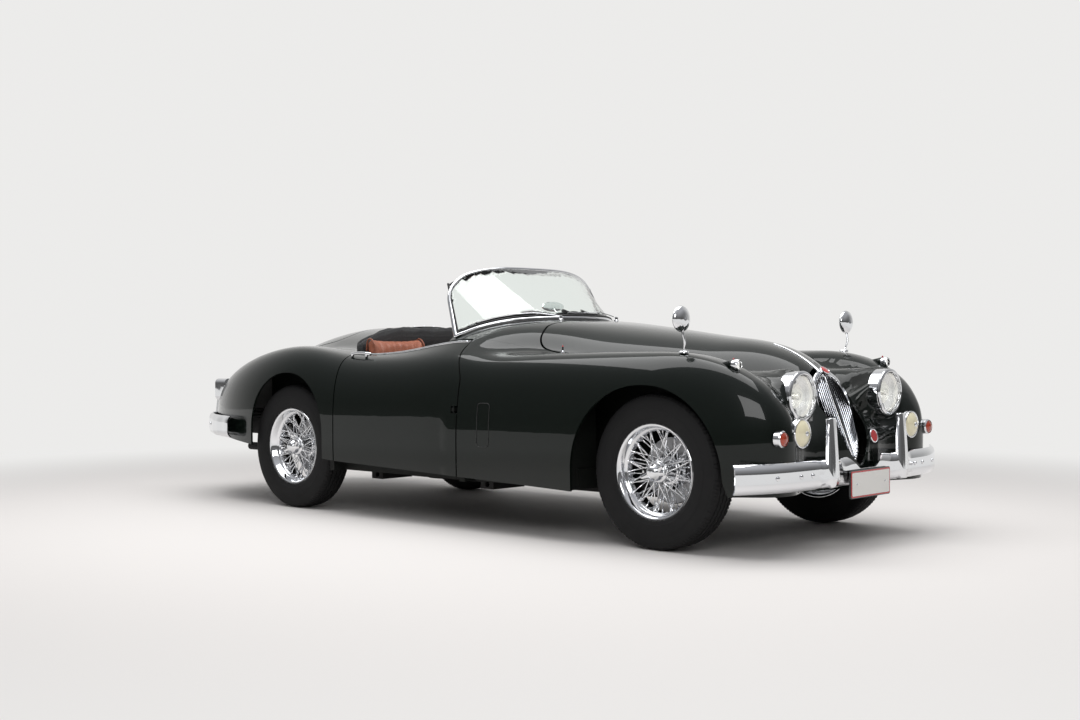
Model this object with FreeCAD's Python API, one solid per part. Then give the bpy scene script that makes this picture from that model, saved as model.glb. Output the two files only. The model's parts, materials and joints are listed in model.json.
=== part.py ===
import FreeCAD, Part
import math
import os

os.makedirs("parts", exist_ok=True)
V = FreeCAD.Vector

# A two-seat open sports car of the late 1950s, in millimetres.
# It is drawn about the point on the ground midway between the axles, +X forward, +Y left,
# +Z up, and set down with the middle of its outer box over the origin.

# Driving sizes of the whole car
WHEELBASE = 2591.0
TRACK = 1311.0
BODY_HALF_WIDTH = 806.0
SCUTTLE_HEIGHT = 1036.0
WING_HEIGHT = 872.0
WAIST_HEIGHT = 500.0
BASE_HEIGHT = 190.0
NOSE_REACH = 1880.0
TAIL_REACH = 2375.0
APRON_REACH = 1852.0
REAR_APRON_REACH = 2315.0
FRONT_REACH = 1958.0
REAR_REACH = 2500.0
WHEEL_RADIUS = 345.0
FRONT_AXLE_X = WHEELBASE / 2
REAR_AXLE_X = -WHEELBASE / 2
WHEEL_Y = TRACK / 2
ORIGIN_SHIFT = (REAR_REACH - FRONT_REACH) / 2

# Walls and gaps
SKIN = 12.0
DOOR_THICKNESS = 60.0
SEAT_GAP = 0.3
SHUT_GAP = 8.0
BONNET_GAP = 9.5
OVERRUN = 30.0

# Headlamps
LAMP_OFFSET = 372.0
LAMP_HEIGHT = 679.0
LAMP_FACE_X = 1833.0
POD_RADIUS = 106.0
POD_BACK_X = 1050.0
POD_DRIFT_OUT = 40.0
POD_DRIFT_UP = 20.0
POD_ROUND = 40.0

# Roundness of the body forms: how far each blend reaches
WING_UNDER = 700.0
WING_SCALE = 170.0
CENTRE_SCALE = 350.0
CENTRE_LOW = 420.0
APRON_SCALE = 230.0
WING_BLEND = 80.0
NOSE_BLEND = 130.0
TAIL_BLEND = 160.0
POD_BLEND = 60.0
WING_CAP_FRONT_X = 1290.0
WING_CAP_REAR_X = 1250.0
CENTRE_CAP_FRONT_X = 1250.0
CENTRE_CAP_REAR_X = 1300.0
CENTRE_NOSE_STEP = 12.0
NOSE_APRON_HALF = 690.0
NOSE_APRON_LOW = 400.0
NOSE_APRON_RISE = 235.0
NOSE_APRON_CAP_X = 1450.0
TAIL_APRON_HALF = 570.0
TAIL_APRON_LOW = 380.0
TAIL_APRON_RISE = 330.0
TAIL_APRON_CAP_X = 1700.0

# Curves along the car: (place as a share of the wheelbase from its middle, share of a size)
crown_shares = [(-0.95, 0.96), (-0.60, 1.035), (-0.46, 1.035), (-0.33, 0.985), (-0.12, 0.965),
                (0.15, 0.985), (0.40, 1.0), (0.55, 1.0), (0.75, 0.97)]
wing_centre_shares = [(-0.95, 0.50), (-0.75, 0.66), (-0.5, 0.765), (-0.1, 0.80), (0.15, 0.80),
                      (0.50, 0.785), (0.62, 0.76), (0.75, 0.68)]
side_shares = [(-0.95, 0.76), (-0.75, 0.93), (-0.5, 1.0), (-0.33, 0.995), (0.0, 0.985),
               (0.25, 0.985), (0.50, 0.99), (0.62, 0.965), (0.75, 0.90)]
centre_top_shares = [(-0.95, 0.93), (-0.65, 0.965), (-0.50, 0.98), (-0.30, 0.985), (0.0, 1.0),
                     (0.10, 1.0), (0.20, 0.985), (0.37, 0.938), (0.50, 0.900), (0.62, 0.866),
                     (0.72, 0.80)]
centre_width_shares = [(-0.95, 0.80), (-0.50, 0.86), (-0.30, 0.90), (-0.15, 0.91), (-0.03, 0.92),
                       (0.05, 0.88), (0.16, 0.77), (0.30, 0.72), (0.45, 0.60), (0.58, 0.50),
                       (0.72, 0.34)]
# How square the centre's section is along the car: upright sides at the scuttle
centre_power_shares = [(-0.95, 2.25), (-0.30, 2.4), (-0.05, 3.6), (0.10, 4.0), (0.22, 3.0), (0.40, 2.4),
                       (0.75, 2.25)]

# Fineness of the body surface
LONG_STEPS = 30
END_STEPS = 18
SIDE_STEPS = 26
CORE_FRONT_X = 1250.0
CORE_REAR_X = -1450.0
CORE_HALF = 330.0
RAY_START = 1600.0
RAY_STEP = 40.0
RAY_HALVINGS = 22


def spline(rows):
    """A natural cubic curve through rows of (place, value), as a function of place."""
    xs = [row[0] for row in rows]
    ys = [row[1] for row in rows]
    count = len(xs)
    h = [xs[i + 1] - xs[i] for i in range(count - 1)]
    low = [0.0] * count
    mid = [1.0] * count
    up = [0.0] * count
    right = [0.0] * count
    for i in range(1, count - 1):
        low[i] = h[i - 1]
        mid[i] = 2 * (h[i - 1] + h[i])
        up[i] = h[i]
        right[i] = 6 * ((ys[i + 1] - ys[i]) / h[i] - (ys[i] - ys[i - 1]) / h[i - 1])
    for i in range(1, count):
        ratio = low[i] / mid[i - 1]
        mid[i] -= ratio * up[i - 1]
        right[i] -= ratio * right[i - 1]
    m = [0.0] * count
    m[-1] = right[-1] / mid[-1]
    for i in range(count - 2, -1, -1):
        m[i] = (right[i] - up[i] * m[i + 1]) / mid[i]

    def value(x):
        if x <= xs[0]:
            slope = (ys[1] - ys[0]) / h[0] - h[0] * (2 * m[0] + m[1]) / 6
            return ys[0] + slope * (x - xs[0])
        if x >= xs[-1]:
            slope = (ys[-1] - ys[-2]) / h[-1] + h[-1] * (m[-2] + 2 * m[-1]) / 6
            return ys[-1] + slope * (x - xs[-1])
        i = 0
        while xs[i + 1] < x:
            i += 1
        a = (xs[i + 1] - x) / h[i]
        b = (x - xs[i]) / h[i]
        bend = (a ** 3 - a) * m[i] + (b ** 3 - b) * m[i + 1]
        return a * ys[i] + b * ys[i + 1] + bend * h[i] ** 2 / 6
    return value


def along_car(shares, size):
    return spline([(place * WHEELBASE, share * size) for place, share in shares])


crown = along_car(crown_shares, WING_HEIGHT)
wing_centre = along_car(wing_centre_shares, BODY_HALF_WIDTH)
side = along_car(side_shares, BODY_HALF_WIDTH)
centre_top = along_car(centre_top_shares, SCUTTLE_HEIGHT)
centre_width = along_car(centre_width_shares, BODY_HALF_WIDTH)
centre_power = along_car(centre_power_shares, 1.0)

# Exponents of the rounded sections, and how much wider a wing is on its inner side
wing_power_share = 2.7
nose_power_share = 2.3
tail_power_share = 2.0
apron_front_power_share = 3.2
apron_rear_power_share = 2.6
apron_nose_power_share = 2.6
apron_tail_power_share = 2.2
wing_inner_share = 1.25
pod_back_share = 0.9
ray_spread_share = 1.15


def cap(x, start, reach):
    return max(0.0, (x - start) / (reach - start))


def lobe(dy, dz, cx, power, end_power, size):
    r = (abs(dy) ** power + abs(dz) ** power) ** (end_power / power) + cx ** end_power
    return (r ** (1 / end_power) - 1) * size


def wing_form(x, y, z):
    """The long front-to-rear wing form on one side."""
    yc = wing_centre(x)
    half = side(x) - yc
    dy = (y - yc) / (half if y > yc else half * wing_inner_share)
    dz = (z - WAIST_HEIGHT) / (crown(x) - WAIST_HEIGHT if z > WAIST_HEIGHT else WING_UNDER)
    if x > 0:
        cx = cap(x, WING_CAP_FRONT_X, NOSE_REACH)
        return lobe(dy, dz, cx, wing_power_share, nose_power_share, WING_SCALE)
    cx = cap(-x, WING_CAP_REAR_X, TAIL_REACH)
    return lobe(dy, dz, cx, wing_power_share, tail_power_share, WING_SCALE)


def centre_form(x, y, z):
    """The bonnet, scuttle and deck form down the middle."""
    dz = (z - CENTRE_LOW) / (centre_top(x) - CENTRE_LOW if z > CENTRE_LOW else WING_UNDER)
    dy = y / centre_width(x)
    if x > 0:
        cx = cap(x, CENTRE_CAP_FRONT_X, NOSE_REACH - CENTRE_NOSE_STEP)
        return lobe(dy, dz, cx, centre_power(x), nose_power_share, CENTRE_SCALE)
    cx = cap(-x, CENTRE_CAP_REAR_X, TAIL_REACH)
    return lobe(dy, dz, cx, centre_power(x), tail_power_share, CENTRE_SCALE)


def pod_form(x, y, z):
    """A headlamp pod, which grows out of the bonnet side."""
    t = min(1.0, max(0.0, (x - POD_BACK_X) / (LAMP_FACE_X - POD_BACK_X)))
    cy = LAMP_OFFSET + (1 - t) * POD_DRIFT_OUT
    cz = LAMP_HEIGHT + (1 - t) * POD_DRIFT_UP
    radius = POD_RADIUS * (pod_back_share + (1 - pod_back_share) * t)
    d = math.hypot(y - cy, z - cz) - radius
    e = x - LAMP_FACE_X + POD_ROUND
    if e > 0:
        if d > -POD_ROUND:
            d = math.hypot(max(d + POD_ROUND, 0.0), e) - POD_ROUND
        else:
            d = e - POD_ROUND
    if x < POD_BACK_X:
        d = max(d, POD_BACK_X - x)
    return d


def apron_form(x, y, z):
    """The low band across the nose and across the tail, under lamps and lid."""
    if x > 0:
        dz = (z - NOSE_APRON_LOW) / (NOSE_APRON_RISE if z > NOSE_APRON_LOW else WING_UNDER)
        cx = cap(x, NOSE_APRON_CAP_X, APRON_REACH)
        return lobe(y / NOSE_APRON_HALF, dz, cx, apron_front_power_share,
                    apron_nose_power_share, APRON_SCALE)
    dz = (z - TAIL_APRON_LOW) / (TAIL_APRON_RISE if z > TAIL_APRON_LOW else WING_UNDER)
    cx = cap(-x, TAIL_APRON_CAP_X, REAR_APRON_REACH)
    return lobe(y / TAIL_APRON_HALF, dz, cx, apron_rear_power_share,
                apron_tail_power_share, APRON_SCALE)


def smooth_min(a, b, k):
    h = max(0.0, k - abs(a - b)) / k
    return min(a, b) - h * h * h * k / 6


def body_form(x, y, z):
    """Below zero inside the body, above zero outside."""
    y = abs(y)
    f = smooth_min(wing_form(x, y, z), centre_form(x, y, z), WING_BLEND)
    f = smooth_min(f, apron_form(x, y, z), NOSE_BLEND if x > 0 else TAIL_BLEND)
    if x > 0:
        f = smooth_min(f, pod_form(x, y, z), POD_BLEND)
    return f


def ray_hit(origin, direction):
    """Where a ray from inside leaves the body form."""
    def f(r):
        return body_form(*(origin[i] + r * direction[i] for i in range(3)))
    r = RAY_START
    while r > 0 and f(r) > 0:
        r -= RAY_STEP
    low = r
    high = r + RAY_STEP
    for _ in range(RAY_HALVINGS):
        mid = (low + high) / 2
        if f(mid) > 0:
            high = mid
        else:
            low = mid
    return tuple(origin[i] + low * direction[i] for i in range(3))


def body_grid():
    """Rows of surface points over the left half of the body, rear to front."""
    rows = []
    total = LONG_STEPS + 2 * END_STEPS
    for i in range(total + 1):
        if i < END_STEPS:
            lean = -(1 - i / END_STEPS)
            core_x = CORE_REAR_X
        elif i > total - END_STEPS:
            lean = (i - (total - END_STEPS)) / END_STEPS
            core_x = CORE_FRONT_X
        else:
            lean = 0.0
            core_x = CORE_REAR_X + (CORE_FRONT_X - CORE_REAR_X) * (i - END_STEPS) / LONG_STEPS
        g = math.sin(lean * math.pi / 2)
        row = []
        for j in range(SIDE_STEPS + 1):
            t = j / SIDE_STEPS
            k = math.sin(t * math.pi / 2) ** ray_spread_share
            hx = g * math.sqrt(1 - k * k / 2)
            hy = k * math.sqrt(1 - g * g / 2)
            hz = math.sqrt(max(0.0, 1 - hx * hx - hy * hy))
            if j == SIDE_STEPS or i in (0, total):
                hz = 0.0
            row.append(V(*ray_hit((core_x, CORE_HALF * t, BASE_HEIGHT), (hx, hy, hz))))
        rows.append(row)
    return rows


def full_grid():
    rows = []
    for row in body_grid():
        rows.append([V(p.x, -p.y, p.z) for p in reversed(row[1:])] + row)
    return rows


def rim_outward(rows, i, j):
    """The level direction that points out of the body at a point of the rim."""
    last_i = len(rows) - 1
    last_j = len(rows[0]) - 1
    if i in (0, last_i):
        a = rows[i][max(j - 1, 0)]
        b = rows[i][min(j + 1, last_j)]
        if j in (0, last_j):
            a = rows[i][abs(j - 1)]
            b = rows[abs(i - 1)][j]
    else:
        a = rows[i - 1][j]
        b = rows[i + 1][j]
    along = b - a
    flat = V(-along.y, along.x, 0)
    flat.normalize()
    middle = V((CORE_FRONT_X + CORE_REAR_X) / 2, 0, 0)
    return flat if flat.dot(rows[i][j] - middle) > 0 else flat * -1


def inset_grid(rows, depth):
    """The same grid moved inwards, its rim dropped a little below the base."""
    last_i = len(rows) - 1
    last_j = len(rows[0]) - 1
    moved = []
    for i, row in enumerate(rows):
        new_row = []
        for j, p in enumerate(row):
            if i in (0, last_i) or j in (0, last_j):
                q = p - rim_outward(rows, i, j) * depth
                q.z = BASE_HEIGHT - SKIN
            else:
                du = rows[i + 1][j] - rows[i - 1][j]
                dv = rows[i][j + 1] - rows[i][j - 1]
                normal = du.cross(dv)
                normal.normalize()
                q = p - normal * depth
            new_row.append(q)
        moved.append(new_row)
    return moved


def closed_on_base(rows):
    """A solid between the surface through the rows and the plane of its rim."""
    surface = Part.BSplineSurface()
    surface.interpolate(rows)
    rim_z = rows[0][0].z
    for i in range(1, surface.NbUPoles + 1):
        for j in range(1, surface.NbVPoles + 1):
            if i in (1, surface.NbUPoles) or j in (1, surface.NbVPoles):
                pole = surface.getPole(i, j)
                surface.setPole(i, j, V(pole.x, pole.y, rim_z))
    face = surface.toShape()
    base = Part.Face(Part.Plane(V(0, 0, rim_z), V(0, 0, 1)), face.OuterWire)
    shell = Part.Shell([face, base])
    shell.sewShape()
    solid = Part.Solid(shell)
    if solid.Volume < 0:
        solid.reverse()
    return solid


# Plain helpers

def box(x0, x1, y0, y1, z0, z1):
    return Part.makeBox(x1 - x0, y1 - y0, z1 - z0, V(x0, y0, z0))


def rod(start, end, radius):
    axis = end - start
    return Part.makeCylinder(radius, axis.Length, start, axis)


def mirrored(shape):
    return shape.mirror(V(0, 0, 0), V(0, 1, 0))


def both_sides(shape):
    return Part.makeCompound([shape, mirrored(shape)])


def fused(shapes):
    result = shapes[0]
    if len(shapes) > 1:
        result = shapes[0].multiFuse(shapes[1:])
    return result.removeSplitter()


straight_share = 1e-6
RUNNING_GAP = 0.4


def in_plane(plane, u, v):
    """A point of the plane named by its two axes: xy, xz or yz."""
    return {"xy": V(u, v, 0), "xz": V(u, 0, v), "yz": V(0, u, v)}[plane]


def without_straight_corners(points):
    kept = []
    for i, (u, v, radius) in enumerate(points):
        a = points[i - 1]
        b = points[(i + 1) % len(points)]
        ahead = math.atan2(b[1] - v, b[0] - u) - math.atan2(v - a[1], u - a[0])
        if abs(math.sin(ahead)) > straight_share or math.cos(ahead) < 0:
            kept.append((u, v, radius))
    return kept


same_point_share = 0.09


def rounded_wire(points, plane, grow=0.0):
    """A closed outline of straight lines with arcs at its corners, from (u, v, radius)."""
    area = sum(p[0] * q[1] - q[0] * p[1] for p, q in zip(points, points[1:] + points[:1]))
    if area < 0:
        points = points[::-1]
    points = without_straight_corners(points)
    count = len(points)
    lines = []
    for i in range(count):
        p = points[i]
        q = points[(i + 1) % count]
        length = math.hypot(q[0] - p[0], q[1] - p[1])
        d = ((q[0] - p[0]) / length, (q[1] - p[1]) / length)
        lines.append(((p[0] + d[1] * grow, p[1] - d[0] * grow), d))
    corners = []
    for i in range(count):
        (p, d) = lines[i - 1]
        (q, e) = lines[i]
        cross = d[0] * e[1] - d[1] * e[0]
        t = ((q[0] - p[0]) * e[1] - (q[1] - p[1]) * e[0]) / cross
        corner = (p[0] + d[0] * t, p[1] + d[1] * t)
        turn = math.atan2(cross, d[0] * e[0] + d[1] * e[1])
        radius = points[i][2]
        if radius:
            radius = max(0.0, radius + (grow if turn > 0 else -grow))
        corners.append((corner, d, e, turn, radius))
    edges = []
    last = None
    first = None
    for corner, d, e, turn, radius in corners:
        cut = radius * math.tan(abs(turn) / 2)
        start = in_plane(plane, corner[0] - d[0] * cut, corner[1] - d[1] * cut)
        end = in_plane(plane, corner[0] + e[0] * cut, corner[1] + e[1] * cut)
        if last is None:
            first = start
        elif (start - last).Length > SEAT_GAP * same_point_share:
            edges.append(Part.LineSegment(last, start).toShape())
        if radius:
            inward = in_plane(plane, e[0] - d[0], e[1] - d[1])
            inward.normalize()
            tip = in_plane(plane, corner[0], corner[1])
            middle = tip + inward * (math.hypot(radius, cut) - radius)
            edges.append(Part.Arc(start, middle, end).toShape())
        last = end
    edges.append(Part.LineSegment(last, first).toShape())
    return Part.Wire(edges)


def prism(points, plane, low, high, grow=0.0):
    """A rounded outline pushed along the axis square to its plane."""
    face = Part.Face(rounded_wire(points, plane, grow))
    axis = {"xy": V(0, 0, 1), "xz": V(0, 1, 0), "yz": V(1, 0, 0)}[plane]
    face.translate(axis * low)
    return face.extrude(axis * (high - low))


def band(points, width):
    """The outline of a strip of even width along an open line of (u, v) points."""
    left = []
    right = []
    for i, p in enumerate(points):
        a = points[max(i - 1, 0)]
        b = points[min(i + 1, len(points) - 1)]
        d1 = (p[0] - a[0], p[1] - a[1]) if i else (b[0] - p[0], b[1] - p[1])
        d2 = (b[0] - p[0], b[1] - p[1]) if i < len(points) - 1 else d1
        n1 = math.hypot(*d1)
        n2 = math.hypot(*d2)
        m = (-(d1[1] / n1 + d2[1] / n2) / 2, (d1[0] / n1 + d2[0] / n2) / 2)
        scale = width / 2 / (m[0] ** 2 + m[1] ** 2)
        left.append((p[0] + m[0] * scale, p[1] + m[1] * scale, 0))
        right.append((p[0] - m[0] * scale, p[1] - m[1] * scale, 0))
    return left + right[::-1]


def bent_band(points, width, radius):
    """A band with its bends rounded."""
    outline = band(points, width)
    count = len(points)
    ends = (0, count - 1, count, 2 * count - 1)
    return [(u, v, 0 if i in ends else radius) for i, (u, v, _) in enumerate(outline)]


def bent_line(points, bend=None):
    """Straight runs and arcs along the points, with bends as wide as the runs allow or of one radius."""
    edges = []
    last = points[0]
    for a, b, c in zip(points, points[1:], points[2:]):
        before = b - a
        after = c - b
        half_turn = before.getAngle(after) / 2
        if half_turn < straight_share:
            continue
        room = min((b - last).Length, after.Length / 2)
        cut = min(room, bend * math.tan(half_turn)) if bend else room
        before.normalize()
        after.normalize()
        start = b - before * cut
        end = b + after * cut
        inward = after - before
        inward.normalize()
        radius = cut / math.tan(half_turn)
        middle = b + inward * (math.hypot(radius, cut) - radius)
        if (start - last).Length > RUNNING_GAP:
            edges.append(Part.LineSegment(last, start).toShape())
        else:
            start = last
        edges.append(Part.Arc(start, middle, end).toShape())
        last = end
    if (points[-1] - last).Length > RUNNING_GAP:
        edges.append(Part.LineSegment(last, points[-1]).toShape())
    return Part.Wire(edges)


def tube_through(points, radius, bend=None):
    """A round tube along straight runs and bends."""
    ring = Part.Wire(Part.Circle(points[0], points[1] - points[0], radius).toShape())
    return bent_line(points, bend).makePipe(Part.Face(ring))


def turned(profile, centre, axis):
    """A solid of revolution from (distance along the axis, radius) points."""
    side_way = V(0, 0, 1) if abs(axis.z) < abs(axis.x) + abs(axis.y) else V(1, 0, 0)
    across = side_way - axis * side_way.dot(axis)
    across.normalize()
    points = [centre + axis * p[0] + across * p[1] for p in profile]
    face = Part.Face(Part.makePolygon(points + points[:1]))
    return face.revolve(centre, axis, 360)


def export(name, shape):
    shape = shape.copy()
    shape.translate(V(ORIGIN_SHIFT, 0, 0))
    shape.exportStep("parts/" + name + ".step")


def surface_z(x, y):
    """Height of the body's top at a place in plan."""
    low = BASE_HEIGHT
    high = SCUTTLE_HEIGHT * 2
    z = high
    while body_form(x, y, z) > 0 and z > low:
        z -= RAY_STEP / 4
    top = z + RAY_STEP / 4
    for _ in range(RAY_HALVINGS):
        mid = (z + top) / 2
        if body_form(x, y, mid) > 0:
            top = mid
        else:
            z = mid
    return z


def surface_y(x, z):
    """Half width of the body at a place in side view."""
    y = BODY_HALF_WIDTH + RAY_STEP
    while body_form(x, y, z) > 0 and y > 0:
        y -= RAY_STEP / 4
    outer = y + RAY_STEP / 4
    for _ in range(RAY_HALVINGS):
        mid = (y + outer) / 2
        if body_form(x, mid, z) > 0:
            outer = mid
        else:
            y = mid
    return y


# Where the body panels part, in plan and in side view
DOOR_FRONT_X = 118.0
DOOR_REAR_X = -832.0
DOOR_INNER_Y = 622.0
COCKPIT_FRONT_X = 90.0
COCKPIT_REAR_X = -960.0
COCKPIT_HALF = 560.0
BONNET_REAR_X = 360.0
BONNET_HALF = 560.0
BONNET_CORNER = 60.0
NOSE_HALF = 235.0
LID_FRONT_X = -1340.0
LID_HALF = 330.0
LID_LOW_Z = 470.0
SILL_FRONT_Z = 238.0
SILL_REAR_Z = 290.0
NOSE_LOW_Z = 264.0
TAIL_LOW_Z = 400.0
ARCH_FRONT_X = 1275.0
ARCH_FRONT_Z = 326.0
ARCH_FRONT_RADIUS = 402.0
ARCH_REAR_X = -1269.0
ARCH_REAR_Z = 422.0
ARCH_REAR_RADIUS = 337.0

UNDER = BASE_HEIGHT - 3 * OVERRUN
ABOVE = SCUTTLE_HEIGHT + 3 * OVERRUN
FAR_FRONT = FRONT_REACH + OVERRUN
FAR_REAR = -REAR_REACH - OVERRUN
FAR_SIDE = BODY_HALF_WIDTH + OVERRUN

lower_edge = [(FAR_FRONT, UNDER, 0), (FAR_FRONT, NOSE_LOW_Z, 0),
              (ARCH_FRONT_X + ARCH_FRONT_RADIUS * 1.2, NOSE_LOW_Z, 0),
              (ARCH_FRONT_X - ARCH_FRONT_RADIUS, SILL_FRONT_Z, 0),
              (DOOR_REAR_X, SILL_REAR_Z, 0),
              (ARCH_REAR_X - ARCH_REAR_RADIUS, (SILL_REAR_Z + TAIL_LOW_Z) / 2, 0),
              (-REAR_APRON_REACH, TAIL_LOW_Z, 0), (FAR_REAR, TAIL_LOW_Z, 0), (FAR_REAR, UNDER, 0)]

def mirrored_outline(half):
    """A whole outline from the points of its left half, first and last near the middle."""
    return half + [(x, -y, r) for x, y, r in reversed(half)]


# The bonnet in plan: wide at the scuttle, narrow over the grille, hollow in front
bonnet_outline = mirrored_outline([
    (BONNET_REAR_X, BONNET_HALF * 0.70, BONNET_CORNER * 2),
    (BONNET_REAR_X + BONNET_CORNER, BONNET_HALF * 0.955, BONNET_CORNER * 1.5),
    (BONNET_REAR_X + 4 * BONNET_CORNER, BONNET_HALF * 0.93, 3 * BONNET_HALF),
    (BONNET_REAR_X + 9 * BONNET_CORNER, BONNET_HALF * 0.84, 3 * BONNET_HALF),
    (ARCH_FRONT_X - BONNET_CORNER, BONNET_HALF * 0.745, 3 * BONNET_HALF),
    (ARCH_FRONT_X + ARCH_FRONT_RADIUS * 0.55, BONNET_HALF * 0.60, BONNET_HALF),
    (LAMP_FACE_X - BONNET_CORNER * 1.5, BONNET_HALF * 0.27, BONNET_CORNER / 2),
    (LAMP_FACE_X - BONNET_CORNER * 2.2, BONNET_HALF * 0.135, BONNET_HALF / 2)])

HORN_REAR_X = -125.0
HORN_WIDTH = 40.0
scuttle_outline = mirrored_outline([
    (COCKPIT_FRONT_X, COCKPIT_HALF * 0.5, COCKPIT_HALF / 2),
    (COCKPIT_FRONT_X - 2 * SHUT_GAP, COCKPIT_HALF * 0.8, COCKPIT_HALF / 4),
    (COCKPIT_FRONT_X - 4 * HORN_WIDTH, COCKPIT_HALF, HORN_WIDTH),
    (HORN_REAR_X, DOOR_INNER_Y - SHUT_GAP - HORN_WIDTH, 0),
    (HORN_REAR_X, DOOR_INNER_Y - SHUT_GAP, 0),
    (DOOR_FRONT_X + SHUT_GAP, DOOR_INNER_Y - SHUT_GAP, 0),
    (BONNET_REAR_X + BONNET_CORNER, BONNET_HALF, 0)])

deck_outline = mirrored_outline([
    (COCKPIT_REAR_X, COCKPIT_HALF * 0.6, COCKPIT_HALF / 2),
    (COCKPIT_REAR_X + DOOR_THICKNESS, COCKPIT_HALF * 0.95, COCKPIT_HALF / 8),
    (DOOR_REAR_X - SHUT_GAP, DOOR_INNER_Y - 2 * SHUT_GAP, 0),
    (DOOR_REAR_X - SHUT_GAP, DOOR_INNER_Y, 0),
    (REAR_AXLE_X, DOOR_INNER_Y * 0.95, 3 * COCKPIT_HALF),
    (REAR_AXLE_X * 1.45, DOOR_INNER_Y * 0.80, 3 * COCKPIT_HALF),
    (FAR_REAR, DOOR_INNER_Y * 0.52, 0)])

lid_outline = mirrored_outline([
    (LID_FRONT_X, LID_HALF * 0.7, 0),
    (LID_FRONT_X, LID_HALF, BONNET_CORNER * 1.5),
    (LID_FRONT_X * 1.35, LID_HALF * 1.02, LID_HALF),
    (-TAIL_REACH + LID_HALF, LID_HALF * 0.92, LID_HALF),
    (FAR_REAR, LID_HALF * 0.62, 0)])

nose_outline = mirrored_outline([
    (CENTRE_CAP_FRONT_X + NOSE_HALF, NOSE_HALF, 0), (FAR_FRONT, NOSE_HALF, 0)])

front_arch = [(ARCH_FRONT_X - ARCH_FRONT_RADIUS, UNDER, 0),
              (ARCH_FRONT_X - ARCH_FRONT_RADIUS, ARCH_FRONT_Z + ARCH_FRONT_RADIUS, ARCH_FRONT_RADIUS - SKIN),
              (ARCH_FRONT_X + ARCH_FRONT_RADIUS, ARCH_FRONT_Z + ARCH_FRONT_RADIUS, ARCH_FRONT_RADIUS - SKIN),
              (ARCH_FRONT_X + ARCH_FRONT_RADIUS, ARCH_FRONT_Z, ARCH_FRONT_RADIUS / 2),
              (ARCH_FRONT_X + ARCH_FRONT_RADIUS * 1.2, UNDER, 0)]
rear_arch = [(ARCH_REAR_X + ARCH_REAR_RADIUS, UNDER, 0),
             (ARCH_REAR_X + ARCH_REAR_RADIUS, ARCH_REAR_Z + ARCH_REAR_RADIUS, ARCH_REAR_RADIUS - SKIN),
             (ARCH_REAR_X - ARCH_REAR_RADIUS, ARCH_REAR_Z + ARCH_REAR_RADIUS, ARCH_REAR_RADIUS - SKIN),
             (ARCH_REAR_X - ARCH_REAR_RADIUS, UNDER, 0)]

DOOR_SHOULDER_Z = 745.0
DOOR_LEAN = 70.0
door_outline = [(DOOR_FRONT_X, UNDER, 0), (DOOR_FRONT_X, DOOR_SHOULDER_Z, DOOR_LEAN),
                (DOOR_FRONT_X - DOOR_LEAN, WING_HEIGHT, DOOR_LEAN), (DOOR_FRONT_X - DOOR_LEAN, ABOVE, 0),
                (DOOR_REAR_X, ABOVE, 0), (DOOR_REAR_X, UNDER, 0)]

# The body as a whole, and its skin
GRID = full_grid()
OUTER = closed_on_base(GRID)
INNER = closed_on_base(inset_grid(GRID, SKIN))
ROOM = closed_on_base(inset_grid(GRID, SKIN + SEAT_GAP))
TRIMMED = OUTER.cut(prism(lower_edge, "xz", -FAR_SIDE, FAR_SIDE))
SHELL = TRIMMED.cut(INNER)


def plan_prism(outline, grow=0.0):
    return prism(outline, "xy", UNDER, ABOVE, grow)


def solids_over(shape, least_share=0.02):
    """Only the real pieces of a cut shape, without its crumbs."""
    biggest = max(solid.Volume for solid in shape.Solids)
    kept = [solid for solid in shape.Solids if solid.Volume > least_share * biggest]
    return kept[0] if len(kept) == 1 else Part.makeCompound(kept)


# The grille opening, an egg in front view that leans back
GRILLE_TOP_Z = 781.0
GRILLE_LOW_Z = 372.0
GRILLE_TOP_X = 1698.0
GRILLE_LOW_X = 1860.0
GRILLE_HALF = 137.0
grille_shares = [(0.0, 0.06), (0.06, 0.30), (0.22, 0.66), (0.42, 0.92), (0.63, 1.0), (0.83, 0.82),
                 (0.94, 0.52),
                 (1.0, 0.10)]
grille_curve = spline(grille_shares)


def grille_half_width(z):
    """Half width of the opening at a height."""
    share = (z - GRILLE_LOW_Z) / (GRILLE_TOP_Z - GRILLE_LOW_Z)
    return GRILLE_HALF * max(0.0, grille_curve(min(1.0, max(0.0, share))))


def egg_points(x, grow):
    """The grille's outline in a plane across the car."""
    steps = 12
    half = []
    for i in range(steps + 1):
        share = (1 - math.cos(math.pi * i / steps)) / 2
        z = GRILLE_LOW_Z + share * (GRILLE_TOP_Z - GRILLE_LOW_Z)
        half.append((grille_half_width(z) if 0 < i < steps else 0.0, z))
    middle_z = (GRILLE_LOW_Z + GRILLE_TOP_Z) / 2
    stretch_y = 1 + grow / GRILLE_HALF
    stretch_z = 1 + 2 * grow / (GRILLE_TOP_Z - GRILLE_LOW_Z)
    points = [V(x, y * stretch_y, middle_z + (z - middle_z) * stretch_z) for y, z in half]
    return points + [V(x, -p.y, p.z) for p in reversed(points[1:-1])]


def egg_wire(x, grow):
    curve = Part.BSplineCurve()
    curve.interpolate(egg_points(x, grow), PeriodicFlag=True)
    return Part.Wire(curve.toShape())


SURROUND = 9.0
GRILLE_SEAT = 1.2
GRILLE_CLEAR = 6.5


def grille_opening(clear):
    """The grille's outline with its surround and a clearance, pushed forward through the nose."""
    face = Part.Face(egg_wire(CENTRE_CAP_FRONT_X, SURROUND + clear))
    return face.extrude(V(FAR_FRONT - CENTRE_CAP_FRONT_X, 0, 0))


def make_bonnet():
    bonnet = SHELL.common(plan_prism(bonnet_outline, -BONNET_GAP / 2))
    return solids_over(bonnet.cut(grille_opening(GRILLE_CLEAR)))


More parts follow.
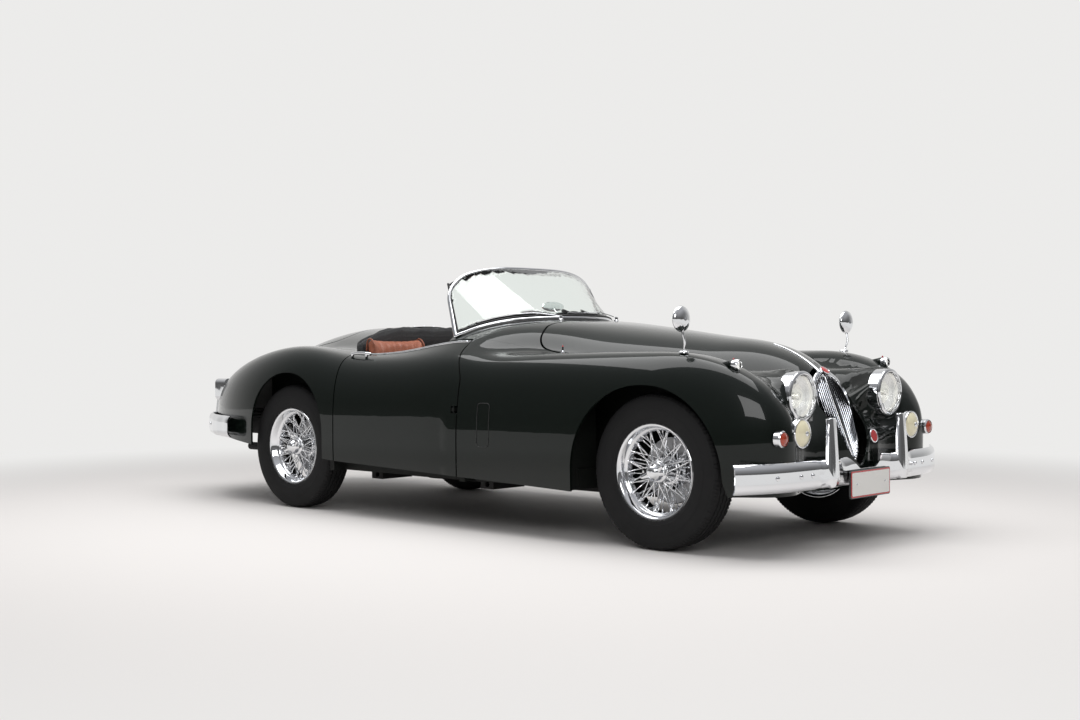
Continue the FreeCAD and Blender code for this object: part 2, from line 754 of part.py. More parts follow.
def make_nose():
    block = TRIMMED.common(plan_prism(nose_outline))
    block = block.cut([plan_prism(bonnet_outline, BONNET_GAP / 2), grille_opening(GRILLE_SEAT)])
    return solids_over(block.cut(INNER))


RIM_DEPTH = 56.0
RIM_RADIUS = 109.0


def make_front_wing():
    """The left front wing, with the pod whose face is cut away for the lamp."""
    wing = SHELL.common(box(DOOR_FRONT_X - DOOR_LEAN + SHUT_GAP, FAR_FRONT, 0, FAR_SIDE, UNDER, ABOVE))
    mouth_x = LAMP_FACE_X - RIM_DEPTH
    mouth = rod(V(mouth_x, LAMP_OFFSET, LAMP_HEIGHT), V(FAR_FRONT, LAMP_OFFSET, LAMP_HEIGHT),
                RIM_RADIUS + SEAT_GAP)
    cup = rod(V(mouth_x - SKIN, LAMP_OFFSET, LAMP_HEIGHT), V(FAR_FRONT, LAMP_OFFSET, LAMP_HEIGHT),
              RIM_RADIUS + SKIN)
    hole = prism(door_outline, "xz", DOOR_INNER_Y - SHUT_GAP, FAR_SIDE, SHUT_GAP)
    wing = wing.cut([hole, prism(front_arch, "xz", 0, FAR_SIDE)])
    wing = wing.fuse(TRIMMED.common(cup))
    return solids_over(wing.cut([mouth, plan_prism(bonnet_outline, BONNET_GAP / 2),
                                 plan_prism(scuttle_outline, SEAT_GAP),
                                 plan_prism(nose_outline, SEAT_GAP)]))


def make_scuttle():
    scuttle = SHELL.common(plan_prism(scuttle_outline))
    return solids_over(scuttle.cut(plan_prism(bonnet_outline, BONNET_GAP / 2)))


def make_rear_wing():
    wing = SHELL.common(box(FAR_REAR, DOOR_REAR_X - SHUT_GAP, 0, FAR_SIDE, UNDER, ABOVE))
    cockpit = box(COCKPIT_REAR_X - OVERRUN, DOOR_REAR_X, 0, DOOR_INNER_Y - 2 * SHUT_GAP, UNDER, ABOVE)
    return solids_over(wing.cut([cockpit, plan_prism(deck_outline, SEAT_GAP),
                                 prism(rear_arch, "xz", 0, FAR_SIDE)]))


def lid_region(grow):
    region = plan_prism(lid_outline, grow)
    return region.cut(box(FAR_REAR - OVERRUN, FAR_FRONT, -FAR_SIDE, FAR_SIDE, UNDER - OVERRUN,
                          LID_LOW_Z - grow))


def make_deck():
    deck = solids_over(SHELL.common(plan_prism(deck_outline)).cut(lid_region(BONNET_GAP / 2)))
    beam_x = LID_FRONT_X + 2 * BONNET_GAP
    half = LID_HINGE_Y + LID_STRAP
    beam = box(beam_x, beam_x + PANEL, -half, half, boot_hinge_z - LID_HINGE_IN - PANEL,
               ABOVE).common(TRIMMED)
    brackets = [lid_bracket(beam_x + PANEL / 2, boot_hinge_x, boot_hinge_z, hand) for hand in (1, -1)]
    return fused([deck, beam] + brackets)


def make_lid():
    return solids_over(SHELL.common(lid_region(-BONNET_GAP / 2)))


# Door hinges: upright pins in pockets in the door's front edge
HINGE_BEHIND = 25.0
HINGE_INBOARD = 11.0
HINGE_PIN_RADIUS = 4.0
HINGE_EYE_RADIUS = 8.0
HINGE_HEIGHT = 18.0
HINGE_ARM = 8.0
hinge_heights = (SILL_FRONT_Z + 100.0, WAIST_HEIGHT + 90.0)
hinge_x = DOOR_FRONT_X - HINGE_BEHIND
hinge_y = surface_y(hinge_x, WAIST_HEIGHT) - HINGE_INBOARD


def make_door():
    """The left door: skin, frame and trim as one hollow-backed wall, open at the glass line."""
    thick_wall = closed_on_base(inset_grid(GRID, DOOR_THICKNESS))
    door = TRIMMED.common(prism(door_outline, "xz", DOOR_INNER_Y, FAR_SIDE)).cut(thick_wall)
    door = solids_over(door)
    pin_shapes = []
    for z in hinge_heights:
        pocket = box(hinge_x - 2 * HINGE_EYE_RADIUS, DOOR_FRONT_X + OVERRUN,
                     hinge_y - DOOR_THICKNESS - OVERRUN,
                     hinge_y + HINGE_EYE_RADIUS + 1.5, z - HINGE_HEIGHT, z + HINGE_HEIGHT)
        door = door.cut(pocket)
        pin_shapes.append(rod(V(hinge_x, hinge_y, z - HINGE_HEIGHT - HINGE_PIN_RADIUS),
                              V(hinge_x, hinge_y, z + HINGE_HEIGHT + HINGE_PIN_RADIUS), HINGE_PIN_RADIUS))
    return fused([door] + pin_shapes)


# Chassis
RAIL_Y = 362.0
RAIL_WIDTH = 64.0
RAIL_DEPTH = 96.0
RAIL_Z = 240.0
RAIL_KICK_Z = 452.0
RAIL_TAIL_Z = 420.0
RAIL_NOSE_Z = 330.0
CROSS_WIDTH = 90.0
RAIL_FRONT_X = 1770.0
RAIL_REAR_X = -2230.0
RAIL_KICK_X = -1003.0

rail_line = [(RAIL_FRONT_X, RAIL_NOSE_Z), (FRONT_AXLE_X + RAIL_Z, RAIL_NOSE_Z),
             (FRONT_AXLE_X - RAIL_Z, RAIL_Z),
             (RAIL_KICK_X, RAIL_Z), (RAIL_KICK_X - RAIL_Z * 0.7, RAIL_KICK_Z),
             (REAR_AXLE_X - RAIL_Z, RAIL_KICK_Z),
             (REAR_AXLE_X - 2 * RAIL_Z, RAIL_TAIL_Z), (RAIL_REAR_X, RAIL_TAIL_Z)]


def make_chassis():
    rail = prism(bent_band(rail_line, RAIL_DEPTH, RAIL_DEPTH), "xz", RAIL_Y - RAIL_WIDTH / 2,
                 RAIL_Y + RAIL_WIDTH / 2)
    pieces = [rail, mirrored(rail)]
    height = RAIL_DEPTH / 2
    for x, top in ((FRONT_AXLE_X, RAIL_Z + height / 2),
                   (ENGINE_MIDDLE_X - CROSS_WIDTH, RAIL_Z + height / 2), (0, RAIL_Z + height),
                   (DOOR_REAR_X + CROSS_WIDTH, RAIL_Z + height),
                   (REAR_AXLE_X - RAIL_Z, RAIL_KICK_Z + height / 2),
                   (RAIL_REAR_X + CROSS_WIDTH, RAIL_TAIL_Z + height / 2),
                   (RAIL_FRONT_X - CROSS_WIDTH, RAIL_NOSE_Z + height / 2)):
        pieces.append(box(x - CROSS_WIDTH / 2, x + CROSS_WIDTH / 2, -RAIL_Y, RAIL_Y, top - height, top))
    sockets = ((DOOR_FRONT_X, JACK_Y, JACK_DEPTH), (DOOR_REAR_X + CROSS_WIDTH, JACK_REAR_Y, JACK_REAR_DEPTH))
    for x, end, depth in sockets:
        outrigger = box(x - CROSS_WIDTH / 2, x + CROSS_WIDTH / 2, RAIL_Y, end,
                        JACK_Z - JACK_RADIUS * JACK_WALL_SHARE, JACK_Z + JACK_RADIUS * JACK_WALL_SHARE)
        pieces += [outrigger, mirrored(outrigger)]
    frame = fused(pieces)
    for x, end, depth in sockets:
        hole = jack_hole(x, end, depth)
        frame = frame.cut([hole, mirrored(hole)])
    rack_hole = rod(V(RACK_X, -RAIL_Y - RAIL_WIDTH, RACK_Z), V(RACK_X, RAIL_Y + RAIL_WIDTH, RACK_Z),
                    ROD_RADIUS + POST_CLEAR)
    return frame.cut(rack_hole)


# Jacking sockets at the ends of the outriggers
JACK_Y = 587.0
JACK_REAR_Y = 575.0
JACK_Z = 208.0
JACK_RADIUS = 14.0
JACK_DEPTH = 80.0
JACK_REAR_DEPTH = 72.0
JACK_CHAMFER = 2.0
JACK_WALL_SHARE = 1.7
JACK_POINT_SHARE = 0.2


def jack_hole(x, end, depth):
    """A drilled socket with a blunt drill point at its bottom and a chamfered mouth."""
    mouth = JACK_RADIUS + JACK_CHAMFER
    point = -JACK_RADIUS / 2
    return turned([(point, 0), (point, JACK_RADIUS * JACK_POINT_SHARE), (0, JACK_RADIUS),
                   (depth, JACK_RADIUS), (depth + JACK_CHAMFER, mouth), (depth + OVERRUN, mouth),
                   (depth + OVERRUN, 0)],
                  V(x, end - JACK_CHAMFER - depth, JACK_Z), V(0, 1, 0))


# Engine, gearbox and shaft
ENGINE_LENGTH = 760.0
ENGINE_HALF = 150.0
ENGINE_MIDDLE_X = 1010.0
ENGINE_TOP_Z = 820.0
ENGINE_LOW_Z = RAIL_Z + RAIL_DEPTH / 4 + SEAT_GAP
GEARBOX_RADIUS = 95.0
GEARBOX_LENGTH = 430.0
SHAFT_RADIUS = 34.0
SHAFT_Z = 372.0
FIREWALL_X = 336.0
PANEL = 8.0


def make_engine():
    """One plain block with the steps of sump, block and twin cam covers."""
    x0 = ENGINE_MIDDLE_X - ENGINE_LENGTH / 2
    x1 = ENGINE_MIDDLE_X + ENGINE_LENGTH / 2
    low = ENGINE_LOW_Z
    profile = [(-ENGINE_HALF * 0.6, low, 0), (ENGINE_HALF * 0.6, low, 0),
               (ENGINE_HALF * 0.75, low + ENGINE_HALF, 0),
               (ENGINE_HALF, low + ENGINE_HALF * 2, 0),
               (ENGINE_HALF, ENGINE_TOP_Z - ENGINE_HALF / 3, ENGINE_HALF / 4),
               (ENGINE_HALF * 0.9, ENGINE_TOP_Z, ENGINE_HALF / 4),
               (-ENGINE_HALF * 0.9, ENGINE_TOP_Z, ENGINE_HALF / 4),
               (-ENGINE_HALF, ENGINE_TOP_Z - ENGINE_HALF / 3, ENGINE_HALF / 4),
               (-ENGINE_HALF, low + ENGINE_HALF * 2, 0),
               (-ENGINE_HALF * 0.75, low + ENGINE_HALF, 0)]
    notch = box(RACK_X - 3 * POST_RADIUS, RACK_X + 3 * POST_RADIUS, -ENGINE_HALF, ENGINE_HALF, RAIL_Z,
                RACK_Z + 2 * POST_RADIUS)
    return prism(profile, "yz", x0, x1).cut(notch)


def make_driveline():
    """Gearbox and propeller shaft, from the engine's rear face to the axle's nose."""
    x0 = ENGINE_MIDDLE_X - ENGINE_LENGTH / 2 - SEAT_GAP
    x1 = x0 - GEARBOX_LENGTH
    x2 = REAR_AXLE_X + DIFF_RADIUS + SEAT_GAP + SHAFT_RADIUS
    case = turned([(0, 0), (0, GEARBOX_RADIUS * 1.4), (SHAFT_RADIUS, GEARBOX_RADIUS * 1.4),
                   (3 * SHAFT_RADIUS, GEARBOX_RADIUS),
                   (GEARBOX_LENGTH * 0.8, GEARBOX_RADIUS * 0.8), (GEARBOX_LENGTH, GEARBOX_RADIUS * 0.5),
                   (GEARBOX_LENGTH, 0)],
                  V(x0, 0, SHAFT_Z + SHAFT_RADIUS), V(-1, 0, 0))
    joint = V(x2 + 2 * SHAFT_RADIUS, 0, WHEEL_RADIUS)
    shaft = rod(V(x1 + SHAFT_RADIUS, 0, SHAFT_Z + SHAFT_RADIUS), joint, SHAFT_RADIUS)
    return fused([case, shaft, Part.makeSphere(SHAFT_RADIUS, joint),
                  rod(joint, V(x2, 0, WHEEL_RADIUS), SHAFT_RADIUS)])


def make_radiator():
    core = box(RADIATOR_X, RADIATOR_X + RADIATOR_DEPTH, -RADIATOR_HALF, RADIATOR_HALF, RADIATOR_LOW_Z,
               RADIATOR_TOP_Z)
    return core


RADIATOR_X = 1500.0
RADIATOR_DEPTH = 70.0
RADIATOR_HALF = 220.0
RADIATOR_LOW_Z = RAIL_NOSE_Z + RAIL_DEPTH / 4 + SEAT_GAP
RADIATOR_TOP_Z = 700.0

# Rear axle
AXLE_RADIUS = 38.0
DIFF_RADIUS = 125.0
SPRING_Y = 470.0
SPRING_WIDTH = 52.0
SPRING_FRONT = 284.0
SPRING_REAR = 500.0
SPRING_DEPTH = 34.0
SPRING_EYE = 24.0


def make_rear_axle():
    tube = rod(V(REAR_AXLE_X, -HUB_FACE_Y, WHEEL_RADIUS), V(REAR_AXLE_X, HUB_FACE_Y, WHEEL_RADIUS),
               AXLE_RADIUS)
    bulge = turned([(-DIFF_RADIUS * 1.25, 0), (-DIFF_RADIUS * 1.25, AXLE_RADIUS),
                    (-DIFF_RADIUS * 0.6, DIFF_RADIUS * 0.9), (0, DIFF_RADIUS),
                    (DIFF_RADIUS * 0.6, DIFF_RADIUS * 0.9), (DIFF_RADIUS * 1.25, AXLE_RADIUS),
                    (DIFF_RADIUS * 1.25, 0)],
                   V(REAR_AXLE_X, 0, WHEEL_RADIUS), V(0, 1, 0))
    nose = rod(V(REAR_AXLE_X, 0, WHEEL_RADIUS),
               V(REAR_AXLE_X + DIFF_RADIUS + SHAFT_RADIUS, 0, WHEEL_RADIUS), SHAFT_RADIUS * 1.4)
    pieces = [tube, bulge, nose]
    z = WHEEL_RADIUS - AXLE_RADIUS
    leaf_line = [(REAR_AXLE_X + SPRING_FRONT, z + SPRING_DEPTH), (REAR_AXLE_X + SPRING_FRONT / 2, z),
                 (REAR_AXLE_X, z - SPRING_DEPTH / 2),
                 (REAR_AXLE_X - SPRING_REAR / 2, z), (REAR_AXLE_X - SPRING_REAR, z + 2 * SPRING_DEPTH)]
    leaf = prism(bent_band(leaf_line, SPRING_DEPTH, SPRING_REAR / 2), "xz", SPRING_Y - SPRING_WIDTH / 2,
                 SPRING_Y + SPRING_WIDTH / 2)
    pieces += [leaf, mirrored(leaf)]
    for x, eye_z in (leaf_line[0], leaf_line[-1]):
        eye = rod(V(x, RAIL_Y + RAIL_WIDTH / 2 + SEAT_GAP, eye_z), V(x, SPRING_Y + SPRING_WIDTH / 2, eye_z),
                  SPRING_EYE)
        pieces += [eye, mirrored(eye)]
    return fused(pieces)


# Wheels: wire wheels with knock-off nuts, and the hubs and discs behind them
HUB_FACE_Y = 572.0
TYRE_HALF = 84.0
BEAD_RADIUS = 204.0
RIM_HALF = 71.0
STUB_RADIUS = 20.0
SPOKE_RADIUS = 2.4
DISC_RADIUS = 150.0
DISC_THICKNESS = 12.0
DISC_Y = -75.0
NUT_EAR = 62.0

tyre_shares = [(-0.71, 0.0), (-1.0, 0.43), (-0.86, 0.91), (-0.69, 1.0), (0.69, 1.0), (0.86, 0.91),
               (1.0, 0.43), (0.71, 0.0)]


def make_tyre():
    """A crossply tyre in eight turned faces, about its own middle."""
    rise = WHEEL_RADIUS - BEAD_RADIUS
    return turned([(y * TYRE_HALF, BEAD_RADIUS + z * rise) for y, z in tyre_shares], V(0, 0, 0), V(0, 1, 0))


def make_rim():
    r = BEAD_RADIUS - SEAT_GAP
    lip = r + 10
    wall = 5.0
    outer = [(-RIM_HALF, lip), (-RIM_HALF + wall, lip), (-RIM_HALF + 2 * wall, r), (-RIM_HALF * 0.5, r),
             (-RIM_HALF * 0.36, r - 16), (RIM_HALF * 0.36, r - 16),
             (RIM_HALF * 0.5, r), (RIM_HALF - 2 * wall, r), (RIM_HALF - wall, lip), (RIM_HALF, lip)]
    inner = [(RIM_HALF, lip - wall), (RIM_HALF - wall, r - wall), (RIM_HALF * 0.5, r - wall),
             (RIM_HALF * 0.36, r - 16 - wall),
             (-RIM_HALF * 0.36, r - 16 - wall), (-RIM_HALF * 0.5, r - wall), (-RIM_HALF + wall, r - wall),
             (-RIM_HALF, lip - wall)]
    return turned(outer + inner, V(0, 0, 0), V(0, 1, 0))


def make_hub():
    """The hub shell, its two spoke flanges, the disc behind and the domed cap, bored for the stub."""
    profile = [(DISC_Y, 0), (DISC_Y, DISC_RADIUS), (DISC_Y + DISC_THICKNESS, DISC_RADIUS),
               (DISC_Y + DISC_THICKNESS, 60), (-46, 60), (-46, 64), (-38, 64),
               (-34, 48), (28, 40), (34, 50), (42, 50), (46, 38), (62, 34), (66, 36), (84, 30), (92, 16),
               (94, 0)]
    hub = turned(profile, V(0, 0, 0), V(0, 1, 0))
    bore = rod(V(0, DISC_Y - OVERRUN, 0), V(0, -STUB_RADIUS, 0), STUB_RADIUS + RUNNING_GAP)
    return hub.cut(bore)


def make_nut():
    """A two-eared knock-off nut around the cap."""
    ear = prism([(-NUT_EAR, -11, 5), (-NUT_EAR, 11, 5), (-20, 17, 0), (20, 17, 0), (NUT_EAR, 11, 5),
                 (NUT_EAR, -11, 5), (20, -17, 0), (-20, -17, 0)],
                "xz", 62, 76)
    return ear


def make_spokes():
    """Crossed spokes: an outer row from the cap flange, two inner rows from the disc flange."""
    spokes = []
    rows = ((38.0, 46.0, 14.0, 24, 22.0), (-42.0, 60.0, 22.0, 24, 30.0), (-40.0, 60.0, -20.0, 24, 12.0))
    for hub_y, hub_r, rim_y, count, cross in rows:
        for i in range(count):
            angle = 2 * math.pi * (i + hub_y / 180) / count
            swing = math.radians(cross) * (1 if i % 2 else -1)
            start = V(hub_r * math.sin(angle), hub_y, hub_r * math.cos(angle))
            r = BEAD_RADIUS - 20 if abs(rim_y) < RIM_HALF * 0.36 else BEAD_RADIUS - 6
            end = V(r * math.sin(angle + swing), rim_y, r * math.cos(angle + swing))
            spokes.append(rod(start, end, SPOKE_RADIUS))
    return spokes


def make_wheel():
    """A left wheel about its own middle, its outer face towards +Y."""
    return fused([make_rim(), make_hub(), make_nut()] + make_spokes())


def placed(shape, x, y):
    shape = shape.copy()
    shape.translate(V(x, y, WHEEL_RADIUS))
    return shape


# Front suspension and steering
KINGPIN_Y = 560.0
POST_RADIUS = 20.0
POST_LOW_Z = 268.0
POST_TOP_Z = 424.0
ARM_THICKNESS = 24.0
ARM_HALF_SPAN = 100.0
STEER_ARM = 130.0
ROD_RADIUS = 11.0
STEER_Z = 300.0
POST_CLEAR = 5.0
RACK_X = FRONT_AXLE_X - STEER_ARM
RACK_Z = STEER_Z - SEAT_GAP - POST_RADIUS * 0.8


def wishbone(z0, z1, inner_y):
    x = FRONT_AXLE_X
    points = [(x - ARM_HALF_SPAN, inner_y, 0), (x + ARM_HALF_SPAN, inner_y, 0),
              (x + POST_RADIUS * 0.9, KINGPIN_Y + POST_RADIUS * 0.6, POST_RADIUS * 0.6),
              (x - POST_RADIUS * 0.9, KINGPIN_Y + POST_RADIUS * 0.6, POST_RADIUS * 0.6)]
    arm = prism(points, "xy", z0, z1)
    middle = [(x - ARM_HALF_SPAN * 0.6, inner_y + POST_RADIUS, POST_RADIUS / 4),
              (x + ARM_HALF_SPAN * 0.6, inner_y + POST_RADIUS, POST_RADIUS / 4),
              (x, KINGPIN_Y - 2.5 * POST_RADIUS, POST_RADIUS / 8)]
    return arm.cut(prism(middle, "xy", z0 - OVERRUN, z1 + OVERRUN))


def make_front_suspension():
    """Double wishbones, torsion bars and the rack housing."""
    inner_y = RAIL_Y + RAIL_WIDTH / 2 + SEAT_GAP
    pieces = []
    for low, high in ((POST_LOW_Z - SEAT_GAP - ARM_THICKNESS, POST_LOW_Z - SEAT_GAP),
                      (POST_TOP_Z + SEAT_GAP, POST_TOP_Z + SEAT_GAP + ARM_THICKNESS)):
        arm = wishbone(low, high, inner_y)
        if low > WHEEL_RADIUS:
            arm = fused([arm, box(FRONT_AXLE_X - ARM_HALF_SPAN, FRONT_AXLE_X + ARM_HALF_SPAN, inner_y,
                                  inner_y + POST_RADIUS, RAIL_Z, high)])
        pieces += [arm, mirrored(arm)]
    return Part.makeCompound(pieces)


def make_knuckle():
    """The left upright with its stub, caliper and steering arm."""
    x = FRONT_AXLE_X
    post = rod(V(x, KINGPIN_Y, POST_LOW_Z), V(x, KINGPIN_Y, POST_TOP_Z), POST_RADIUS)
    hub_y = WHEEL_Y + DISC_Y
    boss = rod(V(x, KINGPIN_Y, WHEEL_RADIUS), V(x, hub_y - RUNNING_GAP * 3, WHEEL_RADIUS), 2 * STUB_RADIUS)
    stub = rod(V(x, KINGPIN_Y, WHEEL_RADIUS), V(x, WHEEL_Y - STUB_RADIUS - RUNNING_GAP * 3, WHEEL_RADIUS),
               STUB_RADIUS)
    arm = box(x - STEER_ARM, x, KINGPIN_Y - POST_RADIUS * 0.7, KINGPIN_Y + POST_RADIUS * 0.3, STEER_Z,
              STEER_Z + ARM_THICKNESS)
    eye = rod(V(x - STEER_ARM, KINGPIN_Y - POST_RADIUS * 0.2, STEER_Z),
              V(x - STEER_ARM, KINGPIN_Y - POST_RADIUS * 0.2, STEER_Z + ARM_THICKNESS), POST_RADIUS * 0.8)
    knuckle = fused([post, boss, stub, arm, eye])
    return fused([knuckle, caliper(x)])


CALIPER_IN = 36.0


def caliper(x):
    """The brake caliper that straddles the disc ahead of the axle line, with its bracket."""
    disc_y = WHEEL_Y + DISC_Y
    body = box(x + DISC_RADIUS * 0.62, x + DISC_RADIUS + 12, disc_y - CALIPER_IN,
               disc_y + DISC_THICKNESS + 16, WHEEL_RADIUS - 45, WHEEL_RADIUS + 45)
    slot = box(x, x + DISC_RADIUS + 3, disc_y - 2, disc_y + DISC_THICKNESS + 2, WHEEL_RADIUS - 90,
               WHEEL_RADIUS + 90)
    bracket = box(x - POST_RADIUS / 2, x + DISC_RADIUS * 0.7, disc_y - CALIPER_IN, disc_y - CALIPER_IN / 2,
                  WHEEL_RADIUS - 22, WHEEL_RADIUS + 22)
    return fused([body.cut(slot), bracket])


# Ends of the track rods, as shares of the steering posts' radius
ROD_END_SHARE = 0.7
ROD_END_HALF_SHARE = 0.8
ROD_END_INSET_SHARE = 0.3


def make_track_rods():
    """The sliding rack with its rods, whose ends lie under the steering arms."""
    x = RACK_X
    z = RACK_Z
    y = KINGPIN_Y - POST_RADIUS * ROD_END_INSET_SHARE
    half = POST_RADIUS * ROD_END_HALF_SHARE
    bar = rod(V(x, -y, z), V(x, y, z), ROD_RADIUS)
    ends = [rod(V(x, side_y, z - half), V(x, side_y, z + half), POST_RADIUS * ROD_END_SHARE)
            for side_y in (-y, y)]
    return fused([bar] + ends)


def make_rack():
    """The rack's housing tube, with the two feet that hold it to the rails."""
    x = RACK_X
    z = RACK_Z
    reach = RAIL_Y - RAIL_WIDTH / 2 - SEAT_GAP
    tube = rod(V(x, -reach, z), V(x, reach, z), 2 * ROD_RADIUS)
    return tube.cut(rod(V(x, -RAIL_Y, z), V(x, RAIL_Y, z), ROD_RADIUS + RUNNING_GAP))


# Inner structure: floor, sills, posts, firewall, bulkheads and inner arches, kept under the skin
FLOOR_Z = RAIL_Z + RAIL_DEPTH / 2 + SEAT_GAP
SILL_Y = 596.0
SILL_OUT_Y = 718.0
SILL_LOW_Z = 238.0
SILL_TOP_Z = 332.0
SILL_FRONT_X = 850.0
SILL_REAR_X = -928.0
A_POST = 34.0
SPLASH_Y = 386.0
SPLASH_TOP_Z = 720.0
SPLASH_FRONT_TOP_Z = 620.0
SPLASH_FRONT_X = 1490.0
TUNNEL_HALF = 124.0
TUNNEL_TOP_Z = 520.0
BULKHEAD_X = -972.0
INNER_ARCH_Y = 546.0
BOOT_FLOOR_Z = RAIL_KICK_Z + RAIL_DEPTH / 2 + 2 * PANEL
BOOT_FLOOR_REAR_X = -2170.0
ARCH_WALL_REAR_X = -1720.0


def slab(x0, x1, y0, y1, z0, z1):
    """A box and its mirror image as one pair, or one box where it spans the middle."""
    part = box(x0, x1, y0, y1, z0, z1)
    return [part] if y0 < 0 else [part, mirrored(part)]


# Stretch behind each front wheel where the inner structure stands back from the wing's lower edge
WING_EDGE_REAR_X = 690.0
WING_EDGE_FRONT_X = 1000.0
WING_EDGE_TOP_Z = 310.0
WING_EDGE_Y = 775.0


def clear_of_wing_edges(tub):
    """The tub, cut back behind the lower edges of both front wings."""
    space = box(WING_EDGE_REAR_X, WING_EDGE_FRONT_X, WING_EDGE_Y, FAR_SIDE, UNDER, WING_EDGE_TOP_Z)
    return tub.cut([space, mirrored(space)])


def make_tub():
    post_x = DOOR_FRONT_X + SHUT_GAP + POST_CLEAR
    rear_post_x = DOOR_REAR_X - SHUT_GAP - POST_CLEAR
    low = FLOOR_Z
    inner_half = INNER_ARCH_Y + PANEL
    arch_top = ARCH_FRONT_Z + ARCH_FRONT_RADIUS
    arch_front = ARCH_FRONT_X - 4 * PANEL
    pieces = slab(SILL_REAR_X, FIREWALL_X, -SILL_Y, SILL_Y, low, low + PANEL)
    pieces += slab(BULKHEAD_X, SILL_REAR_X, -inner_half, inner_half, low, low + PANEL)
    pieces += slab(SILL_REAR_X, SILL_FRONT_X, SILL_Y - PANEL, SILL_OUT_Y, SILL_LOW_Z, SILL_TOP_Z)
    pieces += slab(post_x, post_x + A_POST, SILL_Y - PANEL, FAR_SIDE, SILL_LOW_Z, ABOVE)
    pieces += slab(rear_post_x - A_POST, rear_post_x, INNER_ARCH_Y, FAR_SIDE, SILL_LOW_Z, ABOVE)
    pieces += slab(SILL_FRONT_X - 2 * PANEL, SILL_FRONT_X - PANEL, SILL_Y - PANEL, FAR_SIDE, SILL_LOW_Z,
                   arch_top)
    pieces += slab(FIREWALL_X, FIREWALL_X + PANEL, -FAR_SIDE, FAR_SIDE, low, ABOVE)
    pieces += slab(FIREWALL_X, arch_front, SPLASH_Y, SPLASH_Y + PANEL, low, SPLASH_TOP_Z)
    pieces += slab(arch_front - PANEL, SPLASH_FRONT_X, SPLASH_Y, SPLASH_Y + PANEL, low, SPLASH_FRONT_TOP_Z)
    pieces += slab(SPLASH_FRONT_X - PANEL, SPLASH_FRONT_X, -SPLASH_Y - PANEL, SPLASH_Y + PANEL,
                   RAIL_NOSE_Z + RAIL_DEPTH,
                   SPLASH_FRONT_TOP_Z)
    pieces += slab(BULKHEAD_X - PANEL, BULKHEAD_X, -inner_half, inner_half, low, ABOVE)
    pieces += slab(ARCH_WALL_REAR_X, BULKHEAD_X, INNER_ARCH_Y, inner_half, RAIL_KICK_Z, ABOVE)
    pieces += slab(BOOT_FLOOR_REAR_X, BULKHEAD_X - PANEL, -FAR_SIDE, FAR_SIDE, BOOT_FLOOR_Z,
                   BOOT_FLOOR_Z + PANEL)
    arch_cut = slab(ARCH_WALL_REAR_X, BULKHEAD_X, INNER_ARCH_Y + PANEL, FAR_SIDE, UNDER, ABOVE)
    room = ROOM.common(box(FAR_REAR, FAR_FRONT, -FAR_SIDE, FAR_SIDE, SILL_LOW_Z, ABOVE))
    body = fused(pieces[:-1] + [pieces[-1].cut(arch_cut)]).common(room)
    tunnel_hole = prism([(-TUNNEL_HALF, low - OVERRUN, 0), (TUNNEL_HALF, low - OVERRUN, 0),
                         (TUNNEL_HALF, TUNNEL_TOP_Z, TUNNEL_HALF / 2),
                         (-TUNNEL_HALF, TUNNEL_TOP_Z, TUNNEL_HALF / 2)], "yz", BULKHEAD_X - PANEL,
                        FIREWALL_X + OVERRUN)
    tunnel = prism([(-TUNNEL_HALF - PANEL, low, 0), (TUNNEL_HALF + PANEL, low, 0),
                    (TUNNEL_HALF + PANEL, TUNNEL_TOP_Z + PANEL, TUNNEL_HALF / 2),
                    (-TUNNEL_HALF - PANEL, TUNNEL_TOP_Z + PANEL, TUNNEL_HALF / 2)], "yz",
                   BULKHEAD_X - PANEL, FIREWALL_X + PANEL)
    body = fused([body, tunnel]).cut(tunnel_hole)
    rails = prism(bent_band(rail_line, RAIL_DEPTH + 2 * SEAT_GAP, RAIL_DEPTH), "xz",
                  RAIL_Y - RAIL_WIDTH / 2 - SEAT_GAP,
                  RAIL_Y + RAIL_WIDTH / 2 + SEAT_GAP)
    body = body.cut([rails, mirrored(rails)])
    column_hole = rod(V(FIREWALL_X - OVERRUN, COLUMN_Y, column_z(FIREWALL_X - OVERRUN)),
                      V(FIREWALL_X + OVERRUN, COLUMN_Y, column_z(FIREWALL_X + OVERRUN)),
                      COLUMN_RADIUS + 3 * SEAT_GAP)
    body = solids_over(body.cut(column_hole))
    pieces = [body]
    for z in hinge_heights:
        inboard_y = hinge_y - 5 * HINGE_EYE_RADIUS
        inboard_x = hinge_x + 1.25 * HINGE_EYE_RADIUS
        flat = [(hinge_x, hinge_y), (inboard_x, inboard_y), (post_x + A_POST / 2, inboard_y)]
        arm = prism(band(flat, HINGE_ARM), "xy", z - HINGE_HEIGHT / 2, z + HINGE_HEIGHT / 2)
        eye = rod(V(hinge_x, hinge_y, z - HINGE_HEIGHT / 2), V(hinge_x, hinge_y, z + HINGE_HEIGHT / 2),
                  HINGE_EYE_RADIUS)
        hole = rod(V(hinge_x, hinge_y, z - HINGE_HEIGHT), V(hinge_x, hinge_y, z + HINGE_HEIGHT),
                   HINGE_PIN_RADIUS + SEAT_GAP)
        hinge = fused([arm, eye]).cut(hole)
        pieces += [hinge, mirrored(hinge)]
    pieces += [lid_bracket(FIREWALL_X + PANEL / 2, bonnet_hinge_x, bonnet_hinge_z, 1),
               lid_bracket(FIREWALL_X + PANEL / 2, bonnet_hinge_x, bonnet_hinge_z, -1)]
    return fused(pieces)


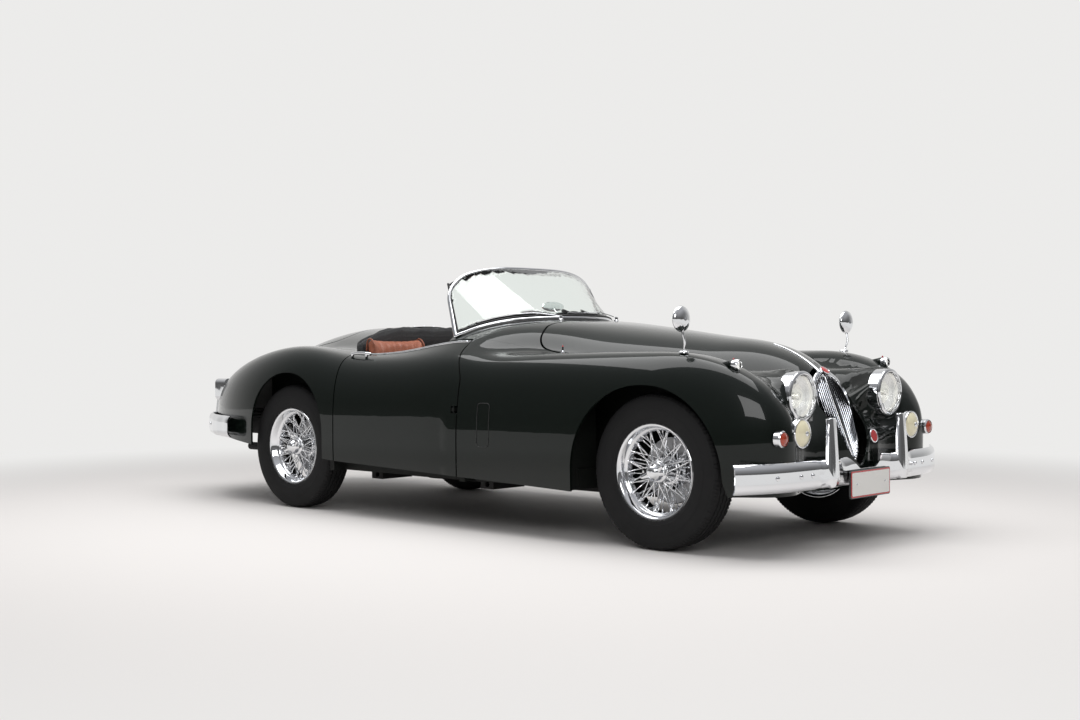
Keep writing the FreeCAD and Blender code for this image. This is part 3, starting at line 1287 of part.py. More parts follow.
# Lid hinges: cross pins under the bonnet's rear edge and under the boot lid's front edge
LID_HINGE_IN = 80.0
LID_HINGE_DOWN = 26.0
LID_HINGE_Y = 90.0
LID_EYE_RADIUS = 7.0
LID_PIN_RADIUS = 4.0
LID_STRAP = 14.0
bonnet_hinge_x = BONNET_REAR_X + BONNET_GAP / 2 + LID_HINGE_IN
bonnet_hinge_z = surface_z(bonnet_hinge_x, 0) - LID_HINGE_DOWN
boot_hinge_x = LID_FRONT_X - BONNET_GAP / 2 - LID_HINGE_IN
boot_hinge_z = surface_z(boot_hinge_x, 0) - LID_HINGE_DOWN


def lid_bracket(from_x, pin_x, pin_z, hand):
    """The goose-neck strap from the bulkhead to a lid hinge's pin."""
    way = 1 if pin_x > from_x else -1
    low_z = pin_z - LID_HINGE_IN
    line = [(from_x, low_z), (pin_x + way * LID_EYE_RADIUS, low_z), (pin_x, pin_z)]
    strap = prism(band(line, LID_EYE_RADIUS * 1.4), "xz", LID_HINGE_Y - LID_STRAP / 2,
                  LID_HINGE_Y + LID_STRAP / 2)
    eye = rod(V(pin_x, LID_HINGE_Y - LID_STRAP / 2, pin_z), V(pin_x, LID_HINGE_Y + LID_STRAP / 2, pin_z),
              LID_EYE_RADIUS)
    hole = rod(V(pin_x, LID_HINGE_Y - LID_STRAP, pin_z), V(pin_x, LID_HINGE_Y + LID_STRAP, pin_z),
               LID_PIN_RADIUS + SEAT_GAP)
    bracket = fused([strap, eye]).cut(hole)
    return bracket if hand > 0 else mirrored(bracket)


def lid_lugs(pin_x, pin_z):
    """A lid's two pairs of lugs, each with its pin, cut to the underside of the skin."""
    pieces = []
    half = LID_STRAP / 2 + POST_CLEAR / 2
    for y0, y1 in ((LID_HINGE_Y - half - PANEL, LID_HINGE_Y - half),
                   (LID_HINGE_Y + half, LID_HINGE_Y + half + PANEL)):
        pieces.append(box(pin_x - 2 * LID_PIN_RADIUS, pin_x + 2 * LID_PIN_RADIUS, y0, y1,
                          pin_z - 1.5 * LID_PIN_RADIUS, pin_z + LID_HINGE_DOWN))
    pin = rod(V(pin_x, LID_HINGE_Y - half - PANEL, pin_z), V(pin_x, LID_HINGE_Y + half + PANEL, pin_z),
              LID_PIN_RADIUS)
    lugs = fused(pieces + [pin]).common(OUTER)
    return [lugs, mirrored(lugs)]


# Steering column and cockpit pieces
COLUMN_Y = 330.0
COLUMN_RADIUS = 18.0
WHEEL_CENTRE_X = -330.0
WHEEL_CENTRE_Z = 800.0
COLUMN_DROP = 300.0
COLUMN_RUN = 720.0
STEERING_RADIUS = 205.0
STEERING_GRIP = 11.0


def column_z(x):
    """Height of the column's axis at a place along the car."""
    return WHEEL_CENTRE_Z - (x - WHEEL_CENTRE_X) * COLUMN_DROP / COLUMN_RUN


COLUMN_AXIS = V(COLUMN_RUN, 0, -COLUMN_DROP)
COLUMN_AXIS.normalize()
COLUMN_TOP = V(WHEEL_CENTRE_X, COLUMN_Y, WHEEL_CENTRE_Z)
COLUMN_FOOT_X = 590.0
HUB_DEPTH = 34.0


def make_controls():
    """The fixed column with its switch stalk, the three pedals, the gear lever and the handbrake."""
    start = COLUMN_TOP + COLUMN_AXIS * (HUB_DEPTH + RUNNING_GAP)
    foot = V(COLUMN_FOOT_X, COLUMN_Y, column_z(COLUMN_FOOT_X))
    column = rod(start, foot, COLUMN_RADIUS)
    pieces = [fused([column, rod(start + COLUMN_AXIS * HUB_DEPTH,
                                 start + COLUMN_AXIS * HUB_DEPTH + V(0, 120, 24), 4)])]
    floor_top = FLOOR_Z + PANEL + SEAT_GAP
    lever = fused([rod(V(LEVER_X, 0, TUNNEL_TOP_Z + PANEL + SEAT_GAP),
                       V(LEVER_X, 0, TUNNEL_TOP_Z + PANEL + 14), 34),
                   rod(V(LEVER_X, 0, TUNNEL_TOP_Z + PANEL + 10), V(LEVER_X - 30, 0, TUNNEL_TOP_Z + 150), 6),
                   Part.makeSphere(19, V(LEVER_X - 32, 0, TUNNEL_TOP_Z + 160))])
    pieces.append(lever)
    for y in (COLUMN_Y - 90, COLUMN_Y - 20, COLUMN_Y + 55):
        arm = prism(band([(FIREWALL_X - SEAT_GAP, floor_top + 190), (FIREWALL_X - 40, floor_top + 190),
                          (FIREWALL_X - 100, floor_top + 40)], 12), "xz", y - 6, y + 6)
        pad = box(FIREWALL_X - 114, FIREWALL_X - 102, y - 24, y + 24, floor_top + 14, floor_top + 84)
        pieces.append(fused([arm, pad]))
    brake = fused([box(LEVER_X - 120, LEVER_X - 20, TUNNEL_HALF + PANEL + SEAT_GAP,
                       TUNNEL_HALF + PANEL + 22, floor_top, floor_top + 60),
                   rod(V(LEVER_X - 60, TUNNEL_HALF + PANEL + 11, floor_top + 50),
                       V(LEVER_X - 300, TUNNEL_HALF + PANEL + 11, floor_top + 140), 9)])
    pieces.append(brake)
    return Part.makeCompound(pieces)


LEVER_X = 60.0


def make_steering_wheel():
    """Rim, four sprung spokes and hub, square to the column."""
    rim = Part.makeTorus(STEERING_RADIUS, STEERING_GRIP, COLUMN_TOP, COLUMN_AXIS)
    hub = turned([(-16, 0), (-10, 30), (0, 42), (10, 42), (HUB_DEPTH, COLUMN_RADIUS), (HUB_DEPTH, 0)],
                 COLUMN_TOP, COLUMN_AXIS)
    across = V(0, 1, 0)
    up = COLUMN_AXIS.cross(across)
    spokes = []
    for degrees in (15, 165, 195, 345):
        a = math.radians(degrees)
        way = across * math.cos(a) + up * math.sin(a)
        spokes.append(rod(COLUMN_TOP + COLUMN_AXIS * 6 + way * 30, COLUMN_TOP + way * STEERING_RADIUS, 6))
    return fused([rim, hub] + spokes)


DASH_X = 52.0
DASH_DEPTH = 56.0
DASH_LOW_Z = 742.0
DASH_HALF = 590.0


def make_dashboard():
    board = prism([(-DASH_HALF, DASH_LOW_Z + 60, 60), (-DASH_HALF, ABOVE, 0), (DASH_HALF, ABOVE, 0),
                   (DASH_HALF, DASH_LOW_Z + 60, 60),
                   (DASH_HALF * 0.5, DASH_LOW_Z, 90), (-DASH_HALF * 0.5, DASH_LOW_Z, 90)], "yz", DASH_X,
                  DASH_X + DASH_DEPTH).common(ROOM)
    column = rod(V(DASH_X - OVERRUN, COLUMN_Y, column_z(DASH_X - OVERRUN)),
                 V(DASH_X + DASH_DEPTH + OVERRUN, COLUMN_Y, column_z(DASH_X + DASH_DEPTH + OVERRUN)),
                 COLUMN_RADIUS + SEAT_GAP)
    return board.cut(column)


SEAT_IN_Y = 146.0
SEAT_OUT_Y = 538.0
SEAT_FRONT_X = -330.0
SEAT_BACK_X = -800.0
SEAT_TOP_Z = 455.0
BACK_TOP_Z = 850.0


def make_seats():
    """Two cushions and two raked backs."""
    low = FLOOR_Z + PANEL + SEAT_GAP
    cushion = prism([(SEAT_FRONT_X, low, 20), (SEAT_FRONT_X + 20, SEAT_TOP_Z, 50),
                     (SEAT_BACK_X + 40, SEAT_TOP_Z - 45, 20), (SEAT_BACK_X, low, 20)], "xz",
                    SEAT_IN_Y, SEAT_OUT_Y)
    back = prism([(SEAT_BACK_X - 10, low + 30, 30), (SEAT_BACK_X + 34, SEAT_TOP_Z - 40, 10),
                  (SEAT_BACK_X - 24, BACK_TOP_Z, 45), (BULKHEAD_X + 50, BACK_TOP_Z - 10, 45),
                  (BULKHEAD_X + SEAT_GAP + 2, low + 150, 30), (BULKHEAD_X + SEAT_GAP + 2, low, 5),
                  (SEAT_BACK_X - 10, low, 5)], "xz", SEAT_IN_Y, SEAT_OUT_Y)
    back = back.cut(prism([(SEAT_FRONT_X, low, 20), (SEAT_FRONT_X + 20, SEAT_TOP_Z, 50),
                           (SEAT_BACK_X + 40, SEAT_TOP_Z - 45, 20), (SEAT_BACK_X, low, 20)], "xz",
                          0, FAR_SIDE, SEAT_GAP))
    return Part.makeCompound([cushion, mirrored(cushion), solids_over(back), mirrored(solids_over(back))])


HOOD_HALF = 545.0


def make_hood():
    """The folded hood, laid behind the seats over the front of the deck."""
    z = surface_z(COCKPIT_REAR_X, 0)
    roll = prism([(-HOOD_HALF, z - 140, 20), (HOOD_HALF, z - 140, 20), (HOOD_HALF, z - 84, 40),
                  (HOOD_HALF * 0.5, z + 8, 200), (-HOOD_HALF * 0.5, z + 8, 200),
                  (-HOOD_HALF, z - 84, 40)], "yz", BULKHEAD_X + SEAT_GAP * 2, BULKHEAD_X + 84)
    return solids_over(roll.cut(plan_prism(deck_outline, SEAT_GAP)))


# Windscreen: base and top curves bowed forward in plan
SCREEN_HALF = 600.0
SCREEN_BASE_X = 226.0
SCREEN_BASE_END_X = -97.0
SCREEN_BASE_RISE = 12.0
SCREEN_TOP_HALF = 565.0
SCREEN_TOP_X = -120.0
SCREEN_TOP_END_X = -200.0
SCREEN_TOP_Z = 1316.0
SCREEN_TOP_END_Z = 1222.0
GLASS = 6.0
FRAME_RADIUS = 10.0
SCREEN_STEPS = 14
screen_bow_share = 2.3
screen_brow_share = 4.0


def screen_point(t, height):
    """A point of the screen: t from -1 to 1 across, height 0 at its base to 1 at its top."""
    bow = abs(t) ** screen_bow_share
    x = SCREEN_BASE_X - (SCREEN_BASE_X - SCREEN_BASE_END_X) * bow
    base = V(x, SCREEN_HALF * t, surface_z(x, SCREEN_HALF * t) + SCREEN_BASE_RISE)
    top = V(SCREEN_TOP_X - (SCREEN_TOP_X - SCREEN_TOP_END_X) * bow, SCREEN_TOP_HALF * t,
            SCREEN_TOP_Z - (SCREEN_TOP_Z - SCREEN_TOP_END_Z) * abs(t) ** screen_brow_share)
    return base + (top - base) * height


def screen_tubes(radius):
    """The hoop over the glass and the rail along its foot."""
    middle = V(GLASS / 2, 0, 0)
    sides = (0, 0.86)
    across = [screen_point(-1 + 2 * i / SCREEN_STEPS, 1) + middle for i in range(1, SCREEN_STEPS)]
    points = [screen_point(-1, h) + middle for h in sides] + across
    points += [screen_point(1, h) + middle for h in reversed(sides)]
    foot = [screen_point(-1 + 2 * i / SCREEN_STEPS, 0) + middle for i in range(SCREEN_STEPS + 1)]
    return [tube_through(points, radius), tube_through(foot, radius)]


def make_glass():
    edge = FRAME_RADIUS / SCREEN_HALF
    wires = []
    for i in range(SCREEN_STEPS + 1):
        t = (-1 + 2 * i / SCREEN_STEPS) * (1 - edge)
        low = screen_point(t, 0)
        high = screen_point(t, 1)
        thick = V(GLASS, 0, 0)
        wires.append(Part.makePolygon([low, high, high + thick, low + thick, low]))
    glass = Part.makeLoft(wires, True, False).cut([OUTER_GROWN] + screen_tubes(FRAME_RADIUS + SEAT_GAP))
    return max(glass.Solids, key=lambda solid: solid.Volume)


def make_screen_frame():
    """The frame round the glass, standing on the scuttle."""
    middle = V(GLASS / 2, 0, 0)
    ends = [Part.makeSphere(FRAME_RADIUS, screen_point(t, 0) + middle) for t in (-1, 1)]
    return solids_over(fused(screen_tubes(FRAME_RADIUS) + ends).cut(OUTER_GROWN))


# Grille: an egg-shaped surround with upright bars
BAR_WIDTH = 5.0
BAR_DEPTH = 16.0
BARS = 15


def grille_x(z):
    """How far forward the grille's leaning plane lies at a height."""
    share = (z - GRILLE_LOW_Z) / (GRILLE_TOP_Z - GRILLE_LOW_Z)
    return GRILLE_LOW_X + (GRILLE_TOP_X - GRILLE_LOW_X) * share


def leaning_egg(grow):
    """The grille's outline on its own leaning plane."""
    curve = Part.BSplineCurve()
    curve.interpolate([V(grille_x(p.z), p.y, p.z) for p in egg_points(0, grow)], PeriodicFlag=True)
    return Part.Wire(curve.toShape())


surround_share = 1.5


def make_grille():
    lean = V(GRILLE_TOP_X - GRILLE_LOW_X, 0, GRILLE_TOP_Z - GRILLE_LOW_Z)
    lean.normalize()
    ahead = V(lean.z, 0, -lean.x)
    disc = Part.Face(leaning_egg(SURROUND))
    disc.translate(ahead * -SURROUND)
    hole = Part.Face(leaning_egg(-SURROUND))
    hole.translate(ahead * (-3 * SURROUND))
    pieces = [disc.extrude(ahead * (SURROUND * surround_share)).cut(hole.extrude(ahead * (6 * SURROUND)))]
    for i in range(BARS):
        share = (i - (BARS - 1) / 2) / ((BARS + 1) / 2)
        heights = range_between(GRILLE_LOW_Z, GRILLE_TOP_Z, 160)
        reach = [z for z in heights if grille_half_width(z) >= abs(share) * GRILLE_HALF * width_at(z)]
        wires = []
        for z in range_between(reach[0], reach[-1], 4):
            y = share * GRILLE_HALF * width_at(z)
            x = grille_x(z)
            wires.append(Part.makePolygon([V(x - BAR_DEPTH / 2, y - BAR_WIDTH / 2, z),
                                           V(x + BAR_DEPTH / 2, y, z),
                                           V(x - BAR_DEPTH / 2, y + BAR_WIDTH / 2, z),
                                           V(x - BAR_DEPTH / 2, y - BAR_WIDTH / 2, z)]))
        pieces.append(Part.makeLoft(wires, True, False))
    return fused(pieces)


def range_between(low, high, count):
    return [low + (high - low) * i / count for i in range(count + 1)]


fan_share = 0.62


def width_at(z):
    """How far the bars spread at a height, one at the widest place."""
    share = (z - GRILLE_LOW_Z) / (GRILLE_TOP_Z - GRILLE_LOW_Z)
    if share < 0.6:
        return fan_share + (1 - fan_share) * min(1.0, share / 0.6)
    return 1.0 - 0.2 * (share - 0.6) / 0.4


# Bumpers
BLADE_HALF_HEIGHT = 62.0
BLADE_PLATE = 7.0
BLADE_Z = 346.0
REAR_BLADE_Z = 440.0
BLADE_END_Y = 832.0
BUMPER_FACE_X = 1934.0
BLADE_BACK = 120.0
blade_shares = [(0.0, 1.0), (0.30, 0.85), (0.50, 0.60), (0.52, 0.30), (0.50, 0.0), (0.52, -0.30),
                (0.50, -0.60), (0.30, -0.85), (0.0, -1.0)]
BLADE_BULGE = 36.0
OVERRIDER_Y = 300.0
OVERRIDER_HALF = 25.0
OVERRIDER_TOP_Z = 587.0
OVERRIDER_LOW_Z = 284.0
front_blade_shares = [(0.0, 0.0), (0.22, 0.0), (0.40, 0.02), (0.60, 0.09), (0.72, 0.19), (0.84, 0.42),
                      (0.93, 0.70), (1.0, 1.0)]


def blade(path, z):
    """A bumper blade: one ribbed pressing swept along a plan curve of (x, y, way out) places."""
    wires = []
    for x, y, way in path:
        out = V(way[0], way[1], 0)
        out.normalize()
        back_half = BLADE_HALF_HEIGHT - BLADE_PLATE / 2
        rows = [V(x, y, z) + out * (b * BLADE_BULGE) + V(0, 0, h * BLADE_HALF_HEIGHT)
                for b, h in blade_shares]
        rows += [V(x, y, z) + out * (b * BLADE_BULGE - BLADE_PLATE) + V(0, 0, h * back_half)
                 for b, h in reversed(blade_shares)]
        wires.append(Part.makePolygon(rows + rows[:1]))
    return Part.makeLoft(wires, True, False)


BLADE_STEPS = 32


def plan_path(points):
    """Even places on a smooth plan curve through the points, each with the way out of the curve."""
    curve = Part.BSplineCurve()
    curve.interpolate([V(x, y, 0) for x, y in points])
    places = curve.discretize(Number=BLADE_STEPS + 1)
    path = []
    for i, place in enumerate(places):
        along = places[min(i + 1, BLADE_STEPS)] - places[max(i - 1, 0)]
        path.append((place.x, place.y, (along.y, -along.x)))
    return path


def front_blade_points():
    half = [(BUMPER_FACE_X - BLADE_BULGE / 2 - share * BLADE_BACK, y * BLADE_END_Y) for y,
            share in front_blade_shares]
    return [(x, -y) for x, y in reversed(half[1:])] + half


def overrider(face_x, low_z, top_z, depth):
    """A tall tapered overrider, leaning back a little, seen from the side and rounded."""
    lean = depth * 0.45
    profile = [(face_x - depth, low_z + depth / 8, depth / 8), (face_x - depth / 4, low_z, depth / 4),
               (face_x, low_z + depth, depth / 2), (face_x - lean, top_z, depth / 8),
               (face_x - depth * 0.95, top_z - depth / 8, depth / 8),
               (face_x - depth * 0.9, low_z + depth * 2, 20)]
    body = prism(profile, "xz", -OVERRIDER_HALF, OVERRIDER_HALF)
    return body


def make_front_bumper():
    bar = blade(plan_path(front_blade_points()), BLADE_Z)
    dip = prism([(-DIP_HALF, BLADE_Z + 4 * BLADE_HALF_HEIGHT, 0),
                 (-DIP_HALF, BLADE_Z + BLADE_HALF_HEIGHT + 1, 0), (-DIP_HALF * 0.45, BLADE_Z + 8, 24),
                 (DIP_HALF * 0.45, BLADE_Z + 8, 24),
                 (DIP_HALF, BLADE_Z + BLADE_HALF_HEIGHT + 1, 0),
                 (DIP_HALF, BLADE_Z + 4 * BLADE_HALF_HEIGHT, 0)], "yz", BUMPER_FACE_X - 3 * BLADE_BACK,
                FRONT_REACH + OVERRUN)
    bar = bar.cut(dip)
    pieces = [bar]
    for y in (-OVERRIDER_Y, OVERRIDER_Y):
        horn = overrider(FRONT_REACH, OVERRIDER_LOW_Z, OVERRIDER_TOP_Z,
                         FRONT_REACH - BUMPER_FACE_X + BLADE_BULGE / 2)
        horn.translate(V(0, y, 0))
        pieces.append(horn)
    for y in (-RAIL_Y, RAIL_Y):
        pieces.append(box(RAIL_FRONT_X + SEAT_GAP, BUMPER_FACE_X - BLADE_PLATE / 2, y - IRON_HALF_WIDTH,
                          y + IRON_HALF_WIDTH, RAIL_NOSE_Z - IRON_HALF_HEIGHT,
                          RAIL_NOSE_Z + IRON_HALF_HEIGHT))
    return fused(pieces)


DIP_HALF = 150.0
IRON_HALF_WIDTH = 8.0
IRON_HALF_HEIGHT = 24.0
REAR_FACE_X = -2462.0
REAR_BLADE_END_X = -1800.0
REAR_BLADE_END_Y = 806.0
rear_blade_shares = [(0.0, 0.0), (0.25, 0.005), (0.50, 0.03), (0.62, 0.10), (0.744, 0.26), (0.806, 0.40),
                     (0.868, 0.54), (0.93, 0.72), (1.0, 1.0)]


def make_rear_bumper():
    span = REAR_BLADE_END_X - REAR_FACE_X
    half = [(REAR_FACE_X + BLADE_BULGE / 2 + share * span, y * REAR_BLADE_END_Y) for y,
            share in rear_blade_shares]
    points = [(x, y) for x, y in reversed(half[1:])] + [(x, -y) for x, y in half]
    pieces = [blade(plan_path(points), REAR_BLADE_Z)]
    bend = spline(rear_blade_shares)(REAR_OVERRIDER_Y / REAR_BLADE_END_Y)
    depth = REAR_REACH + REAR_FACE_X + BLADE_BULGE / 2 + (REAR_BLADE_END_X - REAR_FACE_X) * bend
    for y in (-REAR_OVERRIDER_Y, REAR_OVERRIDER_Y):
        horn = overrider(REAR_REACH, REAR_BLADE_Z - BLADE_HALF_HEIGHT * 1.1, REAR_OVERRIDER_TOP_Z, depth)
        horn = horn.mirror(V(0, 0, 0), V(1, 0, 0))
        horn.translate(V(0, y, 0))
        pieces.append(horn)
    for y in (-RAIL_Y, RAIL_Y):
        pieces.append(box(REAR_FACE_X + BLADE_BULGE / 2, RAIL_REAR_X - SEAT_GAP, y - IRON_HALF_WIDTH,
                          y + IRON_HALF_WIDTH, RAIL_TAIL_Z - IRON_HALF_HEIGHT,
                          RAIL_TAIL_Z + IRON_HALF_HEIGHT))
    return fused(pieces)


REAR_OVERRIDER_Y = 400.0
REAR_OVERRIDER_TOP_Z = 620.0


def iron_holes():
    """Slots in the skins where the bumper irons pass."""
    holes = []
    for x0, x1, z in ((RAIL_FRONT_X - OVERRUN, FAR_FRONT, RAIL_NOSE_Z),
                      (FAR_REAR, RAIL_REAR_X + OVERRUN, RAIL_TAIL_Z)):
        hole = box(x0, x1, RAIL_Y - IRON_HALF_WIDTH - SEAT_GAP, RAIL_Y + IRON_HALF_WIDTH + SEAT_GAP,
                   z - IRON_HALF_HEIGHT - SEAT_GAP, z + IRON_HALF_HEIGHT + SEAT_GAP)
        holes += [hole, mirrored(hole)]
    return holes


# Lamps
LENS_RADIUS = 92.0
FOG_X = 1893.0
FOG_Y = 467.0
FOG_Z = 525.0
FOG_RADIUS = 62.0
FOG_DEPTH = 74.0
INDICATOR_Y = 620.0
INDICATOR_Z = 508.0
INDICATOR_RADIUS = 36.0
SIDE_LAMP_X = 1660.0
SIDE_LAMP_Y = 625.0
SIDE_LAMP_RADIUS = 24.0
TAIL_LAMP_Y = 560.0
TAIL_LAMP_Z = 650.0


def surface_x(y, z, way):
    """Where the body's nose (way 1) or tail (way -1) lies at a height and side."""
    x = way * (REAR_REACH + RAY_STEP)
    while body_form(x, y, z) > 0 and x * way > 0:
        x -= way * RAY_STEP / 4
    outer = x + way * RAY_STEP / 4
    for _ in range(RAY_HALVINGS):
        mid = (x + outer) / 2
        if body_form(mid, y, z) > 0:
            outer = mid
        else:
            x = mid
    return x


def make_lamp_rims():
    """Deep headlamp rims with their bowls, indicator, side and tail lamp bodies."""
    back = LAMP_FACE_X - RIM_DEPTH + SEAT_GAP
    d = LAMP_FACE_X - back
    head = turned([(0, 0), (0, RIM_RADIUS), (d - 6, RIM_RADIUS), (d, RIM_RADIUS - 6),
                   (d + 4, LENS_RADIUS + 4), (d, LENS_RADIUS + SEAT_GAP), (d - 14, LENS_RADIUS + SEAT_GAP),
                   (14, 40), (10, 0)], V(back, LAMP_OFFSET, LAMP_HEIGHT), V(1, 0, 0))
    x = surface_x(INDICATOR_Y, INDICATOR_Z, 1)
    turn_signal = turned([(0, 0), (0, INDICATOR_RADIUS), (26, INDICATOR_RADIUS), (32, INDICATOR_RADIUS - 5),
                          (20, INDICATOR_RADIUS - 7), (20, 0)],
                         V(x + SEAT_GAP, INDICATOR_Y, INDICATOR_Z), V(1, 0, 0)).cut(OUTER)
    z = surface_z(SIDE_LAMP_X, SIDE_LAMP_Y)
    side_lamp = turned([(-90, 0), (-60, SIDE_LAMP_RADIUS * 0.55), (-20, SIDE_LAMP_RADIUS * 0.92),
                        (0, SIDE_LAMP_RADIUS), (16, SIDE_LAMP_RADIUS), (22, SIDE_LAMP_RADIUS - 4),
                        (10, SIDE_LAMP_RADIUS - 5), (10, 0)],
                       V(SIDE_LAMP_X, SIDE_LAMP_Y, z + SIDE_LAMP_RADIUS * 0.6), V(1, 0, 0)).cut(OUTER)
    x = surface_x(TAIL_LAMP_Y, TAIL_LAMP_Z, -1)
    tail_lamp = prism([(TAIL_LAMP_Y - 30, TAIL_LAMP_Z - 70, 28), (TAIL_LAMP_Y + 30, TAIL_LAMP_Z - 70, 28),
                       (TAIL_LAMP_Y + 30, TAIL_LAMP_Z + 62, 28),
                       (TAIL_LAMP_Y - 30, TAIL_LAMP_Z + 62, 28)], "yz", x - 40, x + 60).cut(OUTER_GROWN)
    return both_sides(Part.makeCompound([head, solids_over(turn_signal), solids_over(side_lamp),
                                         solids_over(tail_lamp)]))


def make_lamp_glasses():
    back = LAMP_FACE_X - 13
    lens = turned([(0, 0), (0, LENS_RADIUS), (12, LENS_RADIUS), (22, LENS_RADIUS * 0.8),
                   (30, LENS_RADIUS * 0.45), (33, 0)], V(back, LAMP_OFFSET, LAMP_HEIGHT), V(1, 0, 0))
    x = surface_x(INDICATOR_Y, INDICATOR_Z, 1) + SEAT_GAP
    r = INDICATOR_RADIUS - 7 - SEAT_GAP
    turn_signal = turned([(0, 0), (0, r), (10, r), (18, r * 0.6), (21, 0)],
                         V(x + 20 + SEAT_GAP, INDICATOR_Y, INDICATOR_Z), V(1, 0, 0))
    z = surface_z(SIDE_LAMP_X, SIDE_LAMP_Y)
    r = SIDE_LAMP_RADIUS - 5 - SEAT_GAP
    side_lamp = turned([(0, 0), (0, r), (9, r), (16, r * 0.6), (19, 0)],
                       V(SIDE_LAMP_X + 10 + SEAT_GAP, SIDE_LAMP_Y, z + SIDE_LAMP_RADIUS * 0.6), V(1, 0, 0))
    return both_sides(Part.makeCompound([lens, turn_signal, side_lamp]))


def make_fog_lamps():
    bowl = turned([(0, 0), (4, FOG_RADIUS * 0.5), (28, FOG_RADIUS * 0.9), (48, FOG_RADIUS),
                   (56, FOG_RADIUS), (66, FOG_RADIUS * 0.8), (FOG_DEPTH, FOG_RADIUS * 0.35), (FOG_DEPTH, 0)],
                  V(FOG_X - FOG_DEPTH, FOG_Y, FOG_Z), V(1, 0, 0))
    foot = rod(V(FOG_X - FOG_DEPTH * 0.45, FOG_Y, BLADE_Z + BLADE_HALF_HEIGHT),
               V(FOG_X - FOG_DEPTH * 0.45, FOG_Y, FOG_Z), 7)
    blade_at = front_blade_x(FOG_Y)
    shelf = box(blade_at - 46, FOG_X - FOG_DEPTH * 0.3, FOG_Y - 16, FOG_Y + 16,
                BLADE_Z + BLADE_HALF_HEIGHT + SEAT_GAP, BLADE_Z + BLADE_HALF_HEIGHT + 5)
    return both_sides(fused([bowl, foot, shelf]).cut(OUTER_GROWN))


def front_blade_x(y):
    place = spline([(a * BLADE_END_Y, b) for a, b in front_blade_shares])
    return BUMPER_FACE_X - BLADE_BULGE / 2 - place(abs(y)) * BLADE_BACK


MIRROR_X = 1414.0
MIRROR_Y = 660.0
MIRROR_RADIUS = 58.0
MIRROR_RISE = 150.0


MIRROR_FOOT_HEIGHT = 10.0
MIRROR_FOOT_RADIUS = 22.0
MIRROR_ARM_RADIUS = 5.0
MIRROR_OUT = 20.0
MIRROR_LIP = 6.0


def make_mirrors():
    """Round wing mirrors on curved arms."""
    z = surface_z(MIRROR_X, MIRROR_Y)
    top = MIRROR_FOOT_HEIGHT
    foot = rod(V(MIRROR_X, MIRROR_Y, z + SEAT_GAP), V(MIRROR_X, MIRROR_Y, z + top), MIRROR_FOOT_RADIUS)
    out = MIRROR_OUT
    post_x = MIRROR_X + MIRROR_LIP
    stem = tube_through([V(MIRROR_X, MIRROR_Y, z + top * 0.4),
                         V(MIRROR_X + out * 0.8, MIRROR_Y + out * 0.6, z + MIRROR_RISE * 0.3),
                         V(post_x, MIRROR_Y + out * 0.9, z + MIRROR_RISE * 0.62)], MIRROR_ARM_RADIUS)
    centre = V(MIRROR_X, MIRROR_Y + out, z + MIRROR_RISE)
    head = turned([(-MIRROR_LIP, 0), (-MIRROR_LIP, MIRROR_RADIUS - MIRROR_LIP / 2), (0, MIRROR_RADIUS),
                   (out * 0.4, MIRROR_RADIUS * 0.94), (out, MIRROR_RADIUS * 0.6), (out + MIRROR_LIP, 0)],
                  centre, V(1, 0, 0))
    post = rod(V(post_x, MIRROR_Y + out * 0.9, z + MIRROR_RISE * 0.6),
               V(post_x, MIRROR_Y + out, z + MIRROR_RISE), MIRROR_ARM_RADIUS)
    return both_sides(fused([foot.cut(OUTER_GROWN), stem.cut(OUTER_GROWN), head, post]))


HANDLE_REAR_X = -790.0
HANDLE_LENGTH = 150.0
HANDLE_RADIUS = 8.0


def make_brightwork():
    """The left door's pull handle and the capping strip along its top."""
    strip_y = DOOR_INNER_Y + 12
    xs = range_between(DOOR_REAR_X + 2 * SHUT_GAP, DOOR_FRONT_X - DOOR_LEAN - 2 * SHUT_GAP, 12)
    line = [V(x, strip_y, surface_z(x, strip_y) + SEAT_GAP) for x in xs]
    strip = solids_over(tube_through(line, STRIP_RADIUS).cut(OUTER_GROWN))
    y = DOOR_INNER_Y + 82
    z = surface_z(HANDLE_REAR_X, y)
    feet = []
    for x in (HANDLE_REAR_X, HANDLE_REAR_X + HANDLE_LENGTH * 0.78):
        feet.append(rod(V(x, y, surface_z(x, y) - HANDLE_RADIUS), V(x, y, z + 3 * HANDLE_RADIUS),
                        HANDLE_RADIUS))
    grip = tube_through([V(HANDLE_REAR_X - HANDLE_RADIUS, y, z + 2.5 * HANDLE_RADIUS),
                         V(HANDLE_REAR_X + HANDLE_LENGTH * 0.4, y, z + 3.5 * HANDLE_RADIUS),
                         V(HANDLE_REAR_X + HANDLE_LENGTH, y, z + 2.5 * HANDLE_RADIUS)], HANDLE_RADIUS)
    handle = fused([grip] + feet).cut(OUTER_GROWN)
    return Part.makeCompound([strip, solids_over(handle)])


STRIP_RADIUS = 6.0
EXHAUST_Y = -250.0
EXHAUST_Z = 204.0
EXHAUST_RADIUS = 24.0
EXHAUST_WALL = 3.0
EXHAUST_HEAD_X = 600.0
EXHAUST_HEAD_Y = -140.0
EXHAUST_HEAD_Z = 262.0
EXHAUST_TURN_X = 300.0
EXHAUST_DROP = 305.0
EXHAUST_TAIL_X = -2360.0
EXHAUST_TAIL_Z = 276.0
SILENCER_RADIUS = 34.0
SILENCER_LENGTH = 520.0
SILENCER_REAR_X = -700.0


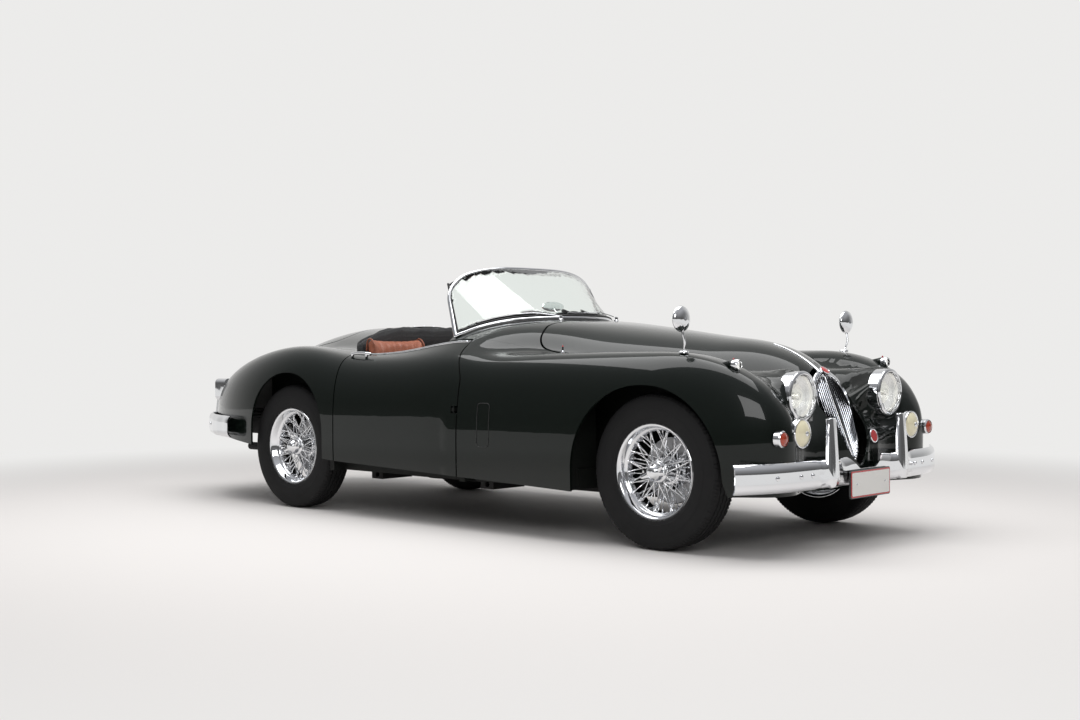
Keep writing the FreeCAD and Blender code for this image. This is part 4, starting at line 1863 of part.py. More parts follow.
def make_exhaust():
    """One pipe under the floor, silencer amidships, over the axle and out at the tail."""
    hump_z = WHEEL_RADIUS + AXLE_RADIUS + 1.5 * EXHAUST_RADIUS
    half = 5 * EXHAUST_RADIUS
    places = [(EXHAUST_TURN_X, EXHAUST_Z), (BULKHEAD_X - EXHAUST_RADIUS, EXHAUST_Z),
              (REAR_AXLE_X + half, hump_z),
              (REAR_AXLE_X - half, hump_z), (REAR_AXLE_X - EXHAUST_DROP, EXHAUST_TAIL_Z),
              (EXHAUST_TAIL_X, EXHAUST_TAIL_Z)]
    line = [V(EXHAUST_HEAD_X, EXHAUST_HEAD_Y, EXHAUST_HEAD_Z)] + [V(x, EXHAUST_Y, z) for x, z in places]
    pipe = tube_through(line, EXHAUST_RADIUS, 3 * EXHAUST_RADIUS)
    bore = tube_through(line, EXHAUST_RADIUS - EXHAUST_WALL, 3 * EXHAUST_RADIUS)
    silencer = turned([(0, 0), (0, EXHAUST_RADIUS), (SILENCER_RADIUS, SILENCER_RADIUS),
                       (SILENCER_LENGTH - SILENCER_RADIUS, SILENCER_RADIUS),
                       (SILENCER_LENGTH, EXHAUST_RADIUS), (SILENCER_LENGTH, 0)],
                      V(SILENCER_REAR_X, EXHAUST_Y, EXHAUST_Z), V(1, 0, 0))
    return fused([pipe, silencer]).cut(bore)


OUTER_GROWN = closed_on_base(inset_grid(GRID, -SEAT_GAP))
shapes = {}
bonnet = fused([make_bonnet()] + lid_lugs(bonnet_hinge_x, bonnet_hinge_z))
boot_lid = fused([make_lid()] + lid_lugs(boot_hinge_x, boot_hinge_z))
irons = iron_holes()
shapes["bonnet"] = bonnet
shapes["boot_lid"] = boot_lid
shapes["nose_panel"] = make_nose().cut(irons)
shapes["front_wing_left"] = make_front_wing().cut(irons)
shapes["scuttle"] = make_scuttle()
shapes["rear_wing_left"] = make_rear_wing().cut(irons)
shapes["rear_deck"] = make_deck().cut(irons)
shapes["door_left"] = make_door()
for name in ("front_wing", "rear_wing", "door"):
    shapes[name + "_right"] = mirrored(shapes[name + "_left"])
shapes["tub"] = clear_of_wing_edges(make_tub())
wheel = make_wheel()
tyre = make_tyre()
for name, x in (("front", FRONT_AXLE_X), ("rear", REAR_AXLE_X)):
    shapes["wheel_" + name + "_left"] = placed(wheel, x, WHEEL_Y)
    shapes["wheel_" + name + "_right"] = placed(mirrored(wheel), x, -WHEEL_Y)
    shapes["tyre_" + name + "_left"] = placed(tyre, x, WHEEL_Y)
    shapes["tyre_" + name + "_right"] = placed(tyre, x, -WHEEL_Y)
shapes["chassis"] = make_chassis()
shapes["engine"] = Part.makeCompound([make_engine(), make_radiator()])
shapes["driveline"] = make_driveline()
shapes["rear_axle"] = make_rear_axle()
shapes["front_suspension"] = Part.makeCompound([make_front_suspension(), make_rack()])
shapes["knuckle_left"] = make_knuckle()
shapes["knuckle_right"] = mirrored(shapes["knuckle_left"])
shapes["track_rods"] = make_track_rods()
shapes["grille"] = make_grille()
shapes["bumper_front"] = make_front_bumper()
shapes["bumper_rear"] = make_rear_bumper()
shapes["lamp_rims"] = make_lamp_rims()
shapes["lamp_glasses"] = make_lamp_glasses()
shapes["fog_lamps"] = make_fog_lamps()
shapes["mirrors"] = make_mirrors()
shapes["screen_frame"] = make_screen_frame()
shapes["screen_glass"] = make_glass()
shapes["brightwork_left"] = make_brightwork()
shapes["brightwork_right"] = mirrored(shapes["brightwork_left"])
shapes["seats"] = make_seats()
shapes["dashboard"] = make_dashboard()
shapes["steering_wheel"] = make_steering_wheel()
shapes["controls"] = make_controls()
shapes["hood"] = make_hood()
shapes["exhaust"] = make_exhaust()
for name, shape in shapes.items():
    export(name, shape)
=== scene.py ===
import json
import math

import bmesh
import bpy
import numpy as np
from mathutils import Matrix, Vector
from mathutils.bvhtree import BVHTree


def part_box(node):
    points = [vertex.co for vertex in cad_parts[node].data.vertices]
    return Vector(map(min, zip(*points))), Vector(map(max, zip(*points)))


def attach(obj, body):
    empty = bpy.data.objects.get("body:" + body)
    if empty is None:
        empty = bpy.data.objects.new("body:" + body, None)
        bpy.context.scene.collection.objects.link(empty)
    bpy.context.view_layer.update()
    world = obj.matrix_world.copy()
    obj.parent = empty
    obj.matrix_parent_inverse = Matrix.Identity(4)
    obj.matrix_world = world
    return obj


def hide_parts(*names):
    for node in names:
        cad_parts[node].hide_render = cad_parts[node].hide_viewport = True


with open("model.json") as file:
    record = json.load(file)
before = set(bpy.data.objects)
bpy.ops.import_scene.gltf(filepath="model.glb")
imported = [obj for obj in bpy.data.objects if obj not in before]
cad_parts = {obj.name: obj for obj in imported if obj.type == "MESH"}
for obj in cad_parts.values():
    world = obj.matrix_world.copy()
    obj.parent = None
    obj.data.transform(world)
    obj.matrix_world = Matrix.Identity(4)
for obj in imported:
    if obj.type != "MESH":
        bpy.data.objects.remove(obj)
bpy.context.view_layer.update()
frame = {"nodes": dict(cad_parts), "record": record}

# Places are in metres about the middle of the wheelbase, +X forward, +Y left, +Z up.
# The frame's origin lies under the middle of the car's outer box, this far behind that middle.
FRAME_SHIFT = 0.271


def at(x, y, z):
    """A place of the car in the frame."""
    return Vector((x + FRAME_SHIFT, y, z))


# The camera, solved from wheels, lamps and bumpers
CAMERA_PLACE = (5.203, -5.6241, 0.8935)
CAMERA_YAW = math.radians(133.124)
CAMERA_PITCH = math.radians(-0.499)
CAMERA_ROLL = -0.0041
CAMERA_LENS = 47.5


def make_camera():
    ahead = Vector((math.cos(CAMERA_YAW) * math.cos(CAMERA_PITCH),
                    math.sin(CAMERA_YAW) * math.cos(CAMERA_PITCH),
                    math.sin(CAMERA_PITCH)))
    right = Vector((math.sin(CAMERA_YAW), -math.cos(CAMERA_YAW), 0))
    up = right.cross(ahead)
    turned_right = right * math.cos(CAMERA_ROLL) + up * math.sin(CAMERA_ROLL)
    turned_up = up * math.cos(CAMERA_ROLL) - right * math.sin(CAMERA_ROLL)
    data = bpy.data.cameras.new("camera")
    data.lens = CAMERA_LENS
    data.sensor_width = 36
    data.clip_end = 200
    camera = bpy.data.objects.new("camera", data)
    bpy.context.collection.objects.link(camera)
    turn = Matrix((turned_right, turned_up, -ahead)).transposed()
    camera.matrix_world = Matrix.Translation(at(*CAMERA_PLACE)) @ turn.to_4x4()
    bpy.context.scene.camera = camera
    return camera


# Node trees
def link(tree, a, out, b, name):
    tree.links.new(a.outputs[out], b.inputs[name])


def add(tree, kind, **values):
    """A new node with its properties and socket values set by name."""
    node = tree.nodes.new(kind)
    for name, value in values.items():
        if hasattr(node, name):
            setattr(node, name, value)
        else:
            node.inputs[name.replace("_", " ")].default_value = value
    return node


def group(name, ins, outs):
    """An empty shader node group with float and vector sockets, and its input and output nodes."""
    tree = bpy.data.node_groups.new(name, "ShaderNodeTree")
    for socket, value in ins.items():
        kind = "NodeSocketFloat" if isinstance(value, float) else "NodeSocketColor"
        item = tree.interface.new_socket(socket, in_out="INPUT", socket_type=kind)
        item.default_value = value
    for socket, kind in outs.items():
        tree.interface.new_socket(socket, in_out="OUTPUT", socket_type=kind)
    return tree, tree.nodes.new("NodeGroupInput"), tree.nodes.new("NodeGroupOutput")


def map_range(tree, low, high, to_low, to_high):
    node = tree.nodes.new("ShaderNodeMapRange")
    for name, value in (("From Min", low), ("From Max", high), ("To Min", to_low), ("To Max", to_high)):
        node.inputs[name].default_value = value
    return node


def make_fine_grain():
    """Small even unevenness: a height for bump and a roughness that wanders about its base."""
    tree, start, end = group("fine_grain", {"Scale": 400.0, "Roughness": 0.3, "Wander": 0.1},
                             {"Height": "NodeSocketFloat", "Roughness": "NodeSocketFloat"})
    place = add(tree, "ShaderNodeTexCoord")
    fine = add(tree, "ShaderNodeTexNoise", Detail=4.0)
    wide = add(tree, "ShaderNodeTexNoise", Scale=9.0, Detail=3.0)
    link(tree, place, "Object", fine, "Vector")
    link(tree, place, "Object", wide, "Vector")
    link(tree, start, "Scale", fine, "Scale")
    link(tree, fine, "Fac", end, "Height")
    swing = add(tree, "ShaderNodeMath", operation="MULTIPLY_ADD")
    less = add(tree, "ShaderNodeMath", operation="SUBTRACT")
    link(tree, wide, "Fac", less, 0)
    less.inputs[1].default_value = 0.5
    link(tree, less, "Value", swing, 0)
    link(tree, start, "Wander", swing, 1)
    link(tree, start, "Roughness", swing, 2)
    link(tree, swing, "Value", end, "Roughness")
    return tree


def make_road_dust():
    """A colour that gathers dust near the road, broken up by noise."""
    tree, start, end = group("road_dust",
                             {"Color": (0.1, 0.1, 0.1, 1), "Dust": (0.2, 0.19, 0.17, 1), "Top": 0.4,
                                           "Amount": 0.3},
                             {"Color": "NodeSocketColor", "Mask": "NodeSocketFloat"})
    place = add(tree, "ShaderNodeTexCoord")
    split = add(tree, "ShaderNodeSeparateXYZ")
    link(tree, place, "Object", split, "Vector")
    low = add(tree, "ShaderNodeMath", operation="DIVIDE", use_clamp=True)
    link(tree, split, "Z", low, 0)
    link(tree, start, "Top", low, 1)
    under = add(tree, "ShaderNodeMath", operation="SUBTRACT")
    under.inputs[0].default_value = 1.0
    link(tree, low, "Value", under, 1)
    noise = add(tree, "ShaderNodeTexNoise", Scale=14.0, Detail=6.0)
    link(tree, place, "Object", noise, "Vector")
    patch = map_range(tree, 0.35, 0.75, 0.2, 1.0)
    link(tree, noise, "Fac", patch, "Value")
    both = add(tree, "ShaderNodeMath", operation="MULTIPLY")
    link(tree, under, "Value", both, 0)
    link(tree, patch, "Result", both, 1)
    mask = add(tree, "ShaderNodeMath", operation="MULTIPLY", use_clamp=True)
    link(tree, both, "Value", mask, 0)
    link(tree, start, "Amount", mask, 1)
    mix = add(tree, "ShaderNodeMix", data_type="RGBA")
    tree.links.new(mask.outputs[0], mix.inputs[0])
    tree.links.new(start.outputs["Color"], mix.inputs[6])
    tree.links.new(start.outputs["Dust"], mix.inputs[7])
    tree.links.new(mix.outputs[2], end.inputs["Color"])
    link(tree, mask, "Value", end, "Mask")
    return tree


def make_hide():
    """Leather: pebbled cells with fine creases, its tone wandering at random and darker in the creases by painted
    shade.
    """
    tree, start, end = group("hide", {"Color": (0.3, 0.1, 0.05, 1), "Deep": (0.1, 0.03, 0.01, 1),
                                      "Scale": 220.0},
                             {"Color": "NodeSocketColor", "Height": "NodeSocketFloat"})
    place = add(tree, "ShaderNodeTexCoord")
    cells = add(tree, "ShaderNodeTexVoronoi", feature="DISTANCE_TO_EDGE")
    link(tree, place, "Object", cells, "Vector")
    link(tree, start, "Scale", cells, "Scale")
    crease = map_range(tree, 0.0, 0.12, 0.0, 1.0)
    link(tree, cells, "Distance", crease, "Value")
    wide = add(tree, "ShaderNodeTexNoise", Scale=7.0, Detail=4.0)
    link(tree, place, "Object", wide, "Vector")
    tone = map_range(tree, 0.3, 0.7, 0.45, 1.0)
    link(tree, wide, "Fac", tone, "Value")
    both = add(tree, "ShaderNodeMath", operation="MULTIPLY", use_clamp=True)
    # Painted shade: the creases take up to a quarter of the darker crease colour; the wide noise is the hide's own
    # random tone
    edge = map_range(tree, 0.0, 1.0, 0.75, 1.0)
    link(tree, crease, "Result", edge, "Value")
    link(tree, edge, "Result", both, 0)
    link(tree, tone, "Result", both, 1)
    mix = add(tree, "ShaderNodeMix", data_type="RGBA")
    tree.links.new(both.outputs[0], mix.inputs[0])
    tree.links.new(start.outputs["Deep"], mix.inputs[6])
    tree.links.new(start.outputs["Color"], mix.inputs[7])
    tree.links.new(mix.outputs[2], end.inputs["Color"])
    link(tree, crease, "Result", end, "Height")
    return tree


def make_weave():
    """Plain cloth weave from two crossed waves."""
    tree, start, end = group("weave", {"Scale": 900.0}, {"Height": "NodeSocketFloat"})
    place = add(tree, "ShaderNodeTexCoord")
    waves = []
    for direction in ("X", "Y"):
        wave = add(tree, "ShaderNodeTexWave", wave_type="BANDS", bands_direction=direction, Distortion=1.5)
        link(tree, place, "Object", wave, "Vector")
        link(tree, start, "Scale", wave, "Scale")
        waves.append(wave)
    top = add(tree, "ShaderNodeMath", operation="MAXIMUM")
    link(tree, waves[0], "Fac", top, 0)
    link(tree, waves[1], "Fac", top, 1)
    link(tree, top, "Value", end, "Height")
    return tree


FINE_GRAIN = make_fine_grain()
ROAD_DUST = make_road_dust()
HIDE = make_hide()
WEAVE = make_weave()


def placed_group(tree, shared, **values):
    node = tree.nodes.new("ShaderNodeGroup")
    node.node_tree = shared
    for name, value in values.items():
        node.inputs[name].default_value = value
    return node


def surface(name, colour, roughness=0.4, grain=400.0, bump=0.1, wander=0.1, dust=0.0, **sockets):
    """A material of one principled shader with fine grain, wandering roughness and perhaps dust."""
    material = bpy.data.materials.new(name)
    material.use_nodes = True
    tree = material.node_tree
    shader = tree.nodes["Principled BSDF"]
    shader.inputs["Base Color"].default_value = (*colour, 1)
    for socket, value in sockets.items():
        shader.inputs[socket.replace("_", " ")].default_value = value
    shader.inputs["Roughness"].default_value = roughness
    fine = placed_group(tree, FINE_GRAIN, Scale=grain, Roughness=roughness,
                        Wander=wander) if wander or bump else None
    if wander:
        link(tree, fine, "Roughness", shader, "Roughness")
    if bump:
        raised = add(tree, "ShaderNodeBump", Strength=bump, Distance=0.0004)
        link(tree, fine, "Height", raised, "Height")
        link(tree, raised, "Normal", shader, "Normal")
    if dust:
        film = placed_group(tree, ROAD_DUST, Color=(*colour, 1), Amount=dust)
        link(tree, film, "Color", shader, "Base Color")
    return material


def make_leather(name, colour, crease_shade, scale=240.0):
    material = bpy.data.materials.new(name)
    material.use_nodes = True
    tree = material.node_tree
    shader = tree.nodes["Principled BSDF"]
    shader.inputs["Roughness"].default_value = 0.42
    hide = placed_group(tree, HIDE, Color=(*colour, 1), Deep=(*crease_shade, 1), Scale=scale)
    link(tree, hide, "Color", shader, "Base Color")
    raised = add(tree, "ShaderNodeBump", Strength=0.25, Distance=0.0006)
    link(tree, hide, "Height", raised, "Height")
    link(tree, raised, "Normal", shader, "Normal")
    return material


def make_cloth(name, colour, scale=900.0):
    material = bpy.data.materials.new(name)
    material.use_nodes = True
    tree = material.node_tree
    shader = tree.nodes["Principled BSDF"]
    shader.inputs["Base Color"].default_value = (*colour, 1)
    shader.inputs["Roughness"].default_value = 0.9
    shader.inputs["Sheen Weight"].default_value = 0.25
    weave = placed_group(tree, WEAVE, Scale=scale)
    raised = add(tree, "ShaderNodeBump", Strength=0.5, Distance=0.0006)
    link(tree, weave, "Height", raised, "Height")
    link(tree, raised, "Normal", shader, "Normal")
    return material


# The grille's leaning front: how far forward its bars' edges stand at no height, and the lean per metre up
GRILLE_FRONT_X = 2.0154
GRILLE_LEAN = -0.3961
# Depths behind the bars' front edges where the painted shade starts and where it is full
PAINTED_SHADE_START = 0.0035
PAINTED_SHADE_FULL = 0.0070


def make_grille_painted_shade_chrome():
    """Chrome with painted shade: its colour darkens to near black behind the bars' front edges, standing in for the
    shade deep between close bars.
    """
    material = surface("grille_painted_shade_chrome", (0.80, 0.81, 0.83), 0.08, 120.0, 0.004, 0.05, Metallic=1.0)
    tree = material.node_tree
    place = add(tree, "ShaderNodeTexCoord")
    split = add(tree, "ShaderNodeSeparateXYZ")
    link(tree, place, "Object", split, "Vector")
    front = add(tree, "ShaderNodeMath", operation="MULTIPLY_ADD")
    link(tree, split, "Z", front, 0)
    front.inputs[1].default_value = GRILLE_LEAN
    front.inputs[2].default_value = GRILLE_FRONT_X + FRAME_SHIFT
    depth = add(tree, "ShaderNodeMath", operation="SUBTRACT")
    link(tree, front, "Value", depth, 0)
    link(tree, split, "X", depth, 1)
    shade = map_range(tree, PAINTED_SHADE_START, PAINTED_SHADE_FULL, 0.0, 1.0)
    link(tree, depth, "Value", shade, "Value")
    # The colour runs from chrome to a near-black painted shade as the depth grows
    mix = add(tree, "ShaderNodeMix", data_type="RGBA")
    mix.inputs[6].default_value = (0.80, 0.81, 0.83, 1)
    mix.inputs[7].default_value = (0.012, 0.012, 0.013, 1)
    tree.links.new(shade.outputs["Result"], mix.inputs[0])
    tree.links.new(mix.outputs[2], tree.nodes["Principled BSDF"].inputs["Base Color"])
    return material


def make_glass(name, colour, roughness=0.0, ior=1.45):
    return surface(name, colour, roughness, bump=0.0, wander=0.0, Transmission_Weight=1.0, IOR=ior)


PAINT = surface("body_paint", (0.0035, 0.0060, 0.0045), 0.30, 1500.0, 0.01, 0.05, Specular_IOR_Level=0.05,
                Coat_Weight=1.0, Coat_Roughness=0.015, Coat_IOR=1.36)
INNER_PAINT = surface("inner_paint", (0.006, 0.007, 0.006), 0.6, 300.0, 0.2, 0.2, dust=0.03,
                      Specular_IOR_Level=0.2)
CHASSIS_PAINT = surface("chassis_paint", (0.008, 0.008, 0.008), 0.6, 200.0, 0.3, 0.2, dust=0.06,
                        Specular_IOR_Level=0.25)
CHROME = surface("chrome", (0.80, 0.81, 0.83), 0.06, 120.0, 0.004, 0.05, Metallic=1.0)
# Chrome with painted shade deep between the grille's bars
GRILLE_PAINTED_SHADE_CHROME = make_grille_painted_shade_chrome()
SATIN_STEEL = surface("satin_steel", (0.45, 0.45, 0.46), 0.38, 300.0, 0.15, 0.2, Metallic=1.0)
FORGED = surface("forged_steel", (0.10, 0.10, 0.105), 0.5, 260.0, 0.4, 0.2, dust=0.1, Metallic=0.7)
ALLOY = surface("engine_alloy", (0.42, 0.42, 0.43), 0.42, 180.0, 0.35, 0.2, Metallic=0.9)
RUBBER = surface("tyre_rubber", (0.011, 0.011, 0.0115), 0.72, 700.0, 0.35, 0.2, dust=0.02,
                 Specular_IOR_Level=0.2)
SEAL = surface("black_rubber", (0.01, 0.01, 0.01), 0.55, 600.0, 0.2, 0.1)
BLACK = surface("black_enamel", (0.006, 0.006, 0.007), 0.25, 900.0, 0.03, 0.1, Coat_Weight=0.6)
RED_ENAMEL = surface("red_enamel", (0.45, 0.01, 0.012), 0.2, 900.0, 0.02, 0.05, Coat_Weight=1.0)
WHITE_ENAMEL = surface("plate_white", (0.78, 0.77, 0.74), 0.35, 900.0, 0.05, 0.1)
CREAM_GLASS = surface("cream_glass", (0.80, 0.74, 0.52), 0.12, 300.0, 0.05, 0.05, Coat_Weight=1.0,
                      Coat_Roughness=0.02)
AMBER = surface("amber_lens", (0.50, 0.05, 0.012), 0.15, 300.0, 0.05, 0.05, Coat_Weight=1.0,
                Transmission_Weight=0.35)
RED_LENS = surface("red_lens", (0.42, 0.004, 0.008), 0.15, 300.0, 0.05, 0.05, Coat_Weight=1.0,
                   Transmission_Weight=0.3)
REFLECTOR = surface("reflector", (0.92, 0.92, 0.90), 0.22, 60.0, 0.02, 0.1, Metallic=1.0)
LENS = make_glass("lens_glass", (1.0, 1.0, 0.98), 0.03)
SCREEN = make_glass("screen_green", (0.93, 0.985, 0.955), 0.0)
TAN = make_leather("tan_leather", (0.31, 0.098, 0.050), (0.15, 0.038, 0.018))
CARPET = make_cloth("dark_carpet", (0.02, 0.008, 0.006), 500.0)
HOOD_CLOTH = make_cloth("hood_cloth", (0.010, 0.010, 0.011), 1100.0)
DIAL = surface("dial_black", (0.012, 0.012, 0.012), 0.4, 500.0, 0.02, 0.05)
MIRROR_GLASS = surface("mirror_glass", (0.86, 0.87, 0.85), 0.02, 300.0, 0.0, 0.02, Metallic=1.0)


# Meshes
def new_object(name, mesh, *materials):
    piece = bpy.data.objects.new(name, mesh)
    bpy.context.collection.objects.link(piece)
    for material in materials:
        mesh.materials.append(material)
    return piece


def smooth_mesh(mesh, sharp_angle=35.0):
    mesh.shade_smooth()
    mesh.set_sharp_from_angle(angle=math.radians(sharp_angle))


def mesh_from(name, points, faces, sharp_angle=35.0):
    mesh = bpy.data.meshes.new(name)
    mesh.from_pydata([tuple(p) for p in points], [], faces)
    mesh.validate()
    shape = bmesh.new()
    shape.from_mesh(mesh)
    bmesh.ops.remove_doubles(shape, verts=shape.verts, dist=1e-6)
    bmesh.ops.recalc_face_normals(shape, faces=shape.faces)
    shape.to_mesh(mesh)
    shape.free()
    smooth_mesh(mesh, sharp_angle)
    return mesh


def skin(rings, closed_ring=True, closed_row=False, caps=True):
    """Points and faces of a skin over rings of like count."""
    count = len(rings[0])
    points = [p for ring in rings for p in ring]
    faces = []
    last_row = len(rings) if closed_row else len(rings) - 1
    last_in_ring = count if closed_ring else count - 1
    for i in range(last_row):
        a = i * count
        b = ((i + 1) % len(rings)) * count
        for j in range(last_in_ring):
            k = (j + 1) % count
            faces.append((a + j, a + k, b + k, b + j))
    if caps and closed_ring and not closed_row:
        faces.append(tuple(range(count - 1, -1, -1)))
        faces.append(tuple(range((len(rings) - 1) * count, len(rings) * count)))
    return points, faces


def lathe(name, profile, centre, axis, *materials, steps=64, sharp_angle=35.0):
    """A turned piece: profile rows are (distance along the axis, radius). One open at both ends is a ring."""
    axis = Vector(axis).normalized()
    side = axis.orthogonal().normalized()
    other = axis.cross(side)
    rings = []
    for along, radius in profile:
        radius = max(radius, 1e-6)
        rings.append([centre + axis * along + (side * math.cos(a) + other * math.sin(a)) * radius
                      for a in (2 * math.pi * i / steps for i in range(steps))])
    is_ring = len(profile) > 3 and min(profile[0][1], profile[-1][1]) > 1e-4
    points, faces = skin(rings, closed_row=is_ring)
    return new_object(name, mesh_from(name, points, faces, sharp_angle), *materials)


def tube(name, path, radius, *materials, sides=12, closed=False, flat=1.0):
    """A round or flattened tube along a list of places. Radius may be a function of the share along it."""
    rings = []
    count = len(path)
    up = Vector((0, 0, 1))
    for i, place in enumerate(path):
        before = path[(i - 1) % count] if closed else path[max(i - 1, 0)]
        after = path[(i + 1) % count] if closed else path[min(i + 1, count - 1)]
        way = (after - before).normalized()
        side = way.cross(up)
        side = side.normalized() if side.length > 1e-3 else Vector((0, 1, 0))
        lift = side.cross(way).normalized()
        size = radius(i / (count - 1)) if callable(radius) else radius
        rings.append([place + side * (size * math.cos(a)) + lift * (size * flat * math.sin(a))
                      for a in (2 * math.pi * j / sides for j in range(sides))])
    points, faces = skin(rings, closed_row=closed)
    return new_object(name, mesh_from(name, points, faces, 60.0), *materials)


def smooth_path(points, steps=8):
    """A Catmull-Rom path through the points."""
    path = []
    for i in range(len(points) - 1):
        a, b, c, d = (points[max(0, min(len(points) - 1, i + k))] for k in (-1, 0, 1, 2))
        for j in range(steps):
            t = j / steps
            path.append(0.5 * ((2 * b) + (c - a) * t + (2 * a - 5 * b + 4 * c - d) * t ** 2
                               + (3 * b - 3 * c + d - a) * t ** 3))
    return path + [points[-1]]


def joined(name, pieces):
    """One mesh from several."""
    with bpy.context.temp_override(active_object=pieces[0], selected_editable_objects=pieces):
        bpy.ops.object.join()
    pieces[0].name = name
    pieces[0].data.name = name
    return pieces[0]


def settle(piece, body, slot, *nodes):
    """Put a finished piece on its body and hide the nodes that it stands for; the slot is not used."""
    if nodes:
        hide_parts(*nodes)
    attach(piece, body)
    return piece


def merged_copy(node, name):
    """A copy of a node's mesh with its triangles joined."""
    mesh = frame["nodes"][node].data.copy()
    mesh.materials.clear()
    shape = bmesh.new()
    shape.from_mesh(mesh)
    bmesh.ops.remove_doubles(shape, verts=shape.verts, dist=1e-5)
    bmesh.ops.dissolve_degenerate(shape, edges=shape.edges, dist=1e-6)
    shape.to_mesh(mesh)
    shape.free()
    return new_object(name, mesh)


def node_tree(node):
    """A node's skin, for finding where a line meets it."""
    mesh = frame["nodes"][node].data
    return BVHTree.FromPolygons([v.co for v in mesh.vertices], [p.vertices for p in mesh.polygons])


def body_of(node):
    for body, members in frame["record"]["behaviour"]["bodies"].items():
        if node in members:
            return body
    return "body"


def slot_of(node):
    for row in frame["record"]["subparts"]:
        if row["node"] == node:
            return row["material_slot"]
    return None


def dressed(node, *materials, sharp_angle=35.0):
    """A smooth copy of a node in its own material, which stands for it."""
    piece = merged_copy(node, node + "_dressed")
    for material in materials:
        piece.data.materials.append(material)
    smooth_mesh(piece.data, sharp_angle)
    return settle(piece, body_of(node), slot_of(node), node)


def islands(node):
    """The separate solids of a node as objects, the largest box first."""
    whole = merged_copy(node, node + "_split")
    shape = bmesh.new()
    shape.from_mesh(whole.data)
    bpy.data.objects.remove(whole)
    left = set(shape.verts)
    found = []
    while left:
        stack = [left.pop()]
        group_verts = set(stack)
        while stack:
            for edge in stack.pop().link_edges:
                for vert in edge.verts:
                    if vert in left:
                        left.discard(vert)
                        group_verts.add(vert)
                        stack.append(vert)
        found.append(group_verts)
    pieces = []
    for verts in found:
        index = {vert: i for i, vert in enumerate(verts)}
        faces = [[index[v] for v in face.verts] for face in shape.faces if face.verts[0] in verts]
        mesh = bpy.data.meshes.new(node)
        mesh.from_pydata([tuple(v.co) for v in verts], [], faces)
        smooth_mesh(mesh)
        pieces.append(new_object(node + "_piece", mesh))
    shape.free()
    return sorted(pieces, key=lambda piece: -piece.dimensions.length)


def extent(piece):
    corners = [Vector(c) for c in piece.bound_box]
    low = Vector(tuple(min(c[i] for c in corners) for i in range(3)))
    high = Vector(tuple(max(c[i] for c in corners) for i in range(3)))
    return low, high


# The form of the body, in metres about mid-wheelbase, for the true direction of its skin
WHEELBASE = 2.591
BODY_HALF_WIDTH = 0.806
SCUTTLE_HEIGHT = 1.036
WING_HEIGHT = 0.872
WAIST_HEIGHT = 0.500
NOSE_REACH = 1.880
TAIL_REACH = 2.375
APRON_REACH = 1.852
REAR_APRON_REACH = 2.315
LAMP_OFFSET = 0.372
LAMP_HEIGHT = 0.679
LAMP_FACE_X = 1.833
POD_RADIUS = 0.106
SKIN = 0.012
crown_shares = [(-0.95, 0.96), (-0.60, 1.035), (-0.46, 1.035), (-0.33, 0.985), (-0.12, 0.965),
                (0.15, 0.985), (0.40, 1.0), (0.55, 1.0), (0.75, 0.97)]
wing_centre_shares = [(-0.95, 0.50), (-0.75, 0.66), (-0.5, 0.765), (-0.1, 0.80), (0.15, 0.80),
                      (0.50, 0.785), (0.62, 0.76), (0.75, 0.68)]
side_shares = [(-0.95, 0.76), (-0.75, 0.93), (-0.5, 1.0), (-0.33, 0.995), (0.0, 0.985),
               (0.25, 0.985), (0.50, 0.99), (0.62, 0.965), (0.75, 0.90)]
centre_top_shares = [(-0.95, 0.93), (-0.65, 0.965), (-0.50, 0.98), (-0.30, 0.985), (0.0, 1.0),
                     (0.10, 1.0), (0.20, 0.985), (0.37, 0.938), (0.50, 0.900), (0.62, 0.866),
                     (0.72, 0.80)]
centre_width_shares = [(-0.95, 0.80), (-0.50, 0.86), (-0.30, 0.90), (-0.15, 0.91), (-0.03, 0.92),
                       (0.05, 0.88), (0.16, 0.77), (0.30, 0.72), (0.45, 0.60), (0.58, 0.50),
                       (0.72, 0.34)]
centre_power_shares = [(-0.95, 2.25), (-0.30, 2.4), (-0.05, 3.6), (0.10, 4.0), (0.22, 3.0), (0.40, 2.4),
                       (0.75, 2.25)]


def spline(rows):
    """A natural cubic curve through rows of (place, value), as a function of an array."""
    xs = np.array([row[0] for row in rows], float)
    ys = np.array([row[1] for row in rows], float)
    count = len(xs)
    h = np.diff(xs)
    system = np.eye(count)
    right = np.zeros(count)
    for i in range(1, count - 1):
        system[i, i - 1:i + 2] = (h[i - 1], 2 * (h[i - 1] + h[i]), h[i])
        right[i] = 6 * ((ys[i + 1] - ys[i]) / h[i] - (ys[i] - ys[i - 1]) / h[i - 1])
    m = np.linalg.solve(system, right)
    first = (ys[1] - ys[0]) / h[0] - h[0] * m[1] / 6
    last = (ys[-1] - ys[-2]) / h[-1] + h[-1] * m[-2] / 6

    def value(x):
        x = np.asarray(x, float)
        i = np.clip(np.searchsorted(xs, x) - 1, 0, count - 2)
        a = (xs[i + 1] - x) / h[i]
        b = (x - xs[i]) / h[i]
        inside = a * ys[i] + b * ys[i + 1] + ((a ** 3 - a) * m[i] + (b ** 3 - b) * m[i + 1]) * h[i] ** 2 / 6
        return np.where(x < xs[0], ys[0] + first * (x - xs[0]),
                        np.where(x > xs[-1], ys[-1] + last * (x - xs[-1]), inside))
    return value


def along_car(shares, size):
    return spline([(place * WHEELBASE, share * size) for place, share in shares])


crown = along_car(crown_shares, WING_HEIGHT)
wing_centre = along_car(wing_centre_shares, BODY_HALF_WIDTH)
side = along_car(side_shares, BODY_HALF_WIDTH)
centre_top = along_car(centre_top_shares, SCUTTLE_HEIGHT)
centre_width = along_car(centre_width_shares, BODY_HALF_WIDTH)
centre_power = along_car(centre_power_shares, 1.0)


